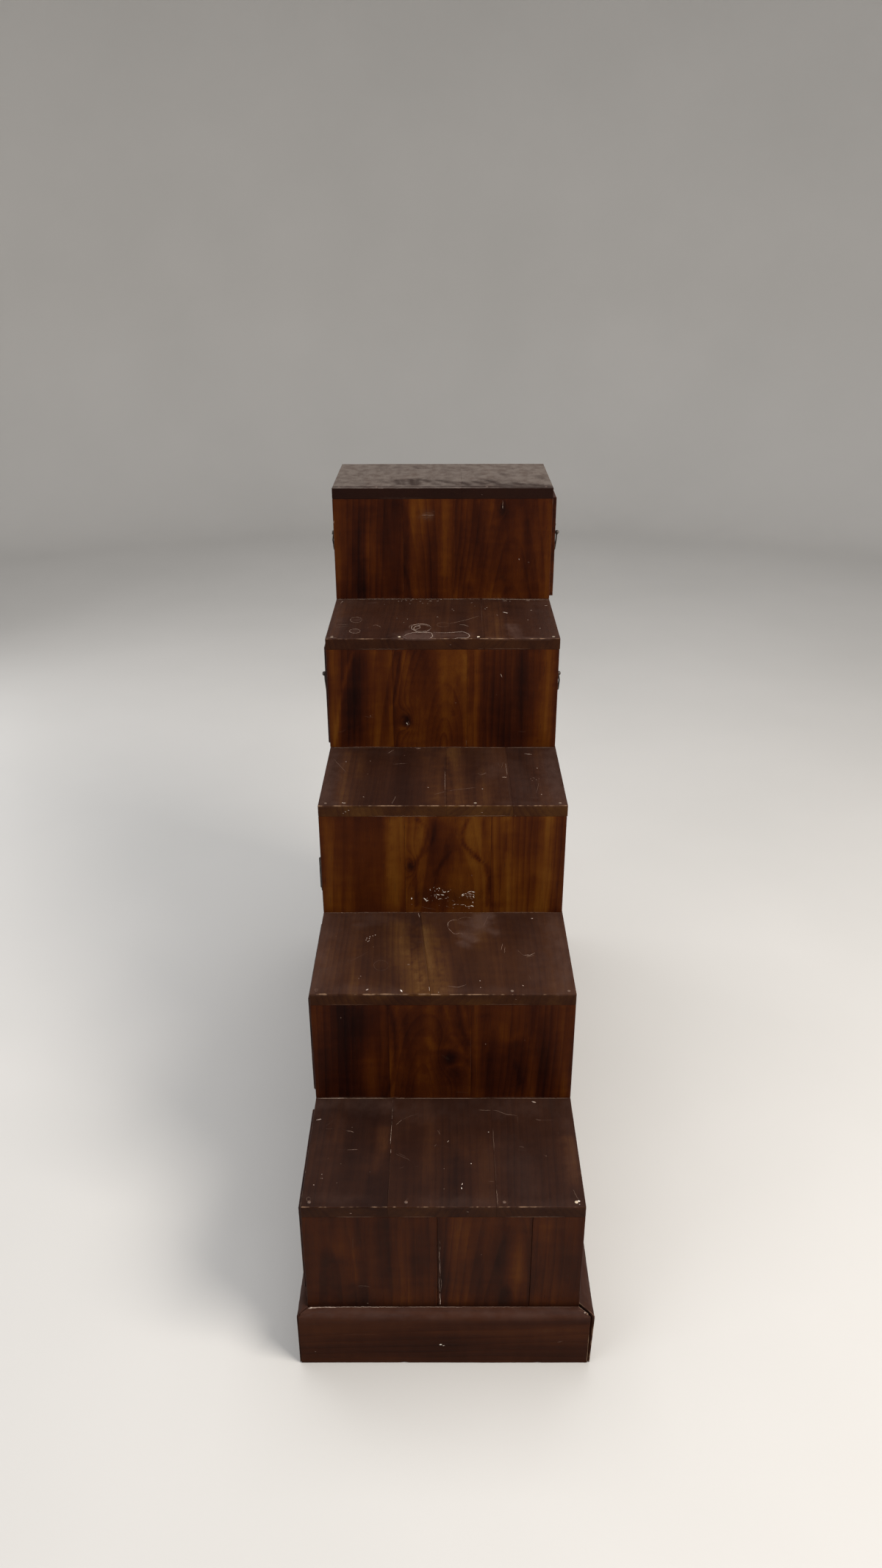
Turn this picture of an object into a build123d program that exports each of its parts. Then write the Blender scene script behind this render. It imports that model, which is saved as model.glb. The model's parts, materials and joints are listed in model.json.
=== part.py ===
from build123d import *
import math
import os

os.makedirs("parts", exist_ok=True)

# ---------------------------------------------------------------------------
# Step chest: five steps rising from -Y (front, low) to +Y (back, tall).
# X runs across the width, the two long sides (-X left, +X right) are the
# working faces, +Z is up.  Origin: on the floor, centre of the plinth.
# ---------------------------------------------------------------------------

# driving dimensions (mm)
WIDTH = 400.0                                  # carcass width
PLINTH_H = 103.0                               # plinth height
PLINTH_T = 22.0                                # plinth board thickness
PLINTH_PROJ = 15.0                             # plinth stands proud of the carcass
PLINTH_ARRIS = 12.0                            # rounding of the plinth's top edge
SPLAY_FRONT = 4.3                              # the right plinth board has swung out this far at its front end
SPLAY_LEAN = 1.5                               # and leans outward, degrees
RISES = [200.0, 199.0, 201.0, 202.0, 206.0]    # riser heights, bottom to top
GOINGS = [221.0, 226.0, 227.0, 230.0, 233.0]   # tread depths, front to back
TREAD_T = 20.0                                 # tread and dust board thickness
RISER_T = 18.0                                 # riser and partition thickness
BACK_T = 16.0                                  # rear panel thickness
FLOOR_T = 18.0                                 # bottom board thickness

FRONT_T = 18.0                                 # drawer front thickness
DRAWER_SIDE_T = 10.0
DRAWER_BOTTOM_T = 6.0
DRAWER_PROUD = 2.0                             # each drawer is this much longer than the case is wide, per end
GAP_SIDE = 1.2                                 # drawer front to case, each side
GAP_TOP = 1.4
GAP_BOTTOM = 0.4

DOOR_T = 18.0
STILE_W = 42.0
DOOR_PANEL_T = 10.0
SLIDER_T = 10.0

POST_SPACING = 64.0                            # bail pull, between its two posts
POST_OUT = 9.6                                 # post head centre, out of the face
POST_HEAD_R = 4.2
BAIL_R = 1.5
BAIL_DROP = 38.0
PIN_R = 1.5

# ---------------------------------------------------------------------------
# derived levels and lines
# ---------------------------------------------------------------------------
HW = WIDTH / 2
LENGTH = sum(GOINGS)
RY = [-LENGTH / 2]                             # front faces of the risers
for g in GOINGS:
    RY.append(RY[-1] + g)
YB = RY[5]                                     # back face of the carcass
YBI = YB - BACK_T                              # inside of the rear panel
TZ = []                                        # tread tops
z = PLINTH_H
for r in RISES:
    z += r
    TZ.append(z)
Z_FLOOR = PLINTH_H + FLOOR_T                   # top of the bottom board
TU = [t - TREAD_T for t in TZ]                 # tread undersides


def blk(x0, x1, y0, y1, z0, z1):
    return Pos(x0, y0, z0) * Box(x1 - x0, y1 - y0, z1 - z0,
                                 align=(Align.MIN, Align.MIN, Align.MIN))


def boards_x(joints, y0, y1, z0, z1, x0=-HW, x1=HW):
    """Edge-glued boards that lie side by side along X.  A joint is one X, or a
    pair (X at y0, X at y1) where the two boards are tapered."""
    edges = [(e, e) if isinstance(e, float) else e for e in [x0] + list(joints) + [x1]]
    out = []
    for (a0, a1), (b0, b1) in zip(edges, edges[1:]):
        with BuildSketch(Plane.XY.offset(z0)) as sk:
            Polygon((a0, y0), (b0, y0), (b1, y1), (a1, y1), align=None)
        out.append(extrude(sk.sketch, amount=z1 - z0))
    return out


def boards_z(joints, x0, x1, y0, y1, z0, z1):
    """Boards stacked up along Z."""
    edges = [z0] + list(joints) + [z1]
    return [blk(x0, x1, y0, y1, a, b) for a, b in zip(edges, edges[1:])]


def one(shape):
    found = shape.solids()
    assert len(found) == 1, len(found)
    return found[0]


NODES = {}


def node(name, shapes):
    solids = []
    for s in shapes:
        solids.extend(s.solids())
    NODES[name] = solids
    export_step(Compound(children=solids, label=name), f"parts/{name}.step")


# ---------------------------------------------------------------------------
# plinth: four mitred boards with a rounded top edge, and corner blocks
# ---------------------------------------------------------------------------
PX = HW + PLINTH_PROJ
PY = LENGTH / 2 + PLINTH_PROJ


def plinth_profile(h):
    """Section in (u, v): u runs inward from the outer face, v is up."""
    a = PLINTH_ARRIS
    with BuildSketch() as sk:
        with BuildLine():
            Line((0, 0), (0, h - a))
            RadiusArc((0, h - a), (a, h), a)
            Line((a, h), (PLINTH_T, h))
            Line((PLINTH_T, h), (PLINTH_T, 0))
            Line((PLINTH_T, 0), (0, 0))
        make_face()
    return sk.sketch


def prism(points, z0, z1):
    with BuildSketch(Plane.XY.offset(z0)) as sk:
        Polygon(*points, align=None)
    return extrude(sk.sketch, amount=z1 - z0)


def plinth_run(length_half, depth_half, along, h=PLINTH_H):
    """One board, outer face at -depth_half, running +-length_half."""
    prof = plinth_profile(h)
    if along == "x":
        # u -> +Y from the front face
        plane = Plane(origin=(-length_half, -depth_half, 0), x_dir=(0, 1, 0), z_dir=(1, 0, 0))
        body = extrude(plane * prof, amount=2 * length_half)
        t = PLINTH_T
        keep = prism([(-length_half, -depth_half), (length_half, -depth_half),
                      (length_half - t, -depth_half + t), (-length_half + t, -depth_half + t)],
                     -1, PLINTH_H + 1)
    else:
        # u -> -X from the right-hand outer face
        plane = Plane(origin=(depth_half, length_half, 0), x_dir=(-1, 0, 0), z_dir=(0, 1, 0))
        body = extrude(plane * prof, amount=-2 * length_half)
        t = PLINTH_T
        keep = prism([(depth_half, -length_half), (depth_half, length_half),
                      (depth_half - t, length_half - t), (depth_half - t, -length_half + t)],
                     -1, PLINTH_H + 1)
    return one(body & keep)


front_board = plinth_run(PX, PY, "x")
node("plinth_front", [Pos(1.4, 0, 0) * front_board])
node("plinth_back", [mirror(front_board, Plane.XZ)])
node("plinth_left", [mirror(plinth_run(PY, PX, "y"), Plane.YZ)])
# the right board is loose: it turns about its rear end and leans out, which opens the front mitre
splay = Pos(PX, PY, 0) * Rot(0, 0, math.degrees(math.asin(SPLAY_FRONT / (2 * PY)))) * Rot(0, SPLAY_LEAN, 0) * Pos(-PX, -PY, 0)
node("plinth_right", [splay * plinth_run(PY, PX, "y", PLINTH_H - 0.6)])

BLOCK = 46.0
ix, iy = PX - PLINTH_T, PY - PLINTH_T
blocks = []
for sx in (-1, 1):
    for sy in (-1, 1):
        blocks.append(prism([(sx * ix, sy * iy), (sx * (ix - BLOCK), sy * iy),
                             (sx * ix, sy * (iy - BLOCK))], 6, PLINTH_H))
node("plinth_corner_blocks", blocks)

# ---------------------------------------------------------------------------
# carcass
# ---------------------------------------------------------------------------
SLIDE_Y0, SLIDE_Y1 = RY[1] + RISER_T, YBI      # low cupboard with sliding doors
TRACK_OUT = (-194.0, -183.0)
TRACK_IN = (-180.0, -169.0)
GROOVE_LOW, GROOVE_HIGH = 4.0, 8.0


def grooves(z0, z1):
    return [blk(a, b, SLIDE_Y0, SLIDE_Y1, z0, z1) for a, b in (TRACK_OUT, TRACK_IN)]


floor_boards = boards_x([12.0], RY[0] + RISER_T, YBI, PLINTH_H, Z_FLOOR)
for g in grooves(Z_FLOOR - GROOVE_LOW, Z_FLOOR + 1):
    floor_boards[0] = floor_boards[0] - g
node("bottom_board", floor_boards)

# nails: cut pegs that pin each tread down into the riser under its front edge
PEG_R, PEG_HOLE_R, PEG_LEN = 2.6, 2.65, 46.0
PEG_X = [
    [-188.0, -52.0, 86.0, 187.0],
    [-189.0, -62.0, 104.0, 189.0],
    [-188.0, -158.0, 52.0, 188.0],
    [-189.0, -74.0, 61.0, 189.0],
    [-187.0, -120.0, 80.0, 187.0],
]
pegs, peg_holes = [], []
for i in range(5):
    per = []
    for x in PEG_X[i]:
        pegs.append(Pos(x, RY[i] + RISER_T / 2, TZ[i] - PEG_LEN)
                    * Cylinder(PEG_R, PEG_LEN, align=(Align.CENTER, Align.CENTER, Align.MIN)))
        per.append((x, Pos(x, RY[i] + RISER_T / 2, TZ[i] - PEG_LEN)
                    * Cylinder(PEG_HOLE_R, PEG_LEN + 1, align=(Align.CENTER, Align.CENTER, Align.MIN))))
    peg_holes.append(per)
node("tread_pegs", pegs)


def drill(boards, holes):
    out = []
    for b in boards:
        bb = b.bounding_box()
        for x, h in holes:
            if bb.min.X < x < bb.max.X:
                b = b - h
        out.append(b)
    return out


RISER_JOINTS = [[-8.5, 126.0], [-83.0, 43.0], [-62.0, 78.0], [-87.0, 42.0], [-72.5, 19.0]]
TREAD_JOINTS = [[-78.0, 74.5], [(-18.5, -39.0)], [6.0, 112.0], [72.0], [35.0]]
for i in range(5):
    base = PLINTH_H if i == 0 else TZ[i - 1]
    node(f"riser_{i + 1}", drill(boards_x(RISER_JOINTS[i], RY[i], RY[i] + RISER_T, base, TU[i]),
                                 peg_holes[i]))
    back = RY[i + 1] + RISER_T if i < 4 else YB
    node(f"tread_{i + 1}", drill(boards_x(TREAD_JOINTS[i], RY[i], back, TU[i], TZ[i]),
                                 peg_holes[i]))

node("rear_panel", boards_x([-64.0, 71.0], YBI, YB, PLINTH_H, TU[4]))

# cross partitions that carry the risers down to the floor
node("partition_1", boards_x([20.0], RY[1], RY[1] + RISER_T, Z_FLOOR, TU[0]))
node("partition_2", boards_x([-35.0], RY[2], RY[2] + RISER_T, TZ[0], TU[1]))
CUP_X0, CUP_X1 = -HW + DOOR_T + 0.6, HW - DOOR_T   # inside faces of the cupboard
node("partition_3", boards_x([5.0], RY[3], RY[3] + RISER_T, TZ[0], TU[2], x0=CUP_X0, x1=CUP_X1))
node("partition_4", boards_x([30.0], RY[4], RY[4] + RISER_T, TZ[2], TU[3]))

dust = boards_x([-22.0], RY[1] + RISER_T, YBI, TU[0], TZ[0])
for g in grooves(TU[0] - 1, TU[0] + GROOVE_HIGH):
    dust[0] = dust[0] - g
node("dust_board_1", dust)
node("dust_board_2", boards_x([48.0], RY[3] + RISER_T, YBI, TU[2], TZ[2]))
node("dust_board_3", boards_x([-40.0], RY[4] + RISER_T, YBI, TU[3], TZ[3]))

# cupboard behind the two hinged doors: one fixed shelf each side of partition_3
CUP_Y0, CUP_Y1 = RY[2] + RISER_T, YBI
CUP_Z0, CUP_Z1 = TZ[0], TU[2]
SHELF_Z, SHELF_T = 486.0, 14.0
node("cupboard_shelves", [
    blk(CUP_X0 + 8, CUP_X1, CUP_Y0, RY[3], SHELF_Z, SHELF_Z + SHELF_T),
    blk(CUP_X0 + 8, CUP_X1, RY[3] + RISER_T, CUP_Y1, SHELF_Z, SHELF_Z + SHELF_T),
])

# right-hand side of the cupboard: fixed frame with two panels
SIDE_RAIL = 44.0
mid_y = (CUP_Y0 + CUP_Y1) / 2
xr0, xr1 = HW - DOOR_T, HW
side = [
    blk(xr0, xr1, CUP_Y0, CUP_Y0 + SIDE_RAIL, CUP_Z0, CUP_Z1),
    blk(xr0, xr1, CUP_Y1 - SIDE_RAIL, CUP_Y1, CUP_Z0, CUP_Z1),
    blk(xr0, xr1, mid_y - SIDE_RAIL / 2, mid_y + SIDE_RAIL / 2, CUP_Z0, CUP_Z1),
]
for a, b in ((CUP_Y0 + SIDE_RAIL, mid_y - SIDE_RAIL / 2), (mid_y + SIDE_RAIL / 2, CUP_Y1 - SIDE_RAIL)):
    side.append(blk(xr0, xr1, a, b, CUP_Z0, CUP_Z0 + SIDE_RAIL))
    side.append(blk(xr0, xr1, a, b, CUP_Z1 - SIDE_RAIL, CUP_Z1))
    side.append(blk(xr0 + 3, xr0 + 3 + DOOR_PANEL_T, a, b, CUP_Z0 + SIDE_RAIL, CUP_Z1 - SIDE_RAIL))
node("side_panel_upper", side)
node("side_panel_lower", [
    blk(HW - 14, HW - 1.0, SLIDE_Y0, 96.0, Z_FLOOR, TU[0]),
    blk(HW - 14, HW - 1.0, 96.0, SLIDE_Y1, Z_FLOOR, TU[0]),
])

# ---------------------------------------------------------------------------
# hinged doors on the left-hand side
# ---------------------------------------------------------------------------
DOOR_GAP = 1.2
MEET_GAP = 1.4
dy = [(CUP_Y0 + DOOR_GAP, mid_y - MEET_GAP / 2), (mid_y + MEET_GAP / 2, CUP_Y1 - DOOR_GAP)]
dz0, dz1 = CUP_Z0 + 0.8, CUP_Z1 - 1.4
xl0, xl1 = -HW, -HW + DOOR_T
for name, (a, b) in zip(("door_front", "door_rear"), dy):
    node(f"{name}_frame", [
        blk(xl0, xl1, a, a + STILE_W, dz0, dz1),
        blk(xl0, xl1, b - STILE_W, b, dz0, dz1),
        blk(xl0, xl1, a + STILE_W, b - STILE_W, dz0, dz0 + STILE_W),
        blk(xl0, xl1, a + STILE_W, b - STILE_W, dz1 - STILE_W, dz1),
    ])
    node(f"{name}_panel", [
        blk(xl0 + 4, xl0 + 4 + DOOR_PANEL_T, a + STILE_W, b - STILE_W, dz0 + STILE_W, dz1 - STILE_W),
    ])

# surface hinges: knuckles stand just outside the face, over the gap
HINGE_H = 56.0
HINGE_Z = [389.0, 541.0]
KN_R, KN_PIN_R, KN_BORE_R = 2.2, 1.0, 1.06
KN_X = -HW - 2.6
LEAF_T, LEAF_W = 1.4, 15.0
SEG_GAP = 0.3


def cyl_z(x, y, z0, z1, r):
    return Pos(x, y, z0) * Cylinder(r, z1 - z0, align=(Align.CENTER, Align.CENTER, Align.MIN))


def hinge(y_axis, z0, sgn, y_case):
    """sgn +1: the door lies on the +Y side of the axis, the case on the -Y side.
    y_case: edge of the case face nearest the door."""
    h3 = HINGE_H / 3
    za, zb = z0 + h3, z0 + 2 * h3
    # fixed leaf: plate on the case edge, knuckles at top and bottom
    y_plate = sorted((y_case - sgn * LEAF_W, y_axis - sgn * (KN_R + 0.35)))
    fixed = blk(-HW - LEAF_T, -HW, y_plate[0], y_plate[1], z0, z0 + HINGE_H)
    for lo, hi in ((z0, za - SEG_GAP), (zb + SEG_GAP, z0 + HINGE_H)):
        bridge = sorted((y_axis - sgn * (KN_R + 0.6), y_axis))
        fixed += blk(-HW - LEAF_T, -HW - 0.4, bridge[0], bridge[1], lo, hi)
        fixed += cyl_z(KN_X, y_axis, lo, hi, KN_R)
    fixed -= cyl_z(KN_X, y_axis, z0 - 1, z0 + HINGE_H + 1, KN_BORE_R)
    # moving leaf: plate on the door stile, middle knuckle
    m_plate = sorted((y_axis + sgn * (KN_R + 0.35), y_axis + sgn * (KN_R + LEAF_W)))
    moving = blk(-HW - LEAF_T, -HW, m_plate[0], m_plate[1], z0, z0 + HINGE_H)
    bridge = sorted((y_axis + sgn * (KN_R + 0.6), y_axis))
    moving += blk(-HW - LEAF_T, -HW - 0.4, bridge[0], bridge[1], za, zb)
    moving += cyl_z(KN_X, y_axis, za, zb, KN_R)
    moving -= cyl_z(KN_X, y_axis, z0 - 1, z0 + HINGE_H + 1, KN_BORE_R)
    pin = cyl_z(KN_X, y_axis, z0 - 0.8, z0 + HINGE_H + 0.8, KN_PIN_R)
    return one(fixed), one(moving), pin


HINGE_Y_FRONT = CUP_Y0 + DOOR_GAP / 2
HINGE_Y_REAR = CUP_Y1 - DOOR_GAP / 2
fixed_leaves, pins, front_leaves, rear_leaves = [], [], [], []
for hz in HINGE_Z:
    f, m, p = hinge(HINGE_Y_FRONT, hz, +1, CUP_Y0)
    fixed_leaves.append(f)
    front_leaves.append(m)
    pins.append(p)
    f, m, p = hinge(HINGE_Y_REAR, hz, -1, CUP_Y1)
    fixed_leaves.append(f)
    rear_leaves.append(m)
    pins.append(p)
node("hinge_fixed_leaves", fixed_leaves)
node("hinge_pins", pins)

# ring pulls at the meeting stiles: round plate, eye and a swinging ring
RING_R, RING_WIRE = 15.0, 1.8
EYE_X, EYE_BORE, EYE_R, EYE_LEN = 6.0, 2.4, 4.2, 3.0
RING_Z = 512.0
RING_Y = [mid_y - 21.0, mid_y + 21.0]


def ring_plate(y0):
    plate = Pos(-HW - 0.7, y0, RING_Z) * Rot(0, 90, 0) * Cylinder(13.0, 1.4)
    eye = Pos(-HW - EYE_X, y0, RING_Z) * Rot(90, 0, 0) * Cylinder(EYE_R, EYE_LEN)
    neck = blk(-HW - EYE_X, -HW, y0 - EYE_LEN / 2, y0 + EYE_LEN / 2, RING_Z - 2.4, RING_Z + 2.4)
    bore = Pos(-HW - EYE_X, y0, RING_Z) * Rot(90, 0, 0) * Cylinder(EYE_BORE, EYE_LEN + 4)
    return one(plate + neck + eye - bore)


def ring(y0):
    return Pos(-HW - EYE_X, y0, RING_Z - RING_R) * Rot(0, 90, 0) * Torus(RING_R, RING_WIRE)


for name, y0, leaves in zip(("door_front", "door_rear"), RING_Y, (front_leaves, rear_leaves)):
    node(f"{name}_iron", leaves + [ring_plate(y0)])
    node(f"{name}_ring", [ring(y0)])

# ---------------------------------------------------------------------------
# sliding doors of the low cupboard, left-hand side
# ---------------------------------------------------------------------------
slide_len = (SLIDE_Y1 - SLIDE_Y0) / 2 + 14.0
sz0, sz1 = Z_FLOOR - GROOVE_LOW + 0.4, TU[0] + GROOVE_HIGH - 1.6
FINGER_W, FINGER_H, FINGER_D = 16.0, 56.0, 3.5


def slider(track, y0, y1, y_grip):
    x0 = track[0] + 0.5
    door = blk(x0, x0 + SLIDER_T, y0, y1, sz0, sz1)
    zc = (Z_FLOOR + TU[0]) / 2
    grip = blk(x0 - 1, x0 + FINGER_D, y_grip - FINGER_W / 2, y_grip + FINGER_W / 2,
               zc - FINGER_H / 2, zc + FINGER_H / 2)
    return one(door - grip)


node("sliding_door_front", [slider(TRACK_OUT, SLIDE_Y0 + 0.5, SLIDE_Y0 + slide_len,
                                   SLIDE_Y0 + 30.0)])
node("sliding_door_rear", [slider(TRACK_IN, SLIDE_Y1 - slide_len, SLIDE_Y1 - 0.5,
                                  SLIDE_Y1 - 30.0)])

# ---------------------------------------------------------------------------
# pass-through drawers with a bail pull on each end
# ---------------------------------------------------------------------------


def post(x_face, y0, z0, s, hole_side):
    """Iron post: rosette, stem and ball head with a blind cross bore for the
    bail's pin.  s is the outward direction in X; hole_side points to the bail."""
    rosette = Pos(x_face + s * 0.8, y0, z0) * Rot(0, 90, 0) * Cylinder(7.0, 1.6)
    stem = Pos(x_face + s * POST_OUT / 2, y0, z0) * Rot(0, 90, 0) * Cylinder(2.6, POST_OUT)
    head = Pos(x_face + s * POST_OUT, y0, z0) * Sphere(POST_HEAD_R)
    bore = Pos(x_face + s * POST_OUT, y0 + hole_side * 5.0, z0) * Rot(90, 0, 0) * Cylinder(PIN_R + 0.09, 12.0)
    return one(rosette + stem + head - bore)


def bail(x_face, y0, z0, s, bow, foot):
    """Bail between its posts: pins into the heads, legs and a wide bottom grip.
    bow and foot say how far the legs and the grip stand out past the pins."""
    h = POST_SPACING / 2
    xo = x_face + s * POST_OUT
    leg = h - POST_HEAD_R - 2.2
    pts = [
        (xo, y0 - h + 0.6, z0),
        (xo, y0 - leg, z0),
        (xo + s * bow, y0 - leg - 1.0, z0 - 15.0),
        (xo + s * foot, y0 - leg + 5.0, z0 - BAIL_DROP + BAIL_R),
        (xo + s * foot, y0 + leg - 5.0, z0 - BAIL_DROP + BAIL_R),
        (xo + s * bow, y0 + leg + 1.0, z0 - 15.0),
        (xo, y0 + leg, z0),
        (xo, y0 + h - 0.6, z0),
    ]
    line = FilletPolyline(*pts, radius=[2.6, 9.0, 7.0, 7.0, 9.0, 2.6])
    start = Plane(origin=pts[0], z_dir=(0, 1, 0))
    wire = sweep(start * Circle(PIN_R), path=line)
    return one(wire)


DRAWERS = {
    # name: (y from, y to, z from, z to, rest offset along X, pull above mid-height, ends with a pull)
    "drawer_1": (RY[0] + RISER_T, RY[1], Z_FLOOR, TU[0], -4.0, 12.0, "right"),
    "drawer_2": (RY[1] + RISER_T, RY[2], TZ[0], TU[1], -3.0, 13.0, "right"),
    "drawer_3": (RY[3] + RISER_T, RY[4], TZ[2], TU[3], -2.6, 14.0, "left right"),
    "drawer_4": (RY[4] + RISER_T, YBI, TZ[2], TU[3], 1.0, 13.0, "left right"),
    "drawer_5": (RY[4] + RISER_T, YBI, TZ[3], TU[4], 4.8, 12.0, "left right"),
}
DRAWER_LONGER = {"drawer_5": 1.4}              # extra length per end
BAIL_SET = {                                   # hand-bent: no two hang quite alike
    "drawer_3_bail_left": (-0.5, -1.8),
    "drawer_3_bail_right": (2.4, 1.4),
    "drawer_5_bail_left": (2.4, 0.6),
    "drawer_5_bail_right": (-0.6, -2.4),
}
BAIL_USUAL = (1.0, -0.6)
for name, (a, b, c, d, off, lift, ends) in DRAWERS.items():
    y0, y1 = a + GAP_SIDE, b - GAP_SIDE
    z0, z1 = c + GAP_BOTTOM, d - GAP_TOP
    reach = HW + DRAWER_PROUD + DRAWER_LONGER.get(name, 0.0)
    xl, xr = -reach + off, reach + off
    il, ir = xl + FRONT_T, xr - FRONT_T
    node(name, [
        blk(xl, il, y0, y1, z0, z1),
        blk(ir, xr, y0, y1, z0, z1),
        blk(il, ir, y0 + 0.8, y0 + 0.8 + DRAWER_SIDE_T, z0, z1 - 8.0),
        blk(il, ir, y1 - 0.8 - DRAWER_SIDE_T, y1 - 0.8, z0, z1 - 8.0),
        blk(il, ir, y0 + 0.8 + DRAWER_SIDE_T, y1 - 0.8 - DRAWER_SIDE_T, z0 + 4.0, z0 + 4.0 + DRAWER_BOTTOM_T),
    ])
    yc, zc = (y0 + y1) / 2, (c + d) / 2 + lift
    posts = []
    for end, xf, s in (("left", xl, -1), ("right", xr, 1)):
        if end in ends:
            posts.append(post(xf, yc - POST_SPACING / 2, zc, s, +1))
            posts.append(post(xf, yc + POST_SPACING / 2, zc, s, -1))
            key = f"{name}_bail_{end}"
            node(key, [bail(xf, yc, zc, s, *BAIL_SET.get(key, BAIL_USUAL))])
    node(f"{name}_posts", posts)

print("nodes", len(NODES), "length", LENGTH, "levels", TZ, "riser faces", [round(v, 2) for v in RY])
print("pull centres", {n: (round((v[0] + v[1]) / 2, 2), round((v[2] + v[3]) / 2 + v[5], 2), v[4]) for n, v in DRAWERS.items()})
print("hinge axes y", HINGE_Y_FRONT, HINGE_Y_REAR, "x", KN_X, "rings y", RING_Y, "sliding doors", slide_len)
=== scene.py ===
import json
import math

import bpy
import numpy as np
from mathutils import Matrix, Vector


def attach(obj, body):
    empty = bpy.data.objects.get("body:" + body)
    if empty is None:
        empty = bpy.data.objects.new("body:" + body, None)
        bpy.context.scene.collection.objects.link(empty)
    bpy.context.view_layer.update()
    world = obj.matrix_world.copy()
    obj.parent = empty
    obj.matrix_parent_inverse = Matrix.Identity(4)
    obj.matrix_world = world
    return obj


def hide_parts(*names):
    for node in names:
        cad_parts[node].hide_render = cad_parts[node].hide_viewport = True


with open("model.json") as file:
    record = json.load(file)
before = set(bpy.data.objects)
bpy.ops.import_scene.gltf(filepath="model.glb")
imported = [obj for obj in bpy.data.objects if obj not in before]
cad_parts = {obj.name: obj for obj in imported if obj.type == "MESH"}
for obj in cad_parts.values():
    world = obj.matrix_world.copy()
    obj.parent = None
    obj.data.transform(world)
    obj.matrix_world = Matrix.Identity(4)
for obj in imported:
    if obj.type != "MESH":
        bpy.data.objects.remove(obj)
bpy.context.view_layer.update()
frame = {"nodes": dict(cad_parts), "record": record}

BODY_OF = {n: b for b, ns in frame["record"]["behaviour"]["bodies"].items() for n in ns}
MM = 0.001

# ---------------------------------------------------------------------------
# the chest's own dimensions, in mm, as the CAD has them
# ---------------------------------------------------------------------------
HW = 200.0
PLINTH_H, PLINTH_T, PLINTH_PROJ, PLINTH_ARRIS = 103.0, 22.0, 15.0, 12.0
WORN_GAIN, LINE_GAIN = 0.85, 0.50                 # how strongly flecks and scratches show
PX, PY = 215.0, 583.5
RY = [-568.5, -347.5, -121.5, 105.5, 335.5, 568.5]
TZ = [303.0, 502.0, 703.0, 905.0, 1111.0]
TREAD_T, RISER_T = 20.0, 18.0
TU = [t - TREAD_T for t in TZ]
YB, YBI, Z_FLOOR = 568.5, 552.5, 121.0
RISER_JOINTS = [[-8.5, 126.0], [-83.0, 43.0], [-62.0, 78.0], [-87.0, 42.0], [-72.5, 19.0]]
TREAD_JOINTS = [[-78.0, 74.5], [(-18.5, -39.0)], [6.0, 112.0], [72.0], [35.0]]
PEG_X = [[-188.0, -52.0, 86.0, 187.0], [-189.0, -62.0, 104.0, 189.0], [-188.0, -158.0, 52.0, 188.0],
         [-189.0, -74.0, 61.0, 189.0], [-187.0, -120.0, 80.0, 187.0]]


# ---------------------------------------------------------------------------
# seeded noise
# ---------------------------------------------------------------------------
def _hash(ix, iy, iz, seed):
    h = (ix * 374761393 + iy * 668265263 + iz * 2147483029 + (seed + 7) * 1274126177) & 0xFFFFFFFF
    h = ((h ^ (h >> 13)) * 1274126177) & 0xFFFFFFFF
    h = ((h ^ (h >> 15)) * 1103515245) & 0xFFFFFFFF
    return (h ^ (h >> 16)) / 2147483647.5 - 1.0


def vnoise(p, seed=0):
    """Smooth noise from -1 to 1 at the points p (n, 3)."""
    p = np.asarray(p, float)
    i = np.floor(p).astype(np.int64)
    f = p - i
    f = f * f * (3 - 2 * f)
    out = np.zeros(len(p))
    for a in (0, 1):
        wa = f[:, 0] if a else 1 - f[:, 0]
        for b in (0, 1):
            wb = wa * (f[:, 1] if b else 1 - f[:, 1])
            for c in (0, 1):
                w = wb * (f[:, 2] if c else 1 - f[:, 2])
                out += w * _hash(i[:, 0] + a, i[:, 1] + b, i[:, 2] + c, seed)
    return out


def fbm(p, seed=0, octaves=3):
    out, amp, total = 0.0, 1.0, 0.0
    p = np.asarray(p, float)
    for k in range(octaves):
        out = out + amp * vnoise(p, seed + 31 * k)
        total += amp
        amp *= 0.5
        p = p * 2.03 + 3.7
    return out / total


def rng(seed):
    return np.random.default_rng(seed)


# ---------------------------------------------------------------------------
# mesh collecting: vertices in mm, faces, and what the shaders read per vertex
#   tree:  place in the log the board was sawn from (m), Z along the grain
#   knot:  place relative to a knot, and how strong it is
#   look:  tone, edge wear, pale mark
#   look2: grey dust haze and painted sheen, dark stain and painted shade, board number
# ---------------------------------------------------------------------------
ATTRS = ("tree", "knot", "look", "look2")


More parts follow.
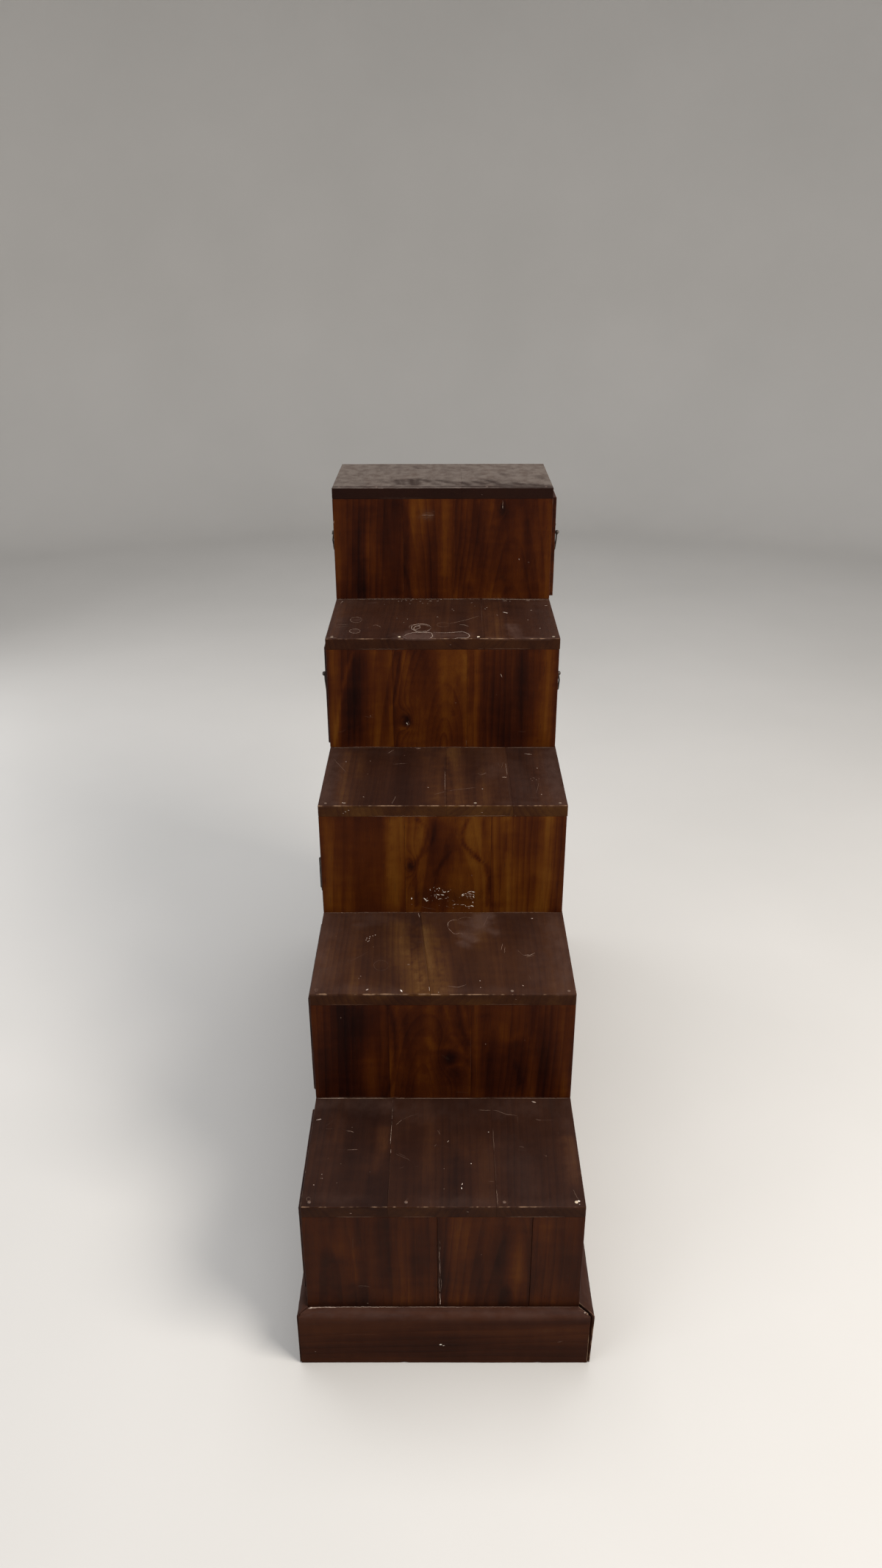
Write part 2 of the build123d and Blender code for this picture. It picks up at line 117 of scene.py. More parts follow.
class Build:
    def __init__(self):
        self.co, self.faces, self.mats, self.n = [], [], [], 0
        self.attr = {a: [] for a in ATTRS}

    def add(self, co, faces, mat=0, **attrs):
        co = np.asarray(co, float).reshape(-1, 3)
        n = len(co)
        for group in faces if isinstance(faces, list) else [faces]:
            g = np.asarray(group, np.int64)
            if g.size == 0:
                continue
            self.faces.append(g + self.n)
            self.mats.append(np.full(len(g), mat, np.int32))
        self.co.append(co)
        for a in ATTRS:
            v = attrs.get(a)
            if v is None:
                v = (9.0, 9.0, 0.0) if a == "knot" else (0.0, 0.0, 0.0)
            self.attr[a].append(np.broadcast_to(np.asarray(v, float), (n, 3)).copy())
        self.n += n
        return self

    def object(self, name, materials):
        me = bpy.data.meshes.new(name)
        co = np.concatenate(self.co) * MM
        me.vertices.add(len(co))
        me.vertices.foreach_set("co", co.astype(np.float32).ravel())
        loops = np.concatenate([g.ravel() for g in self.faces]).astype(np.int32)
        sizes = np.concatenate([np.full(len(g), g.shape[1], np.int32) for g in self.faces])
        me.loops.add(len(loops))
        me.loops.foreach_set("vertex_index", loops)
        me.polygons.add(len(sizes))
        me.polygons.foreach_set("loop_start", np.concatenate([[0], np.cumsum(sizes)[:-1]]).astype(np.int32))
        me.polygons.foreach_set("material_index", np.concatenate(self.mats))
        me.polygons.foreach_set("use_smooth", np.ones(len(sizes), bool))
        for a in ATTRS:
            layer = me.attributes.new(a, "FLOAT_VECTOR", "POINT")
            layer.data.foreach_set("vector", np.concatenate(self.attr[a]).astype(np.float32).ravel())
        me.update(calc_edges=True)
        me.validate()
        for m in materials:
            me.materials.append(m)
        ob = bpy.data.objects.new(name, me)
        bpy.context.scene.collection.objects.link(ob)
        return ob


def finish_piece(build, node, materials, name=None):
    """One finished piece that stands for one CAD node and rides on its body."""
    ob = build.object(name or f"{node}_piece", materials)
    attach(ob, BODY_OF[node])
    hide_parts(node)
    return ob


# ---------------------------------------------------------------------------
# boards
# ---------------------------------------------------------------------------
AX = {"x": 0, "y": 1, "z": 2}
FACES = ("x0", "x1", "y0", "y1", "z0", "z1")
EDGES = [a + b for i, a in enumerate(FACES) for b in FACES[i + 1:] if a[0] != b[0]]


def stations(a, b, pitch, ra, rb):
    """Grid lines from a to b: close together where the ends are rounded, then at pitch."""
    k = (0.0, 0.28, 0.62, 1.0, 1.5, 2.5)
    if (b - a) < 2.7 * (ra + rb):
        k = (0.0, 0.3, 0.65, 1.0)
    if (b - a) < 1.1 * (ra + rb):
        ra = rb = (b - a) * 0.3
    lo, hi = [a + q * ra for q in k], [b - q * rb for q in k][::-1]
    n = max(1, int(round((hi[0] - lo[-1]) / pitch)))
    return np.concatenate([lo, np.linspace(lo[-1], hi[0], n + 1)[1:-1], hi])


def lattice(xs, ys, zs):
    """The six gridded faces of a box as quads, and the surface points they use."""
    nx, ny, nz = len(xs), len(ys), len(zs)
    idx = np.arange(nx * ny * nz).reshape(nx, ny, nz)
    sides = [idx[-1], idx[0].T, idx[:, -1].T, idx[:, 0], idx[:, :, -1], idx[:, :, 0].T]
    quads = np.concatenate([np.stack([s[:-1, :-1], s[1:, :-1], s[1:, 1:], s[:-1, 1:]], -1).reshape(-1, 4)
                            for s in sides])
    used, inverse = np.unique(quads, return_inverse=True)
    quads = inverse.reshape(-1, 4)
    i, rest = np.divmod(used, ny * nz)
    j, k = np.divmod(rest, nz)
    return np.stack([np.asarray(xs)[i], np.asarray(ys)[j], np.asarray(zs)[k]], 1), quads


class Board:
    """One rounded, slightly uneven board.

    box: x0, x1, y0, y1, z0, z1.  grain: axis the fibres run along.  face: the side
    that shows, such as "z1".  edges: {"y0z1": (radius, wear)} for edges that differ
    from r and worn.  pith: where the heart of the log lies, (across, depth) from the
    middle of the face.  lean: how far it wanders per metre of length.
    """

    def __init__(self, box, grain="z", face="y0", pitch=4.0, r=0.6, worn=0.12, edges=None, pith=(120.0, 30.0),
                 lean=(0.02, 0.03), knot=None, tone=0.0, streaks=(), seed=1, wave=0.12, cup=0.0, lift=0.0,
                 skew=None, haze=0.0, haze_at=None, chips=(), shape=None, mottle=0.35, pitch_other=None, post=None,
                 stain_at=None, tone_at=None):
        self.box, self.grain, self.face, self.seed = [float(v) for v in box], grain, face, seed
        self.r, self.worn, self.edges = r, worn, dict(edges or {})
        self.pith, self.lean, self.knot, self.tone, self.streaks = pith, lean, knot, tone, streaks
        self.wave, self.cup, self.lift, self.skew, self.haze, self.haze_at = wave, cup, lift, skew, haze, haze_at
        self.chips, self.shape, self.mottle, self.post = chips, shape, mottle, post
        self.stain_at, self.tone_at = stain_at, tone_at
        self.lo, self.hi = np.array(self.box[0::2]), np.array(self.box[1::2])
        self.g, self.f = AX[grain], AX[face[0]]
        self.sign = 1.0 if face[1] == "1" else -1.0
        self.a = 3 - self.g - self.f
        pitches = [pitch_other or pitch * 2.5] * 3
        pitches[self.g] = pitches[self.a] = pitch
        self.pitch = pitches

    def spec(self, edge):
        return self.edges.get(edge, (self.r, self.worn))

    def edge_distance(self, p, edge):
        d = [p[:, AX[s[0]]] - self.lo[AX[s[0]]] if s[1] == "0" else self.hi[AX[s[0]]] - p[:, AX[s[0]]]
             for s in (edge[:2], edge[2:])]
        return np.hypot(d[0], d[1])

    def axis_radius(self, side):
        return max(self.spec(e)[0] for e in EDGES if side in (e[:2], e[2:]))

    def surface(self, p):
        """Where points of the plain box end up on the worn board."""
        p = np.asarray(p, float)
        num, den = np.zeros(len(p)), np.zeros(len(p))
        for e in EDGES:
            w = 1.0 / (self.edge_distance(p, e) ** 2 + 0.6) ** 1.5
            num += w * self.spec(e)[0]
            den += w
        r = num / den
        r = r * (1 + 0.22 * vnoise(p / 23.0, self.seed + 3) + 0.16 * vnoise(p / 5.5, self.seed + 5))
        for edge, at, size, width in self.chips:
            along = 3 - AX[edge[0]] - AX[edge[2]]
            near = self.edge_distance(p, edge)
            r = r + size * np.exp(-((p[:, along] - at) / width) ** 2) * np.exp(-(near / (size * 2 + 1)) ** 2)
        half = (self.hi - self.lo).min() * 0.49
        r = np.clip(r, 0.05, half)
        c = np.clip(p, self.lo + r[:, None], self.hi - r[:, None])
        d = p - c
        length = np.linalg.norm(d, axis=1)
        q = c + d * (r / np.maximum(length, 1e-9))[:, None]
        n = np.clip(self.sign * d[:, self.f] / np.maximum(length, 1e-9), 0, 1) ** 2
        across = (p[:, self.a] - self.lo[self.a]) / (self.hi[self.a] - self.lo[self.a]) * 2 - 1
        move = self.wave * fbm(p / 95.0, 91, 2) + self.lift + self.cup * (1 - across ** 2)
        if self.shape is not None:
            move = move + self.shape(p)
        q[:, self.f] += self.sign * n * move
        if self.skew is not None:          # tapered board: (left, right) X at y0 and at y1
            (l0, l1), (r0, r1) = self.skew
            t = (q[:, 1] - self.lo[1]) / (self.hi[1] - self.lo[1])
            s = (q[:, 0] - self.lo[0]) / (self.hi[0] - self.lo[0])
            left, right = l0 + (l1 - l0) * t, r0 + (r1 - r0) * t
            q[:, 0] = left + s * (right - left)
        if self.post is not None:
            q = self.post(q)
        return q

    def sides_at(self, y):
        (l0, l1), (r0, r1) = self.skew
        t = (y - self.lo[1]) / (self.hi[1] - self.lo[1])
        return l0 + (l1 - l0) * t, r0 + (r1 - r0) * t

    def true_x(self, x, y):
        """Where a tapered board puts the X of its plain box, and back again."""
        if self.skew is None:
            return x
        left, right = self.sides_at(y)
        return left + (x - self.lo[0]) / (self.hi[0] - self.lo[0]) * (right - left)

    def box_x(self, x, y):
        if self.skew is None:
            return x
        left, right = self.sides_at(y)
        return self.lo[0] + (x - left) / (right - left) * (self.hi[0] - self.lo[0])

    def values(self, p):
        """tree, knot, look and look2 at points of the plain box."""
        p = np.asarray(p, float)
        mid = (self.lo + self.hi) / 2
        A, L = p[:, self.a] - mid[self.a], p[:, self.g] - mid[self.g]
        face_at = self.hi[self.f] if self.sign > 0 else self.lo[self.f]
        N = self.sign * (p[:, self.f] - face_at)
        tree = np.stack([A - self.pith[0] - self.lean[0] * L, self.pith[1] - N + self.lean[1] * L, L], 1) * MM
        tree = tree + np.array([0, 0, (self.seed * 0.737) % 5.0])
        knot = np.full((len(p), 3), 9.0)
        knot[:, 2] = 0.0
        if self.knot:
            ka, kl, sa, sl, amp = self.knot
            knot = np.stack([(A + mid[self.a] - ka) / sa, (L + mid[self.g] - kl) / sl, np.full(len(p), amp * MM)], 1)
        across = p[:, self.a]
        along = p[:, self.g]
        tone = np.full(len(p), self.tone)
        wob = 3.0 * vnoise(np.stack([along / 70.0, along * 0, across * 0], 1), self.seed + 11)
        span = max(self.hi[self.g] - self.lo[self.g], 1.0)
        t = (along - self.lo[self.g]) / span
        for s in self.streaks:
            c0, c1, width, amp = s[:4]
            tone = tone + amp * np.exp(-((across - (c0 + (c1 - c0) * t) - wob) / width) ** 2)
        q = np.stack([across / 17.0, N / 17.0, along / 170.0], 1)
        tone = tone + self.mottle * fbm(q, self.seed + 21, 3) + 0.4 * self.mottle * vnoise(
            np.stack([across / 60.0, N / 60.0, along / 90.0], 1), self.seed + 23)
        worn = np.zeros(len(p))
        for e in EDGES:
            radius, strength = self.spec(e)
            if strength <= 0:
                continue
            reach = 0.9 * radius + 0.7
            worn = np.maximum(worn, strength * np.exp(-(self.edge_distance(p, e) / reach) ** 2))
        breaks = 0.5 + 0.8 * vnoise(p / 14.0, self.seed + 41) + 0.7 * vnoise(p / 4.0, self.seed + 43)
        worn = np.clip(worn * np.clip(breaks + 0.35, 0.15, 1.6), 0, 1)
        haze = np.full(len(p), self.haze)
        if self.haze_at is not None:
            haze = haze + self.haze_at(p)
        if self.tone_at is not None:
            tone = tone + self.tone_at(p)
        stain_and_shade = np.zeros(len(p)) if self.stain_at is None else self.stain_at(p)
        look = np.stack([tone, worn, np.zeros(len(p))], 1)
        look2 = np.stack([haze, stain_and_shade, np.full(len(p), float(self.seed % 97))], 1)
        return {"tree": tree, "knot": knot, "look": look, "look2": look2}

    def add_to(self, build, mat=0, marks=None):
        r = [self.axis_radius(s) for s in FACES]
        grid = [stations(self.lo[k], self.hi[k], self.pitch[k], r[2 * k], r[2 * k + 1]) for k in range(3)]
        for edge, at, size, width in self.chips:     # more lines where an edge is chipped
            k = 3 - AX[edge[0]] - AX[edge[2]]
            extra = at + np.array([-1.6, -0.8, 0.0, 0.8, 1.6]) * width
            extra = extra[(extra > grid[k][6]) & (extra < grid[k][-7])]
            grid[k] = np.unique(np.round(np.concatenate([grid[k], extra]), 3))
        p, quads = lattice(*grid)
        v = self.values(p)
        if marks:
            paint(self, p, v, marks)
        build.add(self.surface(p), quads, mat, **v)
        return self


# ---------------------------------------------------------------------------
# marks on a face: soft ones are painted into the vertex values, sharp ones are
# thin raised slivers of scuffed polish that follow the face
# ---------------------------------------------------------------------------
def line_distance(uv, pts):
    pts = np.asarray(pts, float)
    if len(pts) == 1:
        return np.hypot(uv[:, 0] - pts[0, 0], uv[:, 1] - pts[0, 1])
    best = np.full(len(uv), 1e9)
    for a, b in zip(pts[:-1], pts[1:]):
        d = b - a
        t = np.clip(((uv - a) @ d) / max(d @ d, 1e-9), 0, 1)
        best = np.minimum(best, np.hypot(*(uv - a - t[:, None] * d).T))
    return best


def face_uv(board, p, origin):
    """In-plane coordinates of a face: X, and Y or Z from origin."""
    other = 1 if board.f == 2 else 2
    return np.stack([board.true_x(p[:, 0], p[:, 1]), p[:, other] - origin], 1)


def paint(board, p, v, marks):
    origin, items = marks
    uv = face_uv(board, p, origin)
    top = np.abs(p[:, board.f] - (board.hi[board.f] if board.sign > 0 else board.lo[board.f])) < 3.0
    for kind, w, s, pts in items:
        if kind not in "hdg":
            continue
        d = line_distance(uv, pts)
        edge = 1 + 0.35 * vnoise(np.column_stack([uv / 7.0, np.zeros(len(uv))]), 5) + 0.2 * vnoise(
            np.column_stack([uv / 2.7, np.zeros(len(uv))]), 6)
        k = np.where(top, s * np.exp(-(d / np.maximum(w * edge, 0.4)) ** 2), 0)
        if kind == "h":
            v["look2"][:, 0] = np.maximum(v["look2"][:, 0], k)
        elif kind == "d":
            v["look2"][:, 1] = np.maximum(v["look2"][:, 1], k)
        else:
            v["look"][:, 0] += 0.8 * k


def sliver(board, build, pts, width, strength, origin, height=0.07, mat=0, seed=0, flat=False):
    """A thin closed ribbon along a line on the board's face, tapered at both ends."""
    pts = np.asarray(pts, float)
    g = rng(seed)
    other = 1 if board.f == 2 else 2
    if len(pts) == 1:
        pts = np.array([pts[0] - (width * 0.45, 0.1), pts[0] + (width * 0.45, -0.1)])
        blob = True
    else:
        blob = flat
    seg = np.hypot(*np.diff(pts, axis=0).T)
    total = seg.sum()
    n = max(3 if blob else 4, int(total / 2.5) + 2)
    s = np.concatenate([[0], np.cumsum(seg)])
    at = np.linspace(0, total, n)
    line = np.stack([np.interp(at, s, pts[:, 0]), np.interp(at, s, pts[:, 1])], 1)
    d = np.gradient(line, axis=0)
    d /= np.maximum(np.hypot(d[:, 0], d[:, 1]), 1e-9)[:, None]
    nrm = np.stack([-d[:, 1], d[:, 0]], 1)
    if not blob:
        line = line + nrm * g.normal(0, 0.22, n)[:, None]
    t = np.linspace(0, 1, n)
    taper = np.clip(np.minimum(t, 1 - t) * (5 if not blob else 2.4), 0.12, 1)
    half = width * 0.5 * taper * g.uniform(0.75, 1.25, n)
    if blob:
        half = width * 0.5 * np.sqrt(np.clip(1 - (2 * t - 1) ** 2, 0.05, 1)) * g.uniform(0.8, 1.2, n)
    cross = ((-1.0, -0.25), (-0.55, height), (0.5, height), (1.0, -0.25))
    rows = []
    for side, up in cross:
        uv = line + nrm * (side * half)[:, None]
        p = np.zeros((n, 3))
        p[:, other] = np.clip(uv[:, 1] + origin, board.lo[other] + 0.3, board.hi[other] - 0.3)
        p[:, 0] = np.clip(board.box_x(uv[:, 0], p[:, 1]), board.lo[0] + 0.3, board.hi[0] - 0.3)
        p[:, board.f] = board.hi[board.f] if board.sign > 0 else board.lo[board.f]
        q = board.surface(p)
        q[:, board.f] += board.sign * up
        rows.append((p, q))
    p = np.concatenate([r[0] for r in rows])
    q = np.concatenate([r[1] for r in rows])
    idx = np.arange(4 * n).reshape(4, n)
    quads = []
    for k in range(4):
        a, b = idx[k], idx[(k + 1) % 4]
        quads.append(np.stack([a[:-1], a[1:], b[1:], b[:-1]], 1))
    quads = np.concatenate(quads)
    caps = np.array([[idx[0, 0], idx[1, 0], idx[2, 0], idx[3, 0]], [idx[3, -1], idx[2, -1], idx[1, -1], idx[0, -1]]])
    faces = np.concatenate([quads, caps])
    # keep the winding outward: the middle of the top quad has to face out of the board
    k = len(quads) // 4
    a, b, c = q[faces[k][0]], q[faces[k][1]], q[faces[k][2]]
    if np.cross(b - a, c - a)[board.f] * board.sign < 0:
        faces = faces[:, ::-1]
    v = board.values(p)
    v["look"][:, 1] = 0
    v["look"][:, 2] = np.clip(strength * g.uniform(0.75, 1.1, len(p)), 0, 1)
    build.add(q, faces, mat, **v)


def add_marks(boards, build, marks, seed=0):
    """The sharp marks of a face, each put on the board it lies on."""
    origin, items = marks
    for k, (kind, w, s, pts) in enumerate(items):
        if kind not in "sw":
            continue
        pts = np.asarray(pts, float)
        if kind == "s" and len(pts) > 1:      # dense line, split where it crosses from board to board
            seg = np.hypot(*np.diff(pts, axis=0).T)
            n = max(2, int(seg.sum() / 3.0) + 1)
            cum = np.concatenate([[0], np.cumsum(seg)])
            at = np.linspace(0, seg.sum(), n)
            pts = np.stack([np.interp(at, cum, pts[:, 0]), np.interp(at, cum, pts[:, 1])], 1)
        owner = []
        for q in pts:
            found = 0
            for b, board in enumerate(boards):
                x = board.box_x(q[0], q[1] + origin if board.f == 2 else board.lo[1])
                if board.lo[0] <= x <= board.hi[0]:
                    found = b
            owner.append(found)
        start = 0
        for i in range(1, len(pts) + 1):
            if i == len(pts) or owner[i] != owner[start]:
                run = pts[start:i]
                if kind == "w":
                    sliver(boards[owner[start]], build, run, max(w, 1.0), min(1.0, s * WORN_GAIN), origin,
                           height=0.12, seed=seed + k, flat=True)
                elif len(run) > 1:
                    sliver(boards[owner[start]], build, run, max(w, 0.6), min(1.0, LINE_GAIN * s), origin, seed=seed + k)
                start = i


# ---------------------------------------------------------------------------
# turned and swept shapes, for the ironwork
# ---------------------------------------------------------------------------
def turned(build, origin, axis, profile, segments=28, petals=0, petal_depth=0.0, mat=0, wear=0.0, wear_fn=None,
           seed=0, noise=0.0):
    """profile: (radius, height) pairs from the foot on the axis to the tip on the axis."""
    axis = np.asarray(axis, float)
    axis = axis / np.linalg.norm(axis)
    ref = np.array([0, 0, 1.0]) if abs(axis[2]) < 0.9 else np.array([1.0, 0, 0])
    u = np.cross(ref, axis)
    u /= np.linalg.norm(u)
    w = np.cross(axis, u)
    th = np.linspace(0, 2 * np.pi, segments, endpoint=False)
    rings = [(r, h) for r, h in profile if r > 1e-6]
    co, look = [], []
    for r, h in rings:
        rr = np.full(segments, r)
        if petals:
            rr = rr * (1 + petal_depth * (np.abs(np.cos(petals * th / 2)) ** 0.7 - 0.5) * min(1.0, r / max(q[0] for q in profile)) ** 2)
        pts = origin + axis * h + np.outer(rr * np.cos(th), u) + np.outer(rr * np.sin(th), w)
        co.append(pts)
    co = np.concatenate(co)
    if noise:
        co = co + noise * np.stack([vnoise(co / 2.6, seed + k) for k in range(3)], 1)
    m = len(rings)
    idx = np.arange(m * segments).reshape(m, segments)
    nxt = np.roll(idx, -1, axis=1)
    quads = np.stack([idx[:-1], nxt[:-1], nxt[1:], idx[1:]], -1).reshape(-1, 4)
    foot, tip = m * segments, m * segments + 1
    co = np.concatenate([co, [np.asarray(origin) + axis * profile[0][1], np.asarray(origin) + axis * profile[-1][1]]])
    tris = np.concatenate([np.stack([np.full(segments, foot), nxt[0], idx[0]], 1),
                           np.stack([np.full(segments, tip), idx[-1], nxt[-1]], 1)])
    value = np.full(len(co), wear) if wear_fn is None else wear_fn((co - origin) @ axis)
    look = np.stack([np.zeros(len(co)), value, np.zeros(len(co))], 1)
    build.add(co, [quads, tris], mat, look=look, look2=(0, 0, seed % 97))


def fillet_path(pts, radii, arc_steps=7, run_step=4.0):
    """Points along straight runs joined by arcs, one radius for each inner corner."""
    pts = [np.asarray(p, float) for p in pts]
    out = [pts[0]]

    def run_to(q):
        n = int(np.linalg.norm(q - out[-1]) / run_step)
        a = out[-1]
        for k in range(1, n + 1):
            out.append(a + (q - a) * k / (n + 1))
        out.append(q)

    for k in range(1, len(pts) - 1):
        a, b, c, r = pts[k - 1], pts[k], pts[k + 1], radii[k - 1]
        u, v = (a - b) / np.linalg.norm(a - b), (c - b) / np.linalg.norm(c - b)
        half = math.acos(max(-1, min(1, float(u @ v)))) / 2
        cut = r / math.tan(half)
        p, q = b + u * cut, b + v * cut
        centre = b + (u + v) / np.linalg.norm(u + v) * (r / math.sin(half))
        run_to(p)
        e1 = (p - centre) / r
        e2 = (q - centre) / r
        ang = math.acos(max(-1, min(1, float(e1 @ e2))))
        for s in range(1, arc_steps + 1):
            t = s / arc_steps
            out.append(centre + r * (math.sin((1 - t) * ang) * e1 + math.sin(t * ang) * e2) / math.sin(ang))
    run_to(pts[-1])
    return np.array(out)


def swept(build, path, radius, sides=12, closed=False, mat=0, wear=None, seed=0, flatten=1.0, cap_steps=0, noise=0.0):
    """A round bar along a path; radius is one number or one per point."""
    path = np.asarray(path, float)
    n = len(path)
    radius = np.broadcast_to(np.asarray(radius, float), (n,))
    if closed:
        tan = np.roll(path, -1, 0) - np.roll(path, 1, 0)
    else:
        tan = np.gradient(path, axis=0)
    tan /= np.linalg.norm(tan, axis=1)[:, None]
    ref = np.array([1.0, 0, 0]) if abs(tan[0][0]) < 0.8 else np.array([0, 0, 1.0])
    u = ref - tan[0] * (ref @ tan[0])
    u /= np.linalg.norm(u)
    frames = []
    for k in range(n):
        u = u - tan[k] * (u @ tan[k])
        u /= np.linalg.norm(u)
        frames.append((u.copy(), np.cross(tan[k], u)))
    th = np.linspace(0, 2 * np.pi, sides, endpoint=False)
    co = np.concatenate([path[k] + radius[k] * (np.outer(np.cos(th), f[0]) + flatten * np.outer(np.sin(th), f[1]))
                         for k, f in enumerate(frames)])
    if noise:
        co = co + noise * np.stack([vnoise(co / 3.0, seed + k) for k in range(3)], 1)
    idx = np.arange(n * sides).reshape(n, sides)
    nxt = np.roll(idx, -1, axis=1)
    quads = np.stack([idx[:-1], nxt[:-1], nxt[1:], idx[1:]], -1).reshape(-1, 4)
    faces = [quads]
    if closed:
        faces.append(np.stack([idx[-1], nxt[-1], nxt[0], idx[0]], -1).reshape(-1, 4))
    else:
        first, last = len(co), len(co) + 1
        co = np.concatenate([co, [path[0] - tan[0] * radius[0] * 0.3, path[-1] + tan[-1] * radius[-1] * 0.3]])
        faces.append(np.concatenate([np.stack([np.full(sides, first), nxt[0], idx[0]], 1),
                                     np.stack([np.full(sides, last), idx[-1], nxt[-1]], 1)]))
    look = np.zeros((len(co), 3))
    if wear is not None:
        w = np.repeat(np.broadcast_to(np.asarray(wear, float), (n,)), sides)
        look[: n * sides, 1] = w
    build.add(co, faces, mat, look=look, look2=(0, 0, seed % 97))


def plate(build, box, r=0.4, pitch=3.0, mat=0, seed=0, face="x0", wear=0.5, shape=None):
    b = Board(box, grain="z", face=face, pitch=pitch, r=r, worn=wear, seed=seed, wave=0.05, mottle=0.1, shape=shape,
              pitch_other=pitch)
    b.add_to(build, mat)
    return b
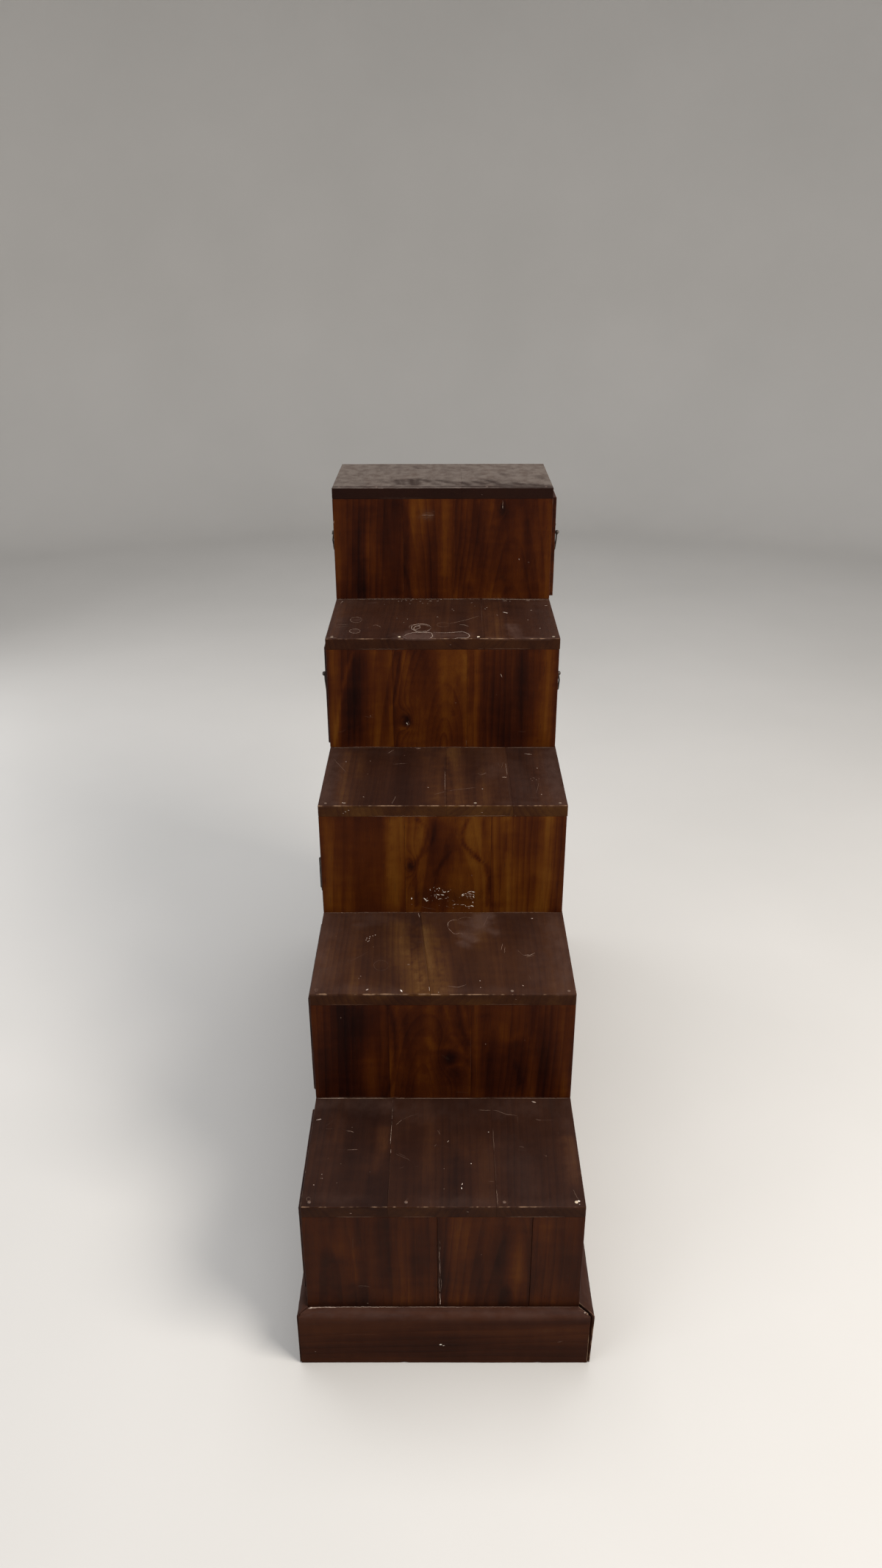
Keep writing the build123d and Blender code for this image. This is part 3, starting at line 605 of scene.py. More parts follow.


# ---------------------------------------------------------------------------
# marks on the treads: kind, width in mm, strength, points (X, distance back from the front edge)
#   s scratch, w white fleck, h grey dust haze and painted sheen, d dark stain and painted shade, g golden tone
# ---------------------------------------------------------------------------
MARKS = {
    "t5": [
        ("d", 9, 0.8, [(-86.3, 68.9), (-79.4, 36.6)]),
        ("d", 8, 0.7, [(-74.9, 72.4), (-70.6, 29.4)]),
        ("d", 10, 0.95, [(-59.1, 75.9), (-53.6, 29.3)]),
        ("d", 9, 0.8, [(-46.2, 79.4), (-48, 29.2)]),
        ("d", 9, 0.85, [(-35.9, 72), (-24.2, 57.4)]),
        ("d", 8, 0.5, [(-18.4, 50.2), (-11.1, 28.8)]),
        ("d", 9, 0.75, [(-5.6, 68), (8.7, 49.9)]),
        ("d", 9, 0.6, [(18.7, 42.7), (28.5, 28.4)]),
        ("d", 10, 0.9, [(35.8, 46), (46.8, 24.8)]),
        ("d", 11, 0.9, [(60.3, 52.9), (75.4, 35)]),
        ("d", 11, 0.9, [(82.2, 67.1), (99.8, 41.8)]),
        ("d", 12, 0.9, [(102.1, 27.7), (122.9, 20.5)]),
        ("d", 12, 0.85, [(131.1, 41.5), (151.1, 20.2)]),
        ("d", 12, 0.9, [(158.6, 27.1), (185.8, 12.9)]),
        ("d", 6, 0.4, [(-91.8, 195.2)]),
        ("d", 6, 0.5, [(-54.8, 202.9), (-48.4, 186.7)]),
        ("d", 6, 0.4, [(10.6, 162.3)]),
        ("d", 8, 0.35, [(-119.7, 72.8), (-104.2, 51)]),
        ("d", 9, 0.3, [(-153.8, 44.4), (-131.6, 30)]),
        ("d", 7, 0.45, [(113.9, 130.1), (117.6, 114.9)]),
        ("d", 9, 0.5, [(178.7, 106.7), (184.3, 84.3)]),
        ("d", 6, 0.4, [(-70.9, 132.1)]),
        ("d", 7, 0.4, [(69.2, 115.4)]),
        ("d", 9, 1, [(38.1, 10.9), (122.2, 6.7), (203.1, 2.4)]),
        ("d", 6, 0.8, [(-197.9, 9.8), (-67.2, 8.5), (38.1, 10.9)]),
    ],
    "t4": [
        ("s", 1, 0.75, [(-199.4, 237.8), (-55.9, 231.8), (65.7, 229), (198.9, 223)]),
        ("s", 0.8, 0.26, [(72.3, 225.8), (69.2, 83.8)]),
        ("s", 0.7, 0.16, [(69.2, 83.8), (68.2, 4.5)]),
        ("s", 0.9, 0.7, [(-190.4, 202.8), (-186.3, 219.1)]),
        ("h", 5, 0.5, [(-135, 206.5), (-126.9, 206.5)]),
        ("w", 1.2, 0.5, [(-108.9, 195.2), (-107.7, 194.2)]),
        ("w", 1.3, 0.62, [(-83.9, 215.4), (-81.5, 215.4)]),
        ("w", 1.3, 0.62, [(-77.9, 216.4), (-75.5, 216.4)]),
        ("w", 1.3, 0.62, [(-69.8, 220.5), (-66.8, 220.4)]),
        ("w", 1.3, 0.62, [(-60.8, 220.4), (-57.7, 220.4)]),
        ("w", 1.3, 0.62, [(-57, 229.7), (-54.6, 229.7)]),
        ("w", 1.3, 0.62, [(-43.4, 214.1), (-40.4, 214.1)]),
        ("w", 1.3, 0.62, [(-38.3, 201.9), (-35.9, 201.9)]),
        ("w", 1.3, 0.62, [(-25.6, 217.1), (-20.1, 217.1)]),
        ("w", 1.3, 0.62, [(-11.1, 216), (-8, 216)]),
        ("w", 1.3, 0.62, [(-5.4, 227.3), (-1.7, 227.3)]),
        ("w", 1.3, 0.62, [(16.4, 165.6), (18.2, 165.6)]),
        ("w", 1.3, 0.62, [(18.7, 156.8), (20.5, 156.8)]),
        ("w", 1.3, 0.62, [(52.5, 205.4), (54.9, 205.4)]),
        ("w", 1.3, 0.62, [(58.2, 183.2), (60, 183.2)]),
        ("w", 1.3, 0.62, [(76.5, 167.2), (78.8, 167.2)]),
        ("w", 1.3, 0.62, [(79.7, 175.1), (82.1, 175.1)]),
        ("w", 1.3, 0.62, [(111.4, 217.3), (119.8, 217.3)]),
        ("w", 1.3, 0.62, [(155, 219.1), (162.3, 219.1)]),
        ("w", 1.3, 0.62, [(159.6, 157.9), (162.5, 157.9)]),
        ("w", 1.3, 0.62, [(187.8, 187.5), (193.2, 187.4)]),
        ("w", 1.3, 0.62, [(96.8, 129.4), (99.1, 129.4)]),
        ("w", 1.3, 0.62, [(150.5, 101.8), (152.2, 101.8)]),
        ("w", 1.3, 0.62, [(-11.1, 119.5), (-8.2, 119.5)]),
        ("w", 1.3, 0.62, [(-63.8, 108.6), (-62.1, 108.5)]),
        ("w", 1.3, 0.62, [(-82.5, 112.4), (-81.3, 112.4)]),
        ("w", 1.3, 0.62, [(-69.5, 88.2), (-68.4, 88.2)]),
        ("w", 1.3, 0.62, [(168.2, 54.4), (170.4, 54.4)]),
        ("w", 1.3, 0.62, [(124.8, 214.2), (126.6, 214.2)]),
        ("w", 1.3, 0.62, [(-29, 199.8), (-27.2, 199.8)]),
        ("w", 1.3, 0.62, [(-61.7, 200), (-60.5, 200)]),
        ("w", 3, 0.8, [(109, 147.5), (117.5, 141.7)]),
        ("s", 0.9, 0.5, [(-143.7, 103.4), (-144.2, 97), (-146.4, 91.7), (-149.9, 88.5), (-154.1, 87.8), (-158.3, 89.9), (-161.8, 94.2), (-164, 100.2), (-164.5, 106.8), (-163.1, 112.8), (-160.2, 117.3), (-156.3, 119.3), (-151.9, 118.6), (-147.9, 115.2), (-145, 109.9), (-143.7, 103.4)]),
        ("h", 6, 0.35, [(-158.7, 103.5), (-149.5, 103.4)]),
        ("s", 0.9, 0.6, [(-142.5, 41), (-143, 36.4), (-145, 32.5), (-148.3, 30.2), (-152.2, 29.7), (-156, 31.2), (-159.2, 34.4), (-161.1, 38.7), (-161.5, 43.5), (-160.2, 47.8), (-157.5, 51), (-153.8, 52.5), (-149.8, 52), (-146.2, 49.5), (-143.6, 45.7), (-142.5, 41)]),
        ("h", 6, 0.3, [(-155.9, 41.1), (-147.5, 41)]),
        ("s", 0.8, 0.5, [(-124.2, 69.4), (-116.9, 75.7), (-107.6, 61.2)]),
        ("s", 0.8, 0.3, [(-131.1, 56), (-129.3, 64)]),
        ("s", 0.8, 0.35, [(-185.7, 76.1), (-165.9, 77.8)]),
        ("s", 0.8, 0.3, [(-187.3, 61.6), (-165.1, 66.9)]),
        ("s", 0.9, 0.8, [(-20.1, 59), (-22, 49.1), (-27.4, 41.5), (-35.1, 38), (-43.4, 39.2), (-50.3, 45), (-54.4, 54), (-54.7, 64.3), (-51, 73.5), (-44.2, 79.3), (-35.8, 80.6), (-27.9, 76.8), (-22.2, 69), (-20.1, 59)]),
        ("s", 0.9, 0.7, [(-22.3, 46.4), (-25.4, 39), (-30.2, 34.1), (-36.1, 32.6), (-42, 34.6), (-46.9, 39.9), (-49.9, 47.6), (-50.7, 56.4), (-48.9, 64.7), (-44.9, 71.3), (-39.4, 74.8), (-33.3, 74.7), (-27.7, 71), (-23.5, 64.4)]),
        ("s", 0.8, 0.5, [(-56.4, 54.7), (-58.8, 60), (-58.9, 65.6), (-56.8, 70.8), (-52.8, 75.2), (-47.2, 78), (-40.8, 78.9), (-34.3, 77.9), (-28.7, 75), (-24.4, 70.7)]),
        ("s", 0.9, 0.7, [(-50.3, 59.1), (-40.6, 70.8), (-39, 59.1), (-48, 46.7), (-50.3, 59.1)]),
        ("h", 20, 0.95, [(-57.4, 11.9), (-25.7, 11.8)]),
        ("h", 12, 0.7, [(-61.7, 17.1), (-23.1, 22.1)]),
        ("h", 10, 0.7, [(-50.3, 3.4), (-25.6, 1.6)]),
        ("s", 1, 0.8, [(-68.4, 8.6), (-61.9, 24), (-51, 32.6), (-34.3, 32.6), (-19, 30.7), (-16.9, 11.7), (-22.8, -1.8), (-39.2, -5.1), (-55.7, -3.4), (-68.4, 8.6)]),
        ("s", 1, 0.85, [(-17.1, 34.2), (-6.5, 30.7), (4.7, 30.6), (24.2, 34), (34, 37.4), (43.6, 26.1), (46.6, 13.1), (41.7, 2.9), (26.6, 3), (12.8, -3.7), (-6.3, -0.2), (-16.8, -0.2)]),
        ("h", 14, 0.4, [(-6.4, 15.1), (37.9, 18.3)]),
        ("s", 0.8, 0.35, [(11.3, 75), (10, 69.1), (6.6, 64.6), (1.8, 62.5), (-3.3, 63.3), (-7.6, 66.7), (-10, 72.1), (-10, 78.2), (-7.6, 83.6), (-3.4, 87), (1.8, 87.7), (6.6, 85.5), (10.1, 80.9), (11.3, 75)]),
        ("s", 0.8, 0.45, [(11.9, 80.5), (42.2, 102.4), (65.8, 125.7)]),
        ("s", 0.9, 0.6, [(29.7, 74.9), (37.4, 74.9), (44.9, 64.9)]),
        ("h", 8, 0.5, [(115.5, 74.5), (120.9, 43.1), (124.2, 4.2)]),
        ("h", 8, 0.4, [(125.3, 72.6), (129.9, 30), (133, -0.1)]),
        ("h", 7, 0.5, [(139.2, 2.4), (180.1, -1.2)]),
        ("h", 5, 0.4, [(76.1, 2.7), (114.3, -0.8)]),
        ("w", 3.6, 1, [(-74.7, 8.6)]),
        ("w", 3.6, 1, [(59.7, 7.1)]),
        ("w", 2.2, 0.8, [(186.9, 7.3), (189.1, 7.3)]),
        ("w", 1.2, 0.7, [(-190.3, 16)]),
        ("w", 1.2, 0.7, [(-188, 14.3)]),
        ("s", 0.8, 0.5, [(-199.2, 7.5), (-179.6, 4)]),
        ("g", 16, 0.7, [(97.9, 199.1), (92.6, 4.3)]),
        ("g", 10, 0.5, [(-187.3, 200.7), (-186, 14.3)]),
        ("g", 10, 0.3, [(-37.1, 199.8), (-38, 84.4)]),
        ("g", 8, 0.3, [(52.9, 199.3), (53, 13.1)]),
    ],
    "t3": [
        ("s", 0.9, 0.6, [(-199, 228.9), (4.8, 227.5), (194.3, 223.9)]),
        ("s", 0.8, 0.3, [(108.7, 221.9), (107.8, 160.4)]),
        ("s", 1, 0.85, [(107.8, 160.4), (108.2, 109.4)]),
        ("s", 0.7, 0.35, [(108.2, 109.4), (109.1, 4)]),
        ("s", 0.8, 0.35, [(3.2, 167.7), (3.2, 133.2)]),
        ("s", 1, 0.8, [(3.2, 133.2), (3.6, 51.5)]),
        ("s", 0.8, 0.4, [(3.6, 51.5), (3.6, 5.5)]),
        ("s", 0.9, 0.6, [(-190.1, 178.8), (-175.7, 148.8), (-162.7, 121.5)]),
        ("s", 1, 0.8, [(-97.9, 200), (-92.2, 206.5), (-95.7, 203.6), (-86, 216.7)]),
        ("s", 1.1, 0.55, [(-86.5, 156.1), (-61.7, 160.2)]),
        ("w", 2.2, 0.9, [(-167.4, 166.8)]),
        ("w", 2.4, 0.8, [(-160.8, 10.7)]),
        ("w", 2.2, 0.6, [(-128.6, 31.4)]),
        ("w", 2.2, 0.5, [(-125.6, 169.5)]),
        ("w", 2, 0.7, [(-24.2, 65.5)]),
        ("w", 2, 0.9, [(64.9, 60.2)]),
        ("w", 2, 0.7, [(160.3, 39.9)]),
        ("w", 2.4, 0.6, [(160.7, 139.5)]),
        ("w", 1.6, 0.4, [(-126.8, 116.7)]),
        ("w", 1.6, 0.35, [(-67.1, 192.7)]),
        ("h", 5, 0.7, [(-196.1, 12), (-189.2, 12)]),
        ("s", 1, 0.7, [(-81.8, 5.7), (-78.8, 20.2), (-76.1, 34.9)]),
        ("w", 2, 0.5, [(-48.3, 221), (-39.2, 221)]),
        ("s", 0.9, 0.6, [(-13.6, 40.3), (4.5, 50.9), (24.1, 57.8), (55.2, 65.9)]),
        ("s", 1, 0.6, [(58.1, 119.5), (65.1, 114.1), (74.1, 123.5)]),
        ("s", 0.9, 0.5, [(59.6, 123.5), (71, 116.8)]),
        ("s", 0.9, 0.5, [(62.2, 111.5), (74.6, 119.5)]),
        ("s", 0.9, 0.5, [(99.5, 139.7), (102.2, 153.4), (105.2, 167.4)]),
        ("s", 0.9, 0.4, [(94.7, 163.9), (96.9, 146.6)]),
        ("w", 3.2, 0.45, [(98.7, 104.1), (107.3, 104.1)]),
        ("w", 1.6, 0.6, [(143.2, 198.5), (155.3, 195.6)]),
        ("s", 0.9, 0.5, [(150.7, 41.7), (155.7, 60.6), (159.4, 83)]),
        ("s", 0.8, 0.4, [(140, 28.2), (155.1, 26.3)]),
        ("w", 1.3, 0.5, [(147.1, 98)]),
        ("w", 1.3, 0.5, [(148.9, 91.5)]),
        ("w", 1.3, 0.5, [(152.9, 99.3)]),
        ("w", 1.3, 0.5, [(155.9, 94.1)]),
        ("w", 1.3, 0.5, [(151.4, 102.6)]),
        ("w", 1.3, 0.5, [(160.5, 98)]),
        ("h", 24, 0.55, [(-201.8, 161.3), (-201.4, 80.8), (-198.3, 12)]),
        ("h", 14, 0.5, [(-190.1, 196.7), (-196.3, 133.8)]),
        ("h", 22, 0.5, [(184.4, 195.5), (188.4, 105.8), (188.2, 11)]),
        ("h", 30, 0.3, [(82.8, 203), (88.4, 119.4)]),
        ("h", 16, 0.25, [(-137, 209.6), (-79.5, 203.6)]),
        ("h", 30, 0.22, [(116.6, 160.3), (132.6, 41.8)]),
        ("h", 10, 0.35, [(-198.7, 10.8), (-171, 8.3)]),
        ("h", 12, 0.25, [(103.2, 11.2), (190.6, 7.4)]),
        ("g", 11, 0.8, [(-165.2, 203.8), (-164.7, 120.2), (-161.7, 11.9)]),
        ("g", 10, 0.7, [(-4.9, 203.3), (-5.2, 11.5)]),
        ("g", 14, 0.9, [(19.9, 221.5), (25.4, 119.6), (27.7, 8.4)]),
        ("g", 11, 0.55, [(67.2, 133), (71.6, 11.3)]),
        ("g", 8, 0.4, [(-28.1, 181.9), (-23, 11.6)]),
        ("g", 8, 0.4, [(-145.6, 203.8), (-142, 106.8)]),
        ("g", 9, 0.3, [(166.9, 202.8), (169.5, 17.1)]),
        ("d", 30, 0.55, [(-122, 211), (-121.9, 11.8)]),
        ("d", 22, 0.5, [(-67.4, 203.5), (-72.4, 11.7)]),
        ("d", 26, 0.5, [(52.8, 203.1), (59.2, 106.2)]),
        ("d", 22, 0.3, [(96.5, 106.1), (108.4, 5.2)]),
    ],
    "t2": [
        ("s", 0.9, 0.5, [(-198.4, 226.3), (-28.4, 226), (196.5, 225.7)]),
        ("s", 1.1, 0.9, [(-40.9, 223.9), (-39.5, 210.8)]),
        ("s", 0.8, 0.25, [(-39.5, 210.8), (-21.5, 18.8)]),
        ("s", 1.1, 0.8, [(-20.7, 18.8), (-20, 7.2)]),
        ("h", 22, 0.4, [(-137.9, 213.7), (-104.9, 205.5)]),
        ("h", 14, 0.4, [(-139.2, 189.5), (-98.7, 200.1)]),
        ("h", 14, 0.35, [(-193.5, 205.6), (-176.2, 211)]),
        ("h", 16, 0.25, [(-87.2, 205.4), (-51.6, 200)]),
        ("w", 1.5, 0.85, [(-124.1, 143.8), (-123.4, 145.8)]),
        ("w", 1.5, 0.85, [(-121, 139.7), (-120.3, 141.7)]),
        ("w", 1.5, 0.85, [(-119.2, 147.8), (-118.4, 149.9)]),
        ("w", 1.5, 0.85, [(-113.9, 155.5), (-113.1, 157.5)]),
        ("w", 1.5, 0.85, [(-110.3, 158.1), (-109.5, 160.1)]),
        ("w", 1.5, 0.85, [(-119.4, 141.2), (-118.6, 143.2)]),
        ("w", 1.5, 0.85, [(-123.3, 148.8), (-122.5, 150.9)]),
        ("w", 1.5, 0.85, [(-118.3, 152.9), (-117.6, 155)]),
        ("s", 0.8, 0.3, [(-84.4, 74.1), (-85.4, 67.5), (-88.9, 62.5), (-93.9, 60.1), (-99.4, 60.9), (-104.2, 64.7), (-107.1, 70.7), (-107.5, 77.5), (-105.2, 83.6), (-100.8, 87.5), (-95.3, 88.3), (-89.9, 85.8), (-86, 80.7), (-84.4, 74.1)]),
        ("s", 0.9, 0.6, [(95.5, 134.8), (92.3, 116.4)]),
        ("s", 0.9, 0.6, [(98.7, 124.8), (97, 107.5)]),
        ("s", 0.9, 0.4, [(117.2, 117.3), (126.1, 101.6)]),
        ("s", 1, 0.75, [(126.1, 101.6), (138.8, 102.6), (145.1, 108.4)]),
        ("s", 0.9, 0.6, [(130.6, 96.8), (143.2, 101.6)]),
        ("w", 3, 0.7, [(146.1, 207.8), (149.1, 207.8)]),
        ("w", 2.6, 0.6, [(119.8, 23.1), (122.4, 21.3)]),
        ("s", 0.9, 0.35, [(131.8, 49.5), (134.2, 35.7)]),
        ("w", 2, 0.9, [(56.3, 34.5)]),
        ("w", 1.8, 0.6, [(56.7, 17.3)]),
        ("w", 1.6, 0.7, [(-6.7, 5.4)]),
        ("w", 1.5, 0.6, [(-126.8, 46.1), (-125.1, 44.7)]),
        ("w", 1.4, 0.5, [(-128.5, 39.7)]),
        ("w", 2.2, 0.8, [(-115.8, 9.1), (-112.2, 12.7)]),
        ("w", 3.4, 1, [(-64, 10.8), (-61.1, 5.5)]),
        ("w", 1.2, 0.4, [(-67.7, 152.8), (-67.1, 151.8)]),
        ("s", 0.9, 0.6, [(6.7, 21), (22.8, 17.8), (35, 24.5)]),
        ("s", 0.9, 0.25, [(-148.7, 82.7), (-130.3, 99.1), (-115.8, 114.7)]),
        ("s", 0.8, 0.2, [(162.5, 83.2), (173.7, 85.1)]),
        ("w", 1.5, 0.4, [(-173, 155.6)]),
        ("w", 1.4, 0.4, [(-111, 125.1)]),
        ("s", 0.8, 0.6, [(-187.8, 10.1), (-188.2, 7.8), (-189.5, 6.6), (-191.1, 7), (-192.4, 8.9), (-192.6, 11.3), (-191.8, 13.2), (-190.2, 13.6), (-188.6, 12.4), (-187.8, 10.1)]),
        ("g", 20, 0.9, [(-73.3, 189.4), (-66.2, 107.8), (-52.1, 7.7)]),
        ("g", 18, 0.9, [(-30.6, 173.5), (-25, 83.5), (-14.7, 7.7)]),
        ("g", 14, 0.5, [(-43.6, 107.7), (-36.1, 7.7)]),
        ("g", 10, 0.35, [(7.1, 132.4), (9.4, 9.8)]),
        ("g", 9, 0.3, [(-177.5, 158.2), (-181.5, 19)]),
        ("g", 16, 0.3, [(-135, 46.1), (-121.7, 10)]),
        ("d", 24, 0.35, [(-45.8, 205.4), (-44.1, 127.5)]),
        ("d", 30, 0.4, [(-106.7, 184.1), (-90, 18.9)]),
        ("d", 26, 0.3, [(46.4, 107.6), (49.5, 9.8)]),
        ("d", 24, 0.3, [(119.4, 205.1), (116.6, 14.2)]),
        ("h", 22, 0.45, [(-197.9, 189.6), (-195.6, 93.3), (-196.7, 10.1)]),
        ("h", 26, 0.45, [(184.3, 205), (189.3, 102.5), (191.4, 11.8)]),
        ("h", 40, 0.2, [(146.6, 173.2), (151.8, 18.6)]),
        ("h", 14, 0.3, [(-159.4, 12.3), (-73.4, 5.5)]),
        ("h", 12, 0.22, [(1.3, 9.9), (135, 8.8)]),
        ("s", 0.9, 0.5, [(24.1, 203.1), (28.6, 209), (36.8, 212.4), (44.4, 210), (50.9, 208)]),
        ("s", 1.1, 0.75, [(24.1, 203.1), (16, 204.1), (10.5, 199.2), (7.8, 192.3), (8.1, 180.6)]),
        ("s", 1, 0.7, [(8.1, 180.6), (11.5, 172.8), (16.3, 164.2), (21, 161), (27.5, 165.1), (31.7, 161.3)]),
        ("s", 0.8, 0.35, [(31.7, 161.3), (42.3, 162.3), (51.9, 160.3), (58.3, 162.2)]),
        ("s", 0.8, 0.3, [(24.1, 198.1), (27.8, 191.3), (34.2, 187.9), (40.7, 186.7), (51.4, 183.4)]),
        ("s", 0.9, 0.45, [(65.4, 183.8), (68.9, 194.1), (71.4, 204), (76.3, 218)]),
        ("h", 14, 1, [(52.8, 200.1), (60.7, 210), (74, 215)]),
        ("h", 14, 0.9, [(53.7, 190.2), (67.9, 196.1)]),
        ("h", 12, 0.85, [(55.7, 184.4), (65.4, 184.4)]),
        ("h", 10, 0.6, [(72.6, 174.7), (85, 165)]),
        ("h", 12, 0.8, [(35.9, 161.3), (45.2, 149.9)]),
        ("h", 10, 0.75, [(31.3, 136.9), (38.5, 131.3)]),
        ("h", 10, 0.65, [(45.1, 142.4), (51.5, 144.3)]),
        ("h", 9, 0.5, [(32.2, 196.2), (40.7, 190.3)]),
        ("h", 16, 0.45, [(42.6, 174.7), (58.6, 172.8)]),
        ("s", 0.8, 0.3, [(18.7, 134.1), (25, 138.7), (31.3, 139.7)]),
        ("s", 0.8, 0.35, [(48.1, 137.8), (52.9, 140.2), (51.5, 146.2)]),
        ("s", 1.1, 0.5, [(35.8, 220.1), (35.8, 219.1)]),
        ("s", 0.8, 0.3, [(-42.3, 137.9), (-23.4, 137.9)]),
        ("w", 1.3, 0.5, [(-55.8, 76.1), (-51.7, 76.4)]),
    ],
    "t1": [
        ("s", 0.9, 0.65, [(-200.4, 219.6), (-78.2, 219.1), (60.2, 219.9), (200, 219.8)]),
        ("s", 1.2, 0.95, [(-78.1, 209.8), (-78, 172.5), (-78.6, 132.7), (-77.6, 102)]),
        ("s", 0.8, 0.35, [(-77.6, 102), (-77.7, 57.7), (-77.5, 5.3)]),
        ("s", 0.8, 0.5, [(-78.1, 218.3), (-78.1, 209.8)]),
        ("s", 0.7, 0.2, [(74.1, 213.9), (74.7, 154.3)]),
        ("s", 0.9, 0.6, [(75.3, 154.3), (75.6, 105.7)]),
        ("s", 0.8, 0.4, [(75.6, 105.7), (75.9, 32.9)]),
        ("s", 1, 0.7, [(75.9, 32.9), (76.2, 2.6)]),
        ("s", 1, 0.7, [(55.1, 193.8), (82.6, 192.9), (96.7, 184.7), (113.9, 181.4)]),
        ("s", 0.8, 0.4, [(113.9, 181.4), (114.4, 166.3)]),
        ("s", 1, 0.7, [(-71.6, 161.2), (-63.4, 172.5)]),
        ("s", 0.9, 0.4, [(-63.4, 172.5), (-50.6, 180.6), (-37.8, 185.6)]),
        ("w", 1.5, 0.8, [(-194.7, 171.7), (-187.1, 174.2)]),
        ("s", 0.9, 0.3, [(-179.8, 157.6), (-173.4, 165.2), (-167, 173.8)]),
        ("s", 0.8, 0.4, [(-179.4, 153.2), (-167.2, 153.2)]),
        ("s", 1.1, 0.85, [(-145.8, 149.6), (-135.3, 145.6)]),
        ("s", 0.9, 0.3, [(-153.7, 152.4), (-145.8, 149.6)]),
        ("s", 1, 0.7, [(-142.5, 109.6), (-126.7, 110.3)]),
        ("s", 0.8, 0.25, [(-158.6, 110), (-142.5, 109.9)]),
        ("s", 1.1, 0.7, [(141.5, 173.2), (150.6, 171.1)]),
        ("s", 0.8, 0.4, [(150.6, 171.1), (170.7, 171.5)]),
        ("w", 3, 0.7, [(138.6, 213), (144.9, 210.9)]),
        ("s", 1, 0.65, [(-8.6, 150.3), (-4.4, 141.2)]),
        ("s", 0.8, 0.4, [(-5.8, 152.3), (-5.8, 145.2)]),
        ("w", 1.4, 0.7, [(6.3, 124.8), (8.6, 128.7)]),
        ("s", 1, 0.6, [(-13.2, 116.4), (-9.9, 121)]),
        ("s", 0.9, 0.5, [(-70.7, 102), (-62.2, 96.3), (-53.8, 92.6), (-48.2, 87)]),
        ("s", 0.8, 0.4, [(-66.6, 102.7), (-53.9, 94.4)]),
        ("s", 1, 0.55, [(112.9, 116.3), (120.6, 114.8)]),
        ("s", 0.8, 0.25, [(104.3, 113.3), (115.2, 108.7), (126.1, 106.4)]),
        ("s", 0.7, 0.2, [(-26.7, 121), (1.3, 116.4), (37.3, 105.7), (73.7, 113.3)]),
        ("w", 2, 0.9, [(68.5, 146.3)]),
        ("w", 2, 0.9, [(41, 82.1)]),
        ("w", 1.5, 0.7, [(-175.3, 61.4)]),
        ("w", 1.5, 0.6, [(-174, 53.5)]),
        ("w", 1, 0.5, [(-176.2, 53.5)]),
        ("w", 1.8, 0.7, [(-184.9, 41)]),
        ("w", 1.4, 0.5, [(151.7, 97)]),
        ("w", 1.4, 0.5, [(1.3, 72.2)]),
        ("w", 1.4, 0.5, [(1.3, 33.6)]),
        ("w", 1.2, 0.4, [(-106, 65.7)]),
        ("w", 1.4, 0.4, [(-149.4, 81.8)]),
        ("w", 1.2, 0.6, [(-138.4, 156.4)]),
        ("w", 1.2, 0.4, [(-169, 92.6)]),
        ("w", 1.2, 0.5, [(-152.3, 44.9)]),
        ("w", 2, 0.9, [(27.8, 44.1), (26.7, 40.6)]),
        ("w", 2.2, 1, [(26.1, 36.4), (26.6, 32.9)]),
        ("s", 0.8, 0.5, [(147.8, 100), (153, 95.5)]),
        ("s", 1, 0.6, [(184.3, 32.8), (186.9, 24.1), (190.4, 13.1)]),
        ("w", 4.2, 1, [(190.5, 11.1)]),
        ("w", 1.6, 0.8, [(190.9, 5.3)]),
        ("s", 0.8, 0.5, [(64.4, 47.7), (73.2, 47)]),
        ("s", 0.8, 0.3, [(-41, 74.1), (-35.6, 78.5)]),
        ("s", 0.8, 0.35, [(-64.1, 72.2), (-56.1, 75.9)]),
        ("s", 0.8, 0.3, [(172.7, 146.3), (174.2, 141.2)]),
        ("s", 0.8, 0.65, [(-186.1, 14.6), (-186.4, 12.4), (-187.7, 10.8), (-189.6, 10.5), (-191.5, 11.5), (-192.7, 13.4), (-193, 15.7), (-192.1, 17.7), (-190.5, 18.7), (-188.5, 18.3), (-186.9, 16.8), (-186.1, 14.6)]),
        ("s", 0.8, 0.4, [(-48.1, 13.5), (-48.5, 12), (-49.7, 11.2), (-51.2, 11.4), (-52.1, 12.7), (-52.2, 14.3), (-51.3, 15.6), (-49.9, 15.9), (-48.6, 15.1), (-48.1, 13.5)]),
        ("s", 0.8, 0.35, [(90.9, 8.7), (90.2, 7), (88.6, 6), (86.8, 6.4), (85.8, 7.8), (85.8, 9.6), (87.1, 11.1), (88.9, 11.4), (90.4, 10.5), (90.9, 8.7)]),
        ("s", 0.7, 0.3, [(54.2, 13.8), (53.7, 12.6), (52.4, 11.6), (50.4, 11.1), (48.4, 11.3), (46.8, 12), (45.9, 13.2), (46, 14.5), (47, 15.7), (48.7, 16.4)]),
        ("d", 13, 0.7, [(-120.9, 6), (-103.7, 5.4)]),
        ("h", 22, 0.55, [(-192.1, 209.9), (-145.2, 209.8), (-83.4, 203.5)]),
        ("h", 14, 0.3, [(-179, 195.2), (-108.6, 184.8)]),
        ("h", 30, 0.35, [(-56.8, 193), (30.5, 205.5), (146.8, 197.1)]),
        ("h", 36, 0.22, [(98.7, 113.3), (121.2, 32.9)]),
        ("h", 12, 0.3, [(-197.2, 19.1), (-103.9, 8.8)]),
        ("h", 14, 0.3, [(-25, 7), (184.9, 5.3)]),
        ("h", 22, 0.3, [(190.8, 201.2), (199.6, 68.5)]),
        ("g", 11, 0.75, [(-96.8, 152.4), (-90.6, 113.4), (-99.7, 75.9)]),
        ("g", 9, 0.6, [(-84, 152.4), (-83.9, 117.2)]),
        ("g", 12, 0.55, [(-28, 209.8), (-23.2, 113.3), (-28.5, 57.7)]),
        ("g", 12, 0.6, [(20.9, 128.7), (29, 101.9)]),
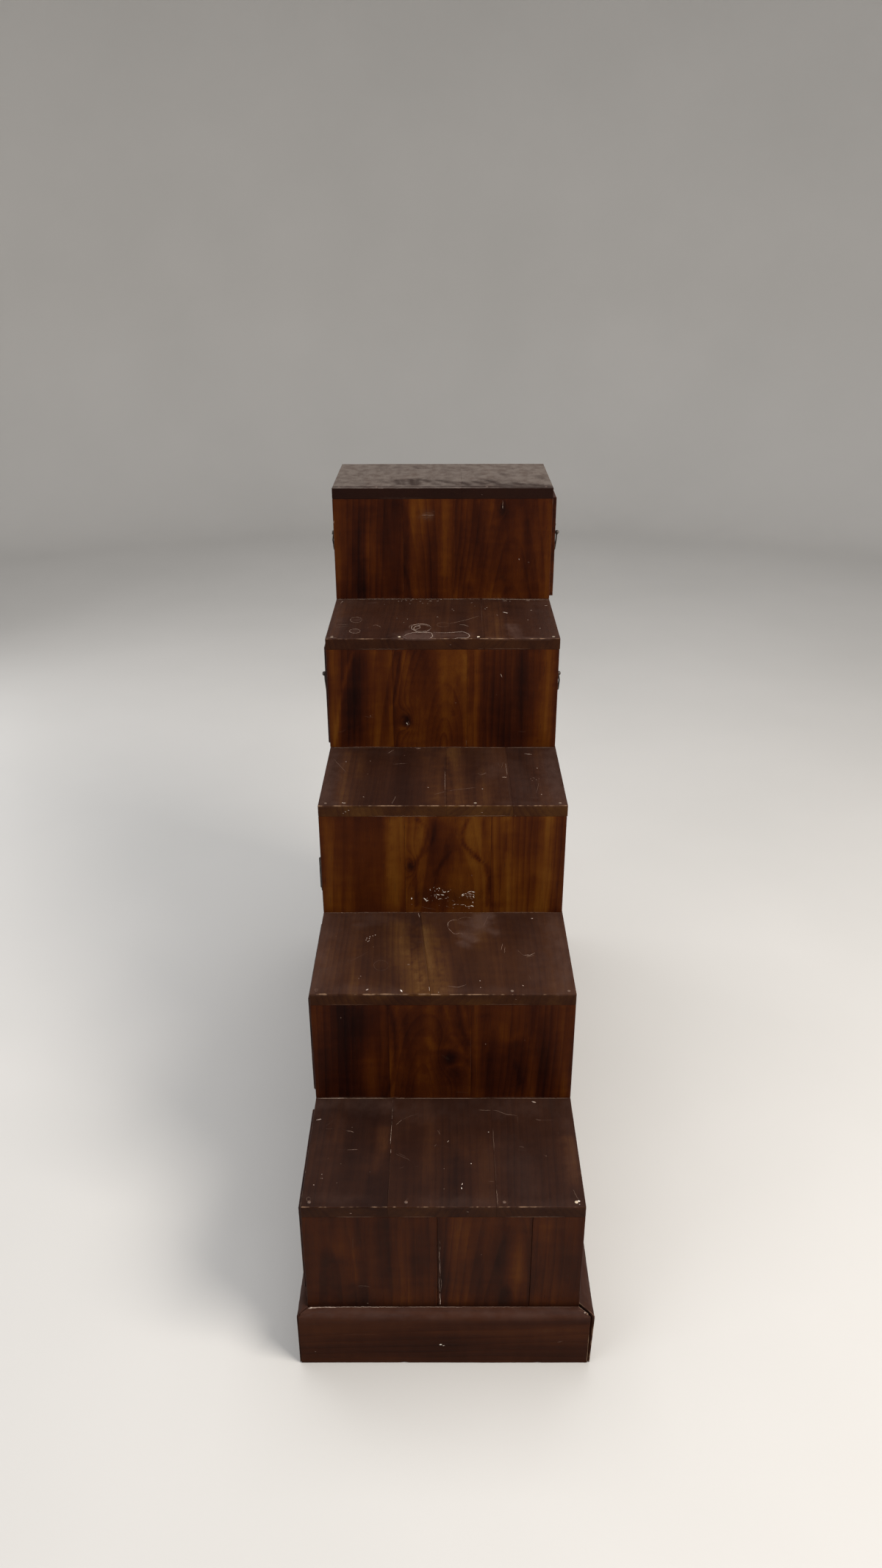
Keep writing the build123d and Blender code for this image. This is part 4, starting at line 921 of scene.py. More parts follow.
        ("g", 10, 0.8, [(189.4, 128.6), (186.6, 46.9)]),
        ("g", 12, 0.4, [(-196.6, 113.4), (-194.9, 47.1)]),
        ("g", 10, 0.4, [(-163.2, 180.7), (-156.3, 132.7)]),
        ("g", 8, 0.25, [(57.6, 132.6), (56.8, 19)]),
        ("d", 30, 0.4, [(-143.3, 184.8), (-108.1, 176.6)]),
        ("d", 30, 0.45, [(-4.5, 209.7), (48, 201.3)]),
        ("d", 20, 0.4, [(-49.4, 132.6), (-53.1, 68.6)]),
        ("d", 24, 0.3, [(53, 172.4), (69.1, 140.4)]),
        ("d", 26, 0.25, [(92.2, 94.4), (93.8, 19)]),
    ],
    "r3": [
        ("w", 2.4, 1, [(-32.2, 530.2), (-29.6, 528), (-27.7, 525.8)]),
        ("w", 2.2, 1, [(-29.8, 527.1), (-27.2, 525.1), (-24.5, 525.6)]),
        ("w", 1.4, 0.8, [(-27.7, 524.3), (-27.2, 522.9)]),
        ("w", 1.2, 0.6, [(-26.2, 530.8), (-27, 528.7)]),
        ("w", 2.6, 1, [(-52.4, 530.9), (-52, 527.4)]),
        ("w", 1.2, 0.55, [(-52.4, 518.2), (-51.8, 517.7)]),
        ("w", 1.3, 0.8, [(-21.2, 548.5), (-21.5, 546.1), (-19.9, 544.6)]),
        ("w", 1.2, 0.6, [(-16.2, 549.8), (-14.3, 551.3)]),
        ("w", 1.7, 0.75, [(-14, 544.1), (-12.5, 543.7)]),
        ("w", 1.3, 0.7, [(-11.5, 547), (-9.5, 548.5), (-8.2, 548.7)]),
        ("w", 1.9, 0.95, [(-6.7, 550.2), (-5.8, 549.1), (-6.1, 547.6)]),
        ("w", 1.5, 0.6, [(-7.8, 544.8), (-6.7, 544.1)]),
        ("w", 1.2, 0.6, [(-1.7, 545.7), (0.2, 545)]),
        ("w", 2, 1, [(-0.2, 542.8), (2.4, 541.1), (5, 542.6)]),
        ("w", 1.5, 0.85, [(6.9, 541.3), (8.8, 543.3), (10.3, 544.1)]),
        ("w", 1.2, 0.5, [(11.9, 545.9), (13.2, 546.5)]),
        ("w", 1.2, 0.6, [(-15.1, 537), (-12.9, 536.5), (-11, 535.2)]),
        ("w", 1.8, 0.95, [(-10.5, 538), (-8.2, 536.7), (-5.4, 536.1)]),
        ("w", 1.8, 1, [(-3.2, 537.2), (-0.7, 536.1), (1.9, 536.3)]),
        ("w", 1.3, 0.8, [(-10.5, 534.8), (-11.8, 532.4), (-10.3, 529.1)]),
        ("w", 1.2, 0.6, [(-14.4, 535.2), (-13.6, 533)]),
        ("w", 1.5, 0.75, [(-8.4, 527.3), (-6.2, 528.6), (-3.6, 528.8), (-2.3, 529.5)]),
        ("w", 1.2, 0.5, [(-1.7, 528), (-0.6, 528.6)]),
        ("w", 1.1, 0.5, [(2.6, 529.3), (4.9, 529.5), (7.1, 530.4)]),
        ("w", 1.1, 0.5, [(6.5, 532.3), (8.6, 532.1), (9.7, 531.5)]),
        ("w", 1.1, 0.4, [(-20.2, 535), (-19.2, 534.3)]),
        ("w", 1.1, 0.4, [(-18, 525.6), (-17.2, 524.3)]),
        ("w", 1.1, 0.35, [(14.8, 526.6), (17.4, 524.7), (19.3, 523.3)]),
        ("w", 1.2, 0.35, [(5, 514.5), (7.1, 514.3)]),
        ("w", 1.1, 0.35, [(-7.4, 516.3), (-5.5, 515.9)]),
        ("w", 2.4, 0.95, [(30.4, 535.2), (32.3, 536.7), (34, 538.4)]),
        ("w", 1.8, 0.9, [(31.2, 533.4), (33.1, 535.2), (35.1, 536.2)]),
        ("w", 1.3, 0.7, [(35.1, 538), (37.5, 538.9), (39.8, 538)]),
        ("w", 1.5, 0.9, [(39.8, 539.1), (41.6, 541.7), (44.4, 543), (47.4, 543.4)]),
        ("w", 2.2, 1, [(47.7, 542.6), (50.4, 541.7), (52.6, 541.9)]),
        ("w", 1.3, 0.65, [(41.3, 538.2), (43.5, 539.3), (45.9, 538.4), (47.4, 536.9)]),
        ("w", 1.2, 0.6, [(42.2, 535.6), (44.6, 536.2), (46.5, 535.1)]),
        ("w", 1.2, 0.6, [(43.5, 533.4), (45.6, 533), (47.1, 534)]),
        ("w", 1.2, 0.6, [(37.5, 535.1), (39.8, 533.4), (41.8, 533.8)]),
        ("w", 2, 0.95, [(49.5, 536.9), (51.4, 536.2), (51.7, 534.5)]),
        ("w", 2.2, 1, [(49.3, 533.6), (51, 532.5), (51.8, 530.5)]),
        ("w", 1.2, 0.55, [(44.7, 530.8), (46.9, 530.1)]),
        ("w", 1.4, 0.6, [(47.3, 528.6), (49, 528.3)]),
        ("w", 1.2, 0.5, [(39.8, 531.2), (41.7, 530.1)]),
        ("w", 1.1, 0.5, [(46.9, 537.8), (48.7, 538.4)]),
        ("w", 2.3, 0.9, [(49.6, 523.3), (50, 520.2)]),
        ("w", 1.7, 0.75, [(16.7, 516.3), (18.9, 517.6), (21, 518.7)]),
        ("w", 1.1, 0.45, [(22.1, 518.1), (24.5, 517.6), (26.6, 517.8)]),
        ("w", 1.3, 0.65, [(29, 516.7), (32.4, 517.4), (35.8, 517.6)]),
        ("w", 1.5, 0.75, [(36.6, 516.3), (38.3, 514.3), (39, 513.2)]),
        ("w", 1.6, 0.8, [(40, 513), (43, 513.6), (45.6, 514.1)]),
        ("w", 2.4, 1, [(45.6, 514.3), (48.2, 515.4), (51.2, 513.2)]),
        ("w", 1.4, 0.6, [(42.2, 510.7), (44.1, 510.3)]),
        ("w", 1.6, 0.5, [(16.5, 511.2), (17.8, 510.8)]),
        ("w", 1.3, 0.4, [(46.5, 574.1), (48.2, 573.5)]),
        ("w", 1.2, 0.4, [(26.3, 531.9), (28.4, 531.2)]),
        ("w", 1.2, 0.4, [(7.7, 524.7), (8.6, 524.2)]),
        ("s", 0.8, 0.4, [(-35.5, 513.3), (-24.3, 510.2), (-13, 508.4)]),
        ("s", 0.8, 0.3, [(3.9, 514.3), (11.4, 511.4)]),
        ("g", 22, -0.18, [(-138.5, 611.6), (-136.6, 516.7)]),
        ("g", 16, -0.08, [(-157.2, 648.9), (-166.3, 546.8)]),
        ("g", 11, 0.42, [(-75.4, 674.3), (-76, 516.6)]),
        ("g", 8, 0.22, [(-90.3, 674.3), (-88.8, 576.4)]),
        ("g", 9, 0.3, [(-182.3, 674.4), (-188.2, 516.7)]),
        ("g", 3, -0.55, [(-40.6, 678.5), (-27, 663), (-24.6, 648.8), (-31.1, 625.9), (-40.1, 605.6), (-45.9, 591.1), (-45.7, 567.5), (-44.7, 540.7), (-43.7, 516.6)]),
        ("g", 3, -0.4, [(-14.5, 677), (-14.6, 648.8), (-24.8, 623), (-35.1, 608.5)]),
        ("g", 3, -0.6, [(38.9, 675.6), (30.3, 651.5), (32.9, 634.4), (53.3, 611.3), (68.6, 593.8), (75.4, 570.3), (74.5, 546.5), (73.7, 516.4)]),
        ("g", 2.6, -0.4, [(33, 631.5), (45.7, 614.2), (60.9, 602.6)]),
        ("g", 3, -0.35, [(12.9, 620.1), (-2.3, 596.9), (-12.5, 576.3)]),
        ("g", 28, -0.24, [(-7.1, 662.9), (-17.3, 620.1), (-25.2, 576.3), (-20.4, 528.6)]),
        ("g", 16, 0.1, [(43.5, 576.3), (46.5, 528.6)]),
        ("g", 9, 0.18, [(53.4, 596.8), (66.4, 570.3), (64.5, 528.6)]),
        ("g", 14, 0.1, [(-46.9, 665.8), (-47.6, 617.2)]),
        ("g", 6, 0.12, [(-32, 668.6), (-31, 640.2)]),
        ("g", 10, 0.1, [(50.1, 668.5), (53.1, 628.6)]),
        ("g", 3, -0.4, [(65, 674.1), (67.2, 608.4), (77.7, 582.1), (80.6, 516.4)]),
        ("g", 4, -0.35, [(104.7, 674.1), (100.9, 622.8), (94.3, 576.2), (96.9, 516.4)]),
        ("g", 8, -0.2, [(101.8, 640.1), (105.9, 622.8)]),
        ("g", 12, 0.25, [(116.1, 668.4), (122.5, 570.3)]),
        ("g", 9, -0.22, [(148, 567.3), (146.8, 528.5)]),
        ("g", 7, 0.2, [(181.7, 674), (188.4, 516.3)]),
        ("g", 8, 0.18, [(167.3, 662.7), (175.9, 570.2)]),
        ("g", 6, 0.2, [(83.7, 668.5), (88.9, 528.5)]),
        ("d", 4, 0.5, [(9.4, 902.7)]),
    ],
    "r1": [
        ("s", 0.5, 0.6, [(-5.3, 238.1), (-5.1, 232.2)]),
        ("s", 0.5, 0.7, [(-6, 227), (-5.4, 219.5)]),
        ("s", 0.5, 0.6, [(-3.4, 226.2), (-4.3, 219.2)]),
        ("s", 0.7, 0.9, [(-5, 219.9), (-5.7, 212), (-5.4, 202.6), (-4.8, 195.1)]),
        ("s", 0.8, 1, [(-4.8, 195.8), (-5.2, 187.5), (-4.7, 178), (-4.7, 169.2)]),
        ("w", 1, 0.4, [(-5.5, 167.6), (-3.9, 166.9)]),
        ("s", 0.6, 0.9, [(-5.7, 164.9), (-6, 154.9), (-5.5, 143.3), (-5.1, 135.5)]),
        ("s", 0.5, 0.7, [(-3.7, 163.4), (-2.7, 154.9), (-2.6, 145.2), (-3.7, 137.4)]),
        ("w", 1.1, 0.5, [(-5, 137.8), (-4.7, 135.1)]),
        ("s", 1.3, 1.1, [(-5.2, 131.2), (-4.7, 123.7), (-4.3, 115.8), (-4.2, 110.7)]),
        ("w", 1.8, 0.55, [(-4.6, 115.8), (-4.4, 107.1)]),
        ("s", 0.9, 0.5, [(-125.8, 145.6), (-119.5, 147.2), (-112.7, 146), (-106.5, 144)]),
        ("s", 0.8, 0.3, [(-123.7, 143.3), (-116.9, 144)]),
        ("w", 1.8, 0.35, [(-112.4, 110.3), (-110.2, 109.9)]),
        ("d", 5, 0.8, [(-4.6, 160.7), (-4.3, 143.3)]),
        ("s", 0.7, 0.35, [(-128.2, 244.8), (-128.8, 219.5)]),
        ("g", 16, -0.5, [(-146.9, 192.6), (-151.3, 118.2)]),
        ("g", 9, 0.35, [(-122.7, 218), (-124.8, 155.8)]),
        ("g", 16, 0.12, [(-133.4, 274.7), (-137.7, 228.8)]),
        ("g", 10, -0.25, [(-87.7, 274.7), (-85.7, 148.3)]),
        ("g", 9, 0.25, [(-57.2, 274.7), (-62.6, 118.2)]),
        ("g", 22, 0.3, [(11.3, 278.1), (24.4, 207.1)]),
        ("g", 18, -0.2, [(75.5, 235.9), (77.8, 118.2)]),
        ("g", 9, 0.22, [(105.2, 274.6), (113.8, 155.8)]),
        ("g", 20, -0.12, [(-32, 257.1), (-36, 125.7)]),
        ("g", 10, 0.18, [(143.7, 264.1), (150.7, 148.3)]),
        ("g", 8, -0.15, [(166.9, 257.1), (173.1, 118.2)]),
    ],
    "r4": [
        ("g", 3.2, 0.55, [(-152.6, 881.4), (-162.4, 853.8), (-172.5, 819.2), (-180.5, 778.6), (-188.1, 731.6), (-191.2, 709.1)]),
        ("g", 9, 0.22, [(-176.6, 872.3), (-185, 792.2), (-194, 731.6)]),
        ("g", 9, 0.16, [(-163.5, 856.5), (-170.1, 816.5)]),
        ("g", 24, -0.34, [(-137.3, 856.4), (-144.8, 784), (-149.5, 720.3)]),
        ("g", 12, -0.25, [(-151.9, 797.6), (-156.4, 742.7)]),
        ("g", 7, 0.2, [(-114.2, 880), (-117.7, 709)]),
        ("g", 3, 0.4, [(-85.7, 881.3), (-82.8, 837.8), (-87.6, 792), (-91.3, 770.2), (-89.3, 709)]),
        ("g", 2.8, 0.32, [(-67.1, 881.3), (-68.8, 851), (-77.1, 811), (-82.7, 783.9)]),
        ("g", 2.8, -0.35, [(-74.5, 881.3), (-75.8, 837.8), (-83.6, 802.9), (-87.7, 786.6)]),
        ("g", 3, 0.3, [(-58.4, 881.3), (-61.2, 781.1)]),
        ("g", 10, 0.14, [(-43.3, 792), (-33.4, 764.6)]),
        ("g", 3, -0.3, [(27.3, 837.6), (21.2, 802.7), (18.7, 764.5)]),
        ("g", 12, -0.14, [(-12.7, 850.9), (-11.7, 797.4)]),
        ("g", 9, 0.38, [(59.4, 879.8), (59, 802.7), (50.8, 742.4), (52.4, 708.8)]),
        ("g", 5, 0.28, [(39.6, 871.9), (40.8, 708.8)]),
        ("g", 3, -0.3, [(70.5, 879.7), (71.4, 816.1), (65.7, 775.4), (71.1, 753.4)]),
        ("g", 6, 0.12, [(2.3, 879.9), (-0.3, 797.3)]),
        ("g", 26, -0.28, [(101.7, 871.8), (98.2, 797.2), (91.9, 728.4)]),
        ("g", 16, -0.18, [(137.1, 850.7), (143.2, 728.3)]),
        ("g", 8, 0.14, [(121.6, 869.2), (118.5, 797.2), (122.4, 742.2)]),
        ("g", 13, 0.42, [(180.9, 879.6), (183.1, 791.6), (177.3, 708.6)]),
        ("g", 5, 0.2, [(165.5, 824), (161.7, 714.2)]),
        ("g", 8, -0.35, [(-64.1, 759.1)]),
        ("g", 5, 0.25, [(-74.6, 739.8), (-59.3, 737)]),
        ("s", 0.7, 0.4, [(-137.3, 763.1), (-129.8, 760.9), (-120.1, 760.3)]),
        ("s", 0.6, 0.3, [(-128.1, 764.8), (-120, 765.3)]),
        ("s", 0.7, 0.35, [(-187.6, 731.6), (-177.3, 733.2), (-171, 737.7)]),
        ("s", 0.6, 0.3, [(19.4, 790.8), (24, 783.2)]),
        ("s", 0.6, 0.25, [(26.5, 802.7), (30, 797.3)]),
        ("w", 1.4, 0.55, [(99.4, 841.2), (102.5, 834.8)]),
        ("s", 0.8, 0.3, [(132.8, 733.3), (145.7, 732.7)]),
        ("s", 0.8, 0.5, [(-64.7, 750.9), (-60.7, 748.1)]),
        ("s", 0.8, 0.6, [(-61.6, 753.6), (-59.1, 747.5), (-64.3, 743.1)]),
        ("d", 9, 0.55, [(-65.3, 759.1)]),
        ("w", 1.1, 0.4, [(41.4, 834.4)]),
        ("w", 1.1, 0.35, [(93.1, 803.1)]),
        ("s", 0.6, 0.6, [(41, 717.2), (41.6, 706.5)]),
    ],
    "r5": [
        ("g", 11, 0.34, [(-183.7, 1087.1), (-184, 1014.4), (-192.2, 947.9)]),
        ("g", 7, 0.18, [(-166.3, 1087), (-165, 1014.4)]),
        ("g", 13, -0.4, [(-136.1, 1071), (-151, 1028), (-160.4, 989.6), (-157.4, 919.5)]),
        ("g", 9, -0.18, [(-144.3, 981.3), (-143.5, 919.5)]),
        ("g", 20, 0.05, [(-112.9, 1036), (-118.5, 925.2)]),
        ("g", 11, -0.42, [(-82.2, 1084.2), (-84, 919.4)]),
        ("g", 12, 0.15, [(-52.8, 1086.8), (-52.2, 919.3)]),
        ("g", 8, 0.28, [(8.7, 1086.7), (8.7, 994.8), (3.2, 953.1)]),
        ("g", 9, 0.32, [(44.7, 1086.6), (44, 1003), (47.3, 939)]),
        ("g", 3, -0.35, [(22.5, 1086.7), (23.7, 986.5), (22, 919.2)]),
        ("g", 14, -0.16, [(-26.6, 1014.1), (-29.9, 942)]),
        ("g", 16, -0.32, [(109.4, 1059.8), (99.6, 1008.4), (96.8, 941.7)]),
        ("g", 6, -0.3, [(64.9, 1076), (63, 1008.5)]),
        ("g", 8, 0.2, [(88.8, 1086.5), (94.8, 1049.1)]),
        ("g", 7, 0.22, [(141.4, 1067.8), (141.7, 1008.3), (147.6, 947.3)]),
        ("g", 6, -0.22, [(154, 1049), (157, 952.9)]),
        ("g", 8, 0.24, [(171.8, 1081.1), (175.3, 941.6)]),
        ("g", 5, -0.25, [(183.8, 1081), (184.9, 941.6)]),
        ("g", 5, -0.35, [(48.7, 936.2), (53, 913.5)]),
        ("g", 9, 0.12, [(128.9, 1083.8), (127.2, 1046.4)]),
        ("h", 7, 0.55, [(-34.3, 1061.2), (-24.1, 1061.7)]),
        ("s", 0.8, 0.42, [(-38.6, 1064.4), (-31.6, 1065.5), (-24.1, 1066), (-18.2, 1065.4)]),
        ("s", 0.8, 0.42, [(-39.2, 1060.7), (-31.6, 1061.7), (-24.1, 1062.2), (-16, 1062.8)]),
        ("s", 0.8, 0.4, [(-37.6, 1056.9), (-29, 1058.5), (-20.9, 1059.6)]),
        ("s", 0.8, 0.34, [(-34.4, 1054.2), (-27.4, 1055.8)]),
        ("s", 0.7, 0.3, [(-18.1, 1069.2), (-13.9, 1067.6)]),
        ("w", 1.3, 0.6, [(140.8, 981.9), (142, 978.5)]),
        ("w", 1.1, 0.4, [(160.2, 974.6)]),
        ("d", 6, 0.8, [(109, 1079.9), (109.2, 1069.2)]),
        ("s", 1.2, 0.6, [(109, 1088.1), (109.3, 1078)]),
        ("s", 0.6, 0.35, [(-72.1, 1019.6), (-72.6, 986.7)]),
        ("s", 0.6, 0.3, [(-72.5, 964.5), (-73.2, 919.4)]),
        ("w", 1.2, 0.7, [(-198.6, 1052.4), (-199.4, 1046.5)]),
    ],
    "r2": [
        ("g", 30, -0.36, [(-147.3, 452.7), (-151.4, 316.9)]),
        ("g", 9, 0.26, [(-108.7, 480.6), (-112.5, 310.1)]),
        ("g", 3, 0.3, [(-89.9, 482.1), (-90.3, 310.1)]),
        ("g", 3, -0.4, [(-82.4, 483.7), (-74.5, 443.3), (-73.2, 379.4), (-79.3, 336.8), (-87.7, 310.1)]),
        ("g", 3, 0.2, [(-72.4, 483.6), (-64.7, 427.5), (-68.4, 363.1)]),
        ("g", 14, -0.26, [(-51.4, 465.1), (-51, 316.8)]),
        ("g", 8, 0.18, [(-33.8, 471.3), (-36.8, 310.1)]),
        ("g", 4, 0.4, [(3.8, 483.6), (11.4, 427.4), (29.3, 398.7), (37, 385.8)]),
        ("g", 3, -0.45, [(21.3, 483.6), (26.5, 443.2), (39.4, 408.3)]),
        ("g", 4, 0.34, [(30, 483.6), (40.5, 427.4)]),
        ("g", 5, 0.3, [(-24.2, 417.9), (-11.6, 398.7), (8.8, 405.1), (26.7, 395.5)]),
        ("g", 4, 0.32, [(8.9, 364.7), (26.9, 369.6)]),
        ("g", 12, -0.35, [(16.6, 350), (29.6, 346.7)]),
        ("g", 5, -0.35, [(29.2, 411.5), (39.7, 369.6)]),
        ("g", 11, 0.42, [(52.5, 483.5), (53.3, 306.7)]),
        ("g", 4, 0.28, [(76.3, 480.4), (72.1, 433.7), (67.6, 395.5)]),
        ("g", 13, -0.3, [(115.8, 408.3), (120.7, 323.4)]),
        ("g", 8, 0.22, [(89.6, 440), (97.8, 414.7)]),
        ("g", 5, 0.2, [(102.9, 414.7), (115.1, 430.5)]),
        ("g", 4, -0.4, [(110.3, 372.8), (120.4, 333.4)]),
        ("g", 14, 0.4, [(180, 480.4), (186.5, 306.6)]),
        ("g", 20, -0.12, [(149.8, 452.5), (159.5, 330)]),
        ("g", 8, 0.1, [(-181.4, 477.6), (-191.8, 316.9)]),
        ("g", 18, -0.14, [(82.9, 395.5), (82, 310)]),
        ("s", 0.6, 0.35, [(-1.4, 388.4), (3.7, 382.6), (10.4, 378.1)]),
        ("s", 0.6, 0.3, [(3.7, 385.8), (9.9, 380.7)]),
        ("s", 0.6, 0.22, [(-15.4, 436.9), (-12.5, 427.4)]),
        ("w", 1.3, 0.35, [(-154.6, 459.6)]),
        ("w", 1.2, 0.6, [(64.8, 408.9)]),
        ("w", 1.1, 0.35, [(124.7, 416.5)]),
        ("s", 0.5, 0.3, [(41.8, 427.4), (42.4, 353.2)]),
        ("s", 0.6, 0.3, [(19.3, 314.8), (40.2, 313.4)]),
    ],
}


# ---------------------------------------------------------------------------
# materials
# ---------------------------------------------------------------------------
class Nodes:
    def __init__(self, name):
        self.mat = bpy.data.materials.new(name)
        self.mat.use_nodes = True
        self.nt = self.mat.node_tree
        self.nt.nodes.clear()

    def new(self, kind, **props):
        n = self.nt.nodes.new(kind)
        for k, v in props.items():
            setattr(n, k, v)
        return n

    def put(self, socket, value):
        if isinstance(value, bpy.types.NodeSocket):
            self.nt.links.new(value, socket)
        else:
            socket.default_value = value

    def math(self, op, a, b=0.0, c=0.0, clamp=False):
        n = self.new("ShaderNodeMath", operation=op, use_clamp=clamp)
        for s, v in zip(n.inputs, (a, b, c)):
            self.put(s, v)
        return n.outputs[0]

    def add(self, *terms):
        out = terms[0]
        for t in terms[1:]:
            out = self.math("ADD", out, t)
        return out

    def mul(self, a, b):
        return self.math("MULTIPLY", a, b)

    def centred(self, a, gain):
        """(a - 0.5) * gain"""
        return self.math("MULTIPLY_ADD", a, gain, -0.5 * gain)

    def vec(self, op, a, b=(0.0, 0.0, 0.0)):
        n = self.new("ShaderNodeVectorMath", operation=op)
        self.put(n.inputs[0], a)
        self.put(n.inputs[1], b)
        return n.outputs[0]

    def scale(self, a, factors):
        return self.vec("MULTIPLY", a, factors)

    def split(self, a):
        n = self.new("ShaderNodeSeparateXYZ")
        self.put(n.inputs[0], a)
        return n.outputs

    def join(self, x, y, z):
        n = self.new("ShaderNodeCombineXYZ")
        for s, v in zip(n.inputs, (x, y, z)):
            self.put(s, v)
        return n.outputs[0]

    def attribute(self, name):
        return self.new("ShaderNodeAttribute", attribute_name=name).outputs["Vector"]

    def noise(self, vector, detail=2.0, roughness=0.5, colour=False, scale=1.0, distortion=0.0):
        n = self.new("ShaderNodeTexNoise")
        self.put(n.inputs["Vector"], vector)
        n.inputs["Scale"].default_value = scale
        n.inputs["Detail"].default_value = detail
        n.inputs["Roughness"].default_value = roughness
        n.inputs["Distortion"].default_value = distortion
        return n.outputs[1] if colour else n.outputs[0]

    def ramp(self, value, stops, interpolation="LINEAR"):
        n = self.new("ShaderNodeValToRGB")
        n.color_ramp.interpolation = interpolation
        e = n.color_ramp.elements
        while len(e) > 1:
            e.remove(e[-1])
        e[0].position = stops[0][0]
        e[0].color = (*stops[0][1], 1.0) if isinstance(stops[0][1], tuple) else (stops[0][1],) * 3 + (1.0,)
        for at, c in stops[1:]:
            k = e.new(at)
            k.color = (*c, 1.0) if isinstance(c, tuple) else (c,) * 3 + (1.0,)
        self.put(n.inputs[0], value)
        return n.outputs[0]

    def mix(self, factor, a, b, blend="MIX"):
        n = self.new("ShaderNodeMix", data_type="RGBA", blend_type=blend)
        n.clamp_factor = True
        self.put(n.inputs[0], factor)
        for s, v in ((n.inputs[6], a), (n.inputs[7], b)):
            self.put(s, (*v, 1.0) if isinstance(v, tuple) and len(v) == 3 else v)
        return n.outputs[2]

    def step(self, value, lo, hi, to=(0.0, 1.0)):
        n = self.new("ShaderNodeMapRange", interpolation_type="SMOOTHSTEP")
        self.put(n.inputs[0], value)
        for s, v in zip(list(n.inputs)[1:5], (lo, hi, *to)):
            s.default_value = v
        return n.outputs[0]

    def principled(self, **values):
        p = self.new("ShaderNodeBsdfPrincipled")
        for k, v in values.items():
            self.put(p.inputs[k.replace("_", " ")], v)
        out = self.new("ShaderNodeOutputMaterial")
        self.nt.links.new(p.outputs[0], out.inputs[0])
        return p

    def bump(self, height, strength, distance):
        n = self.new("ShaderNodeBump")
        n.inputs["Strength"].default_value = strength
        n.inputs["Distance"].default_value = distance
        self.put(n.inputs["Height"], height)
        return n.outputs[0]


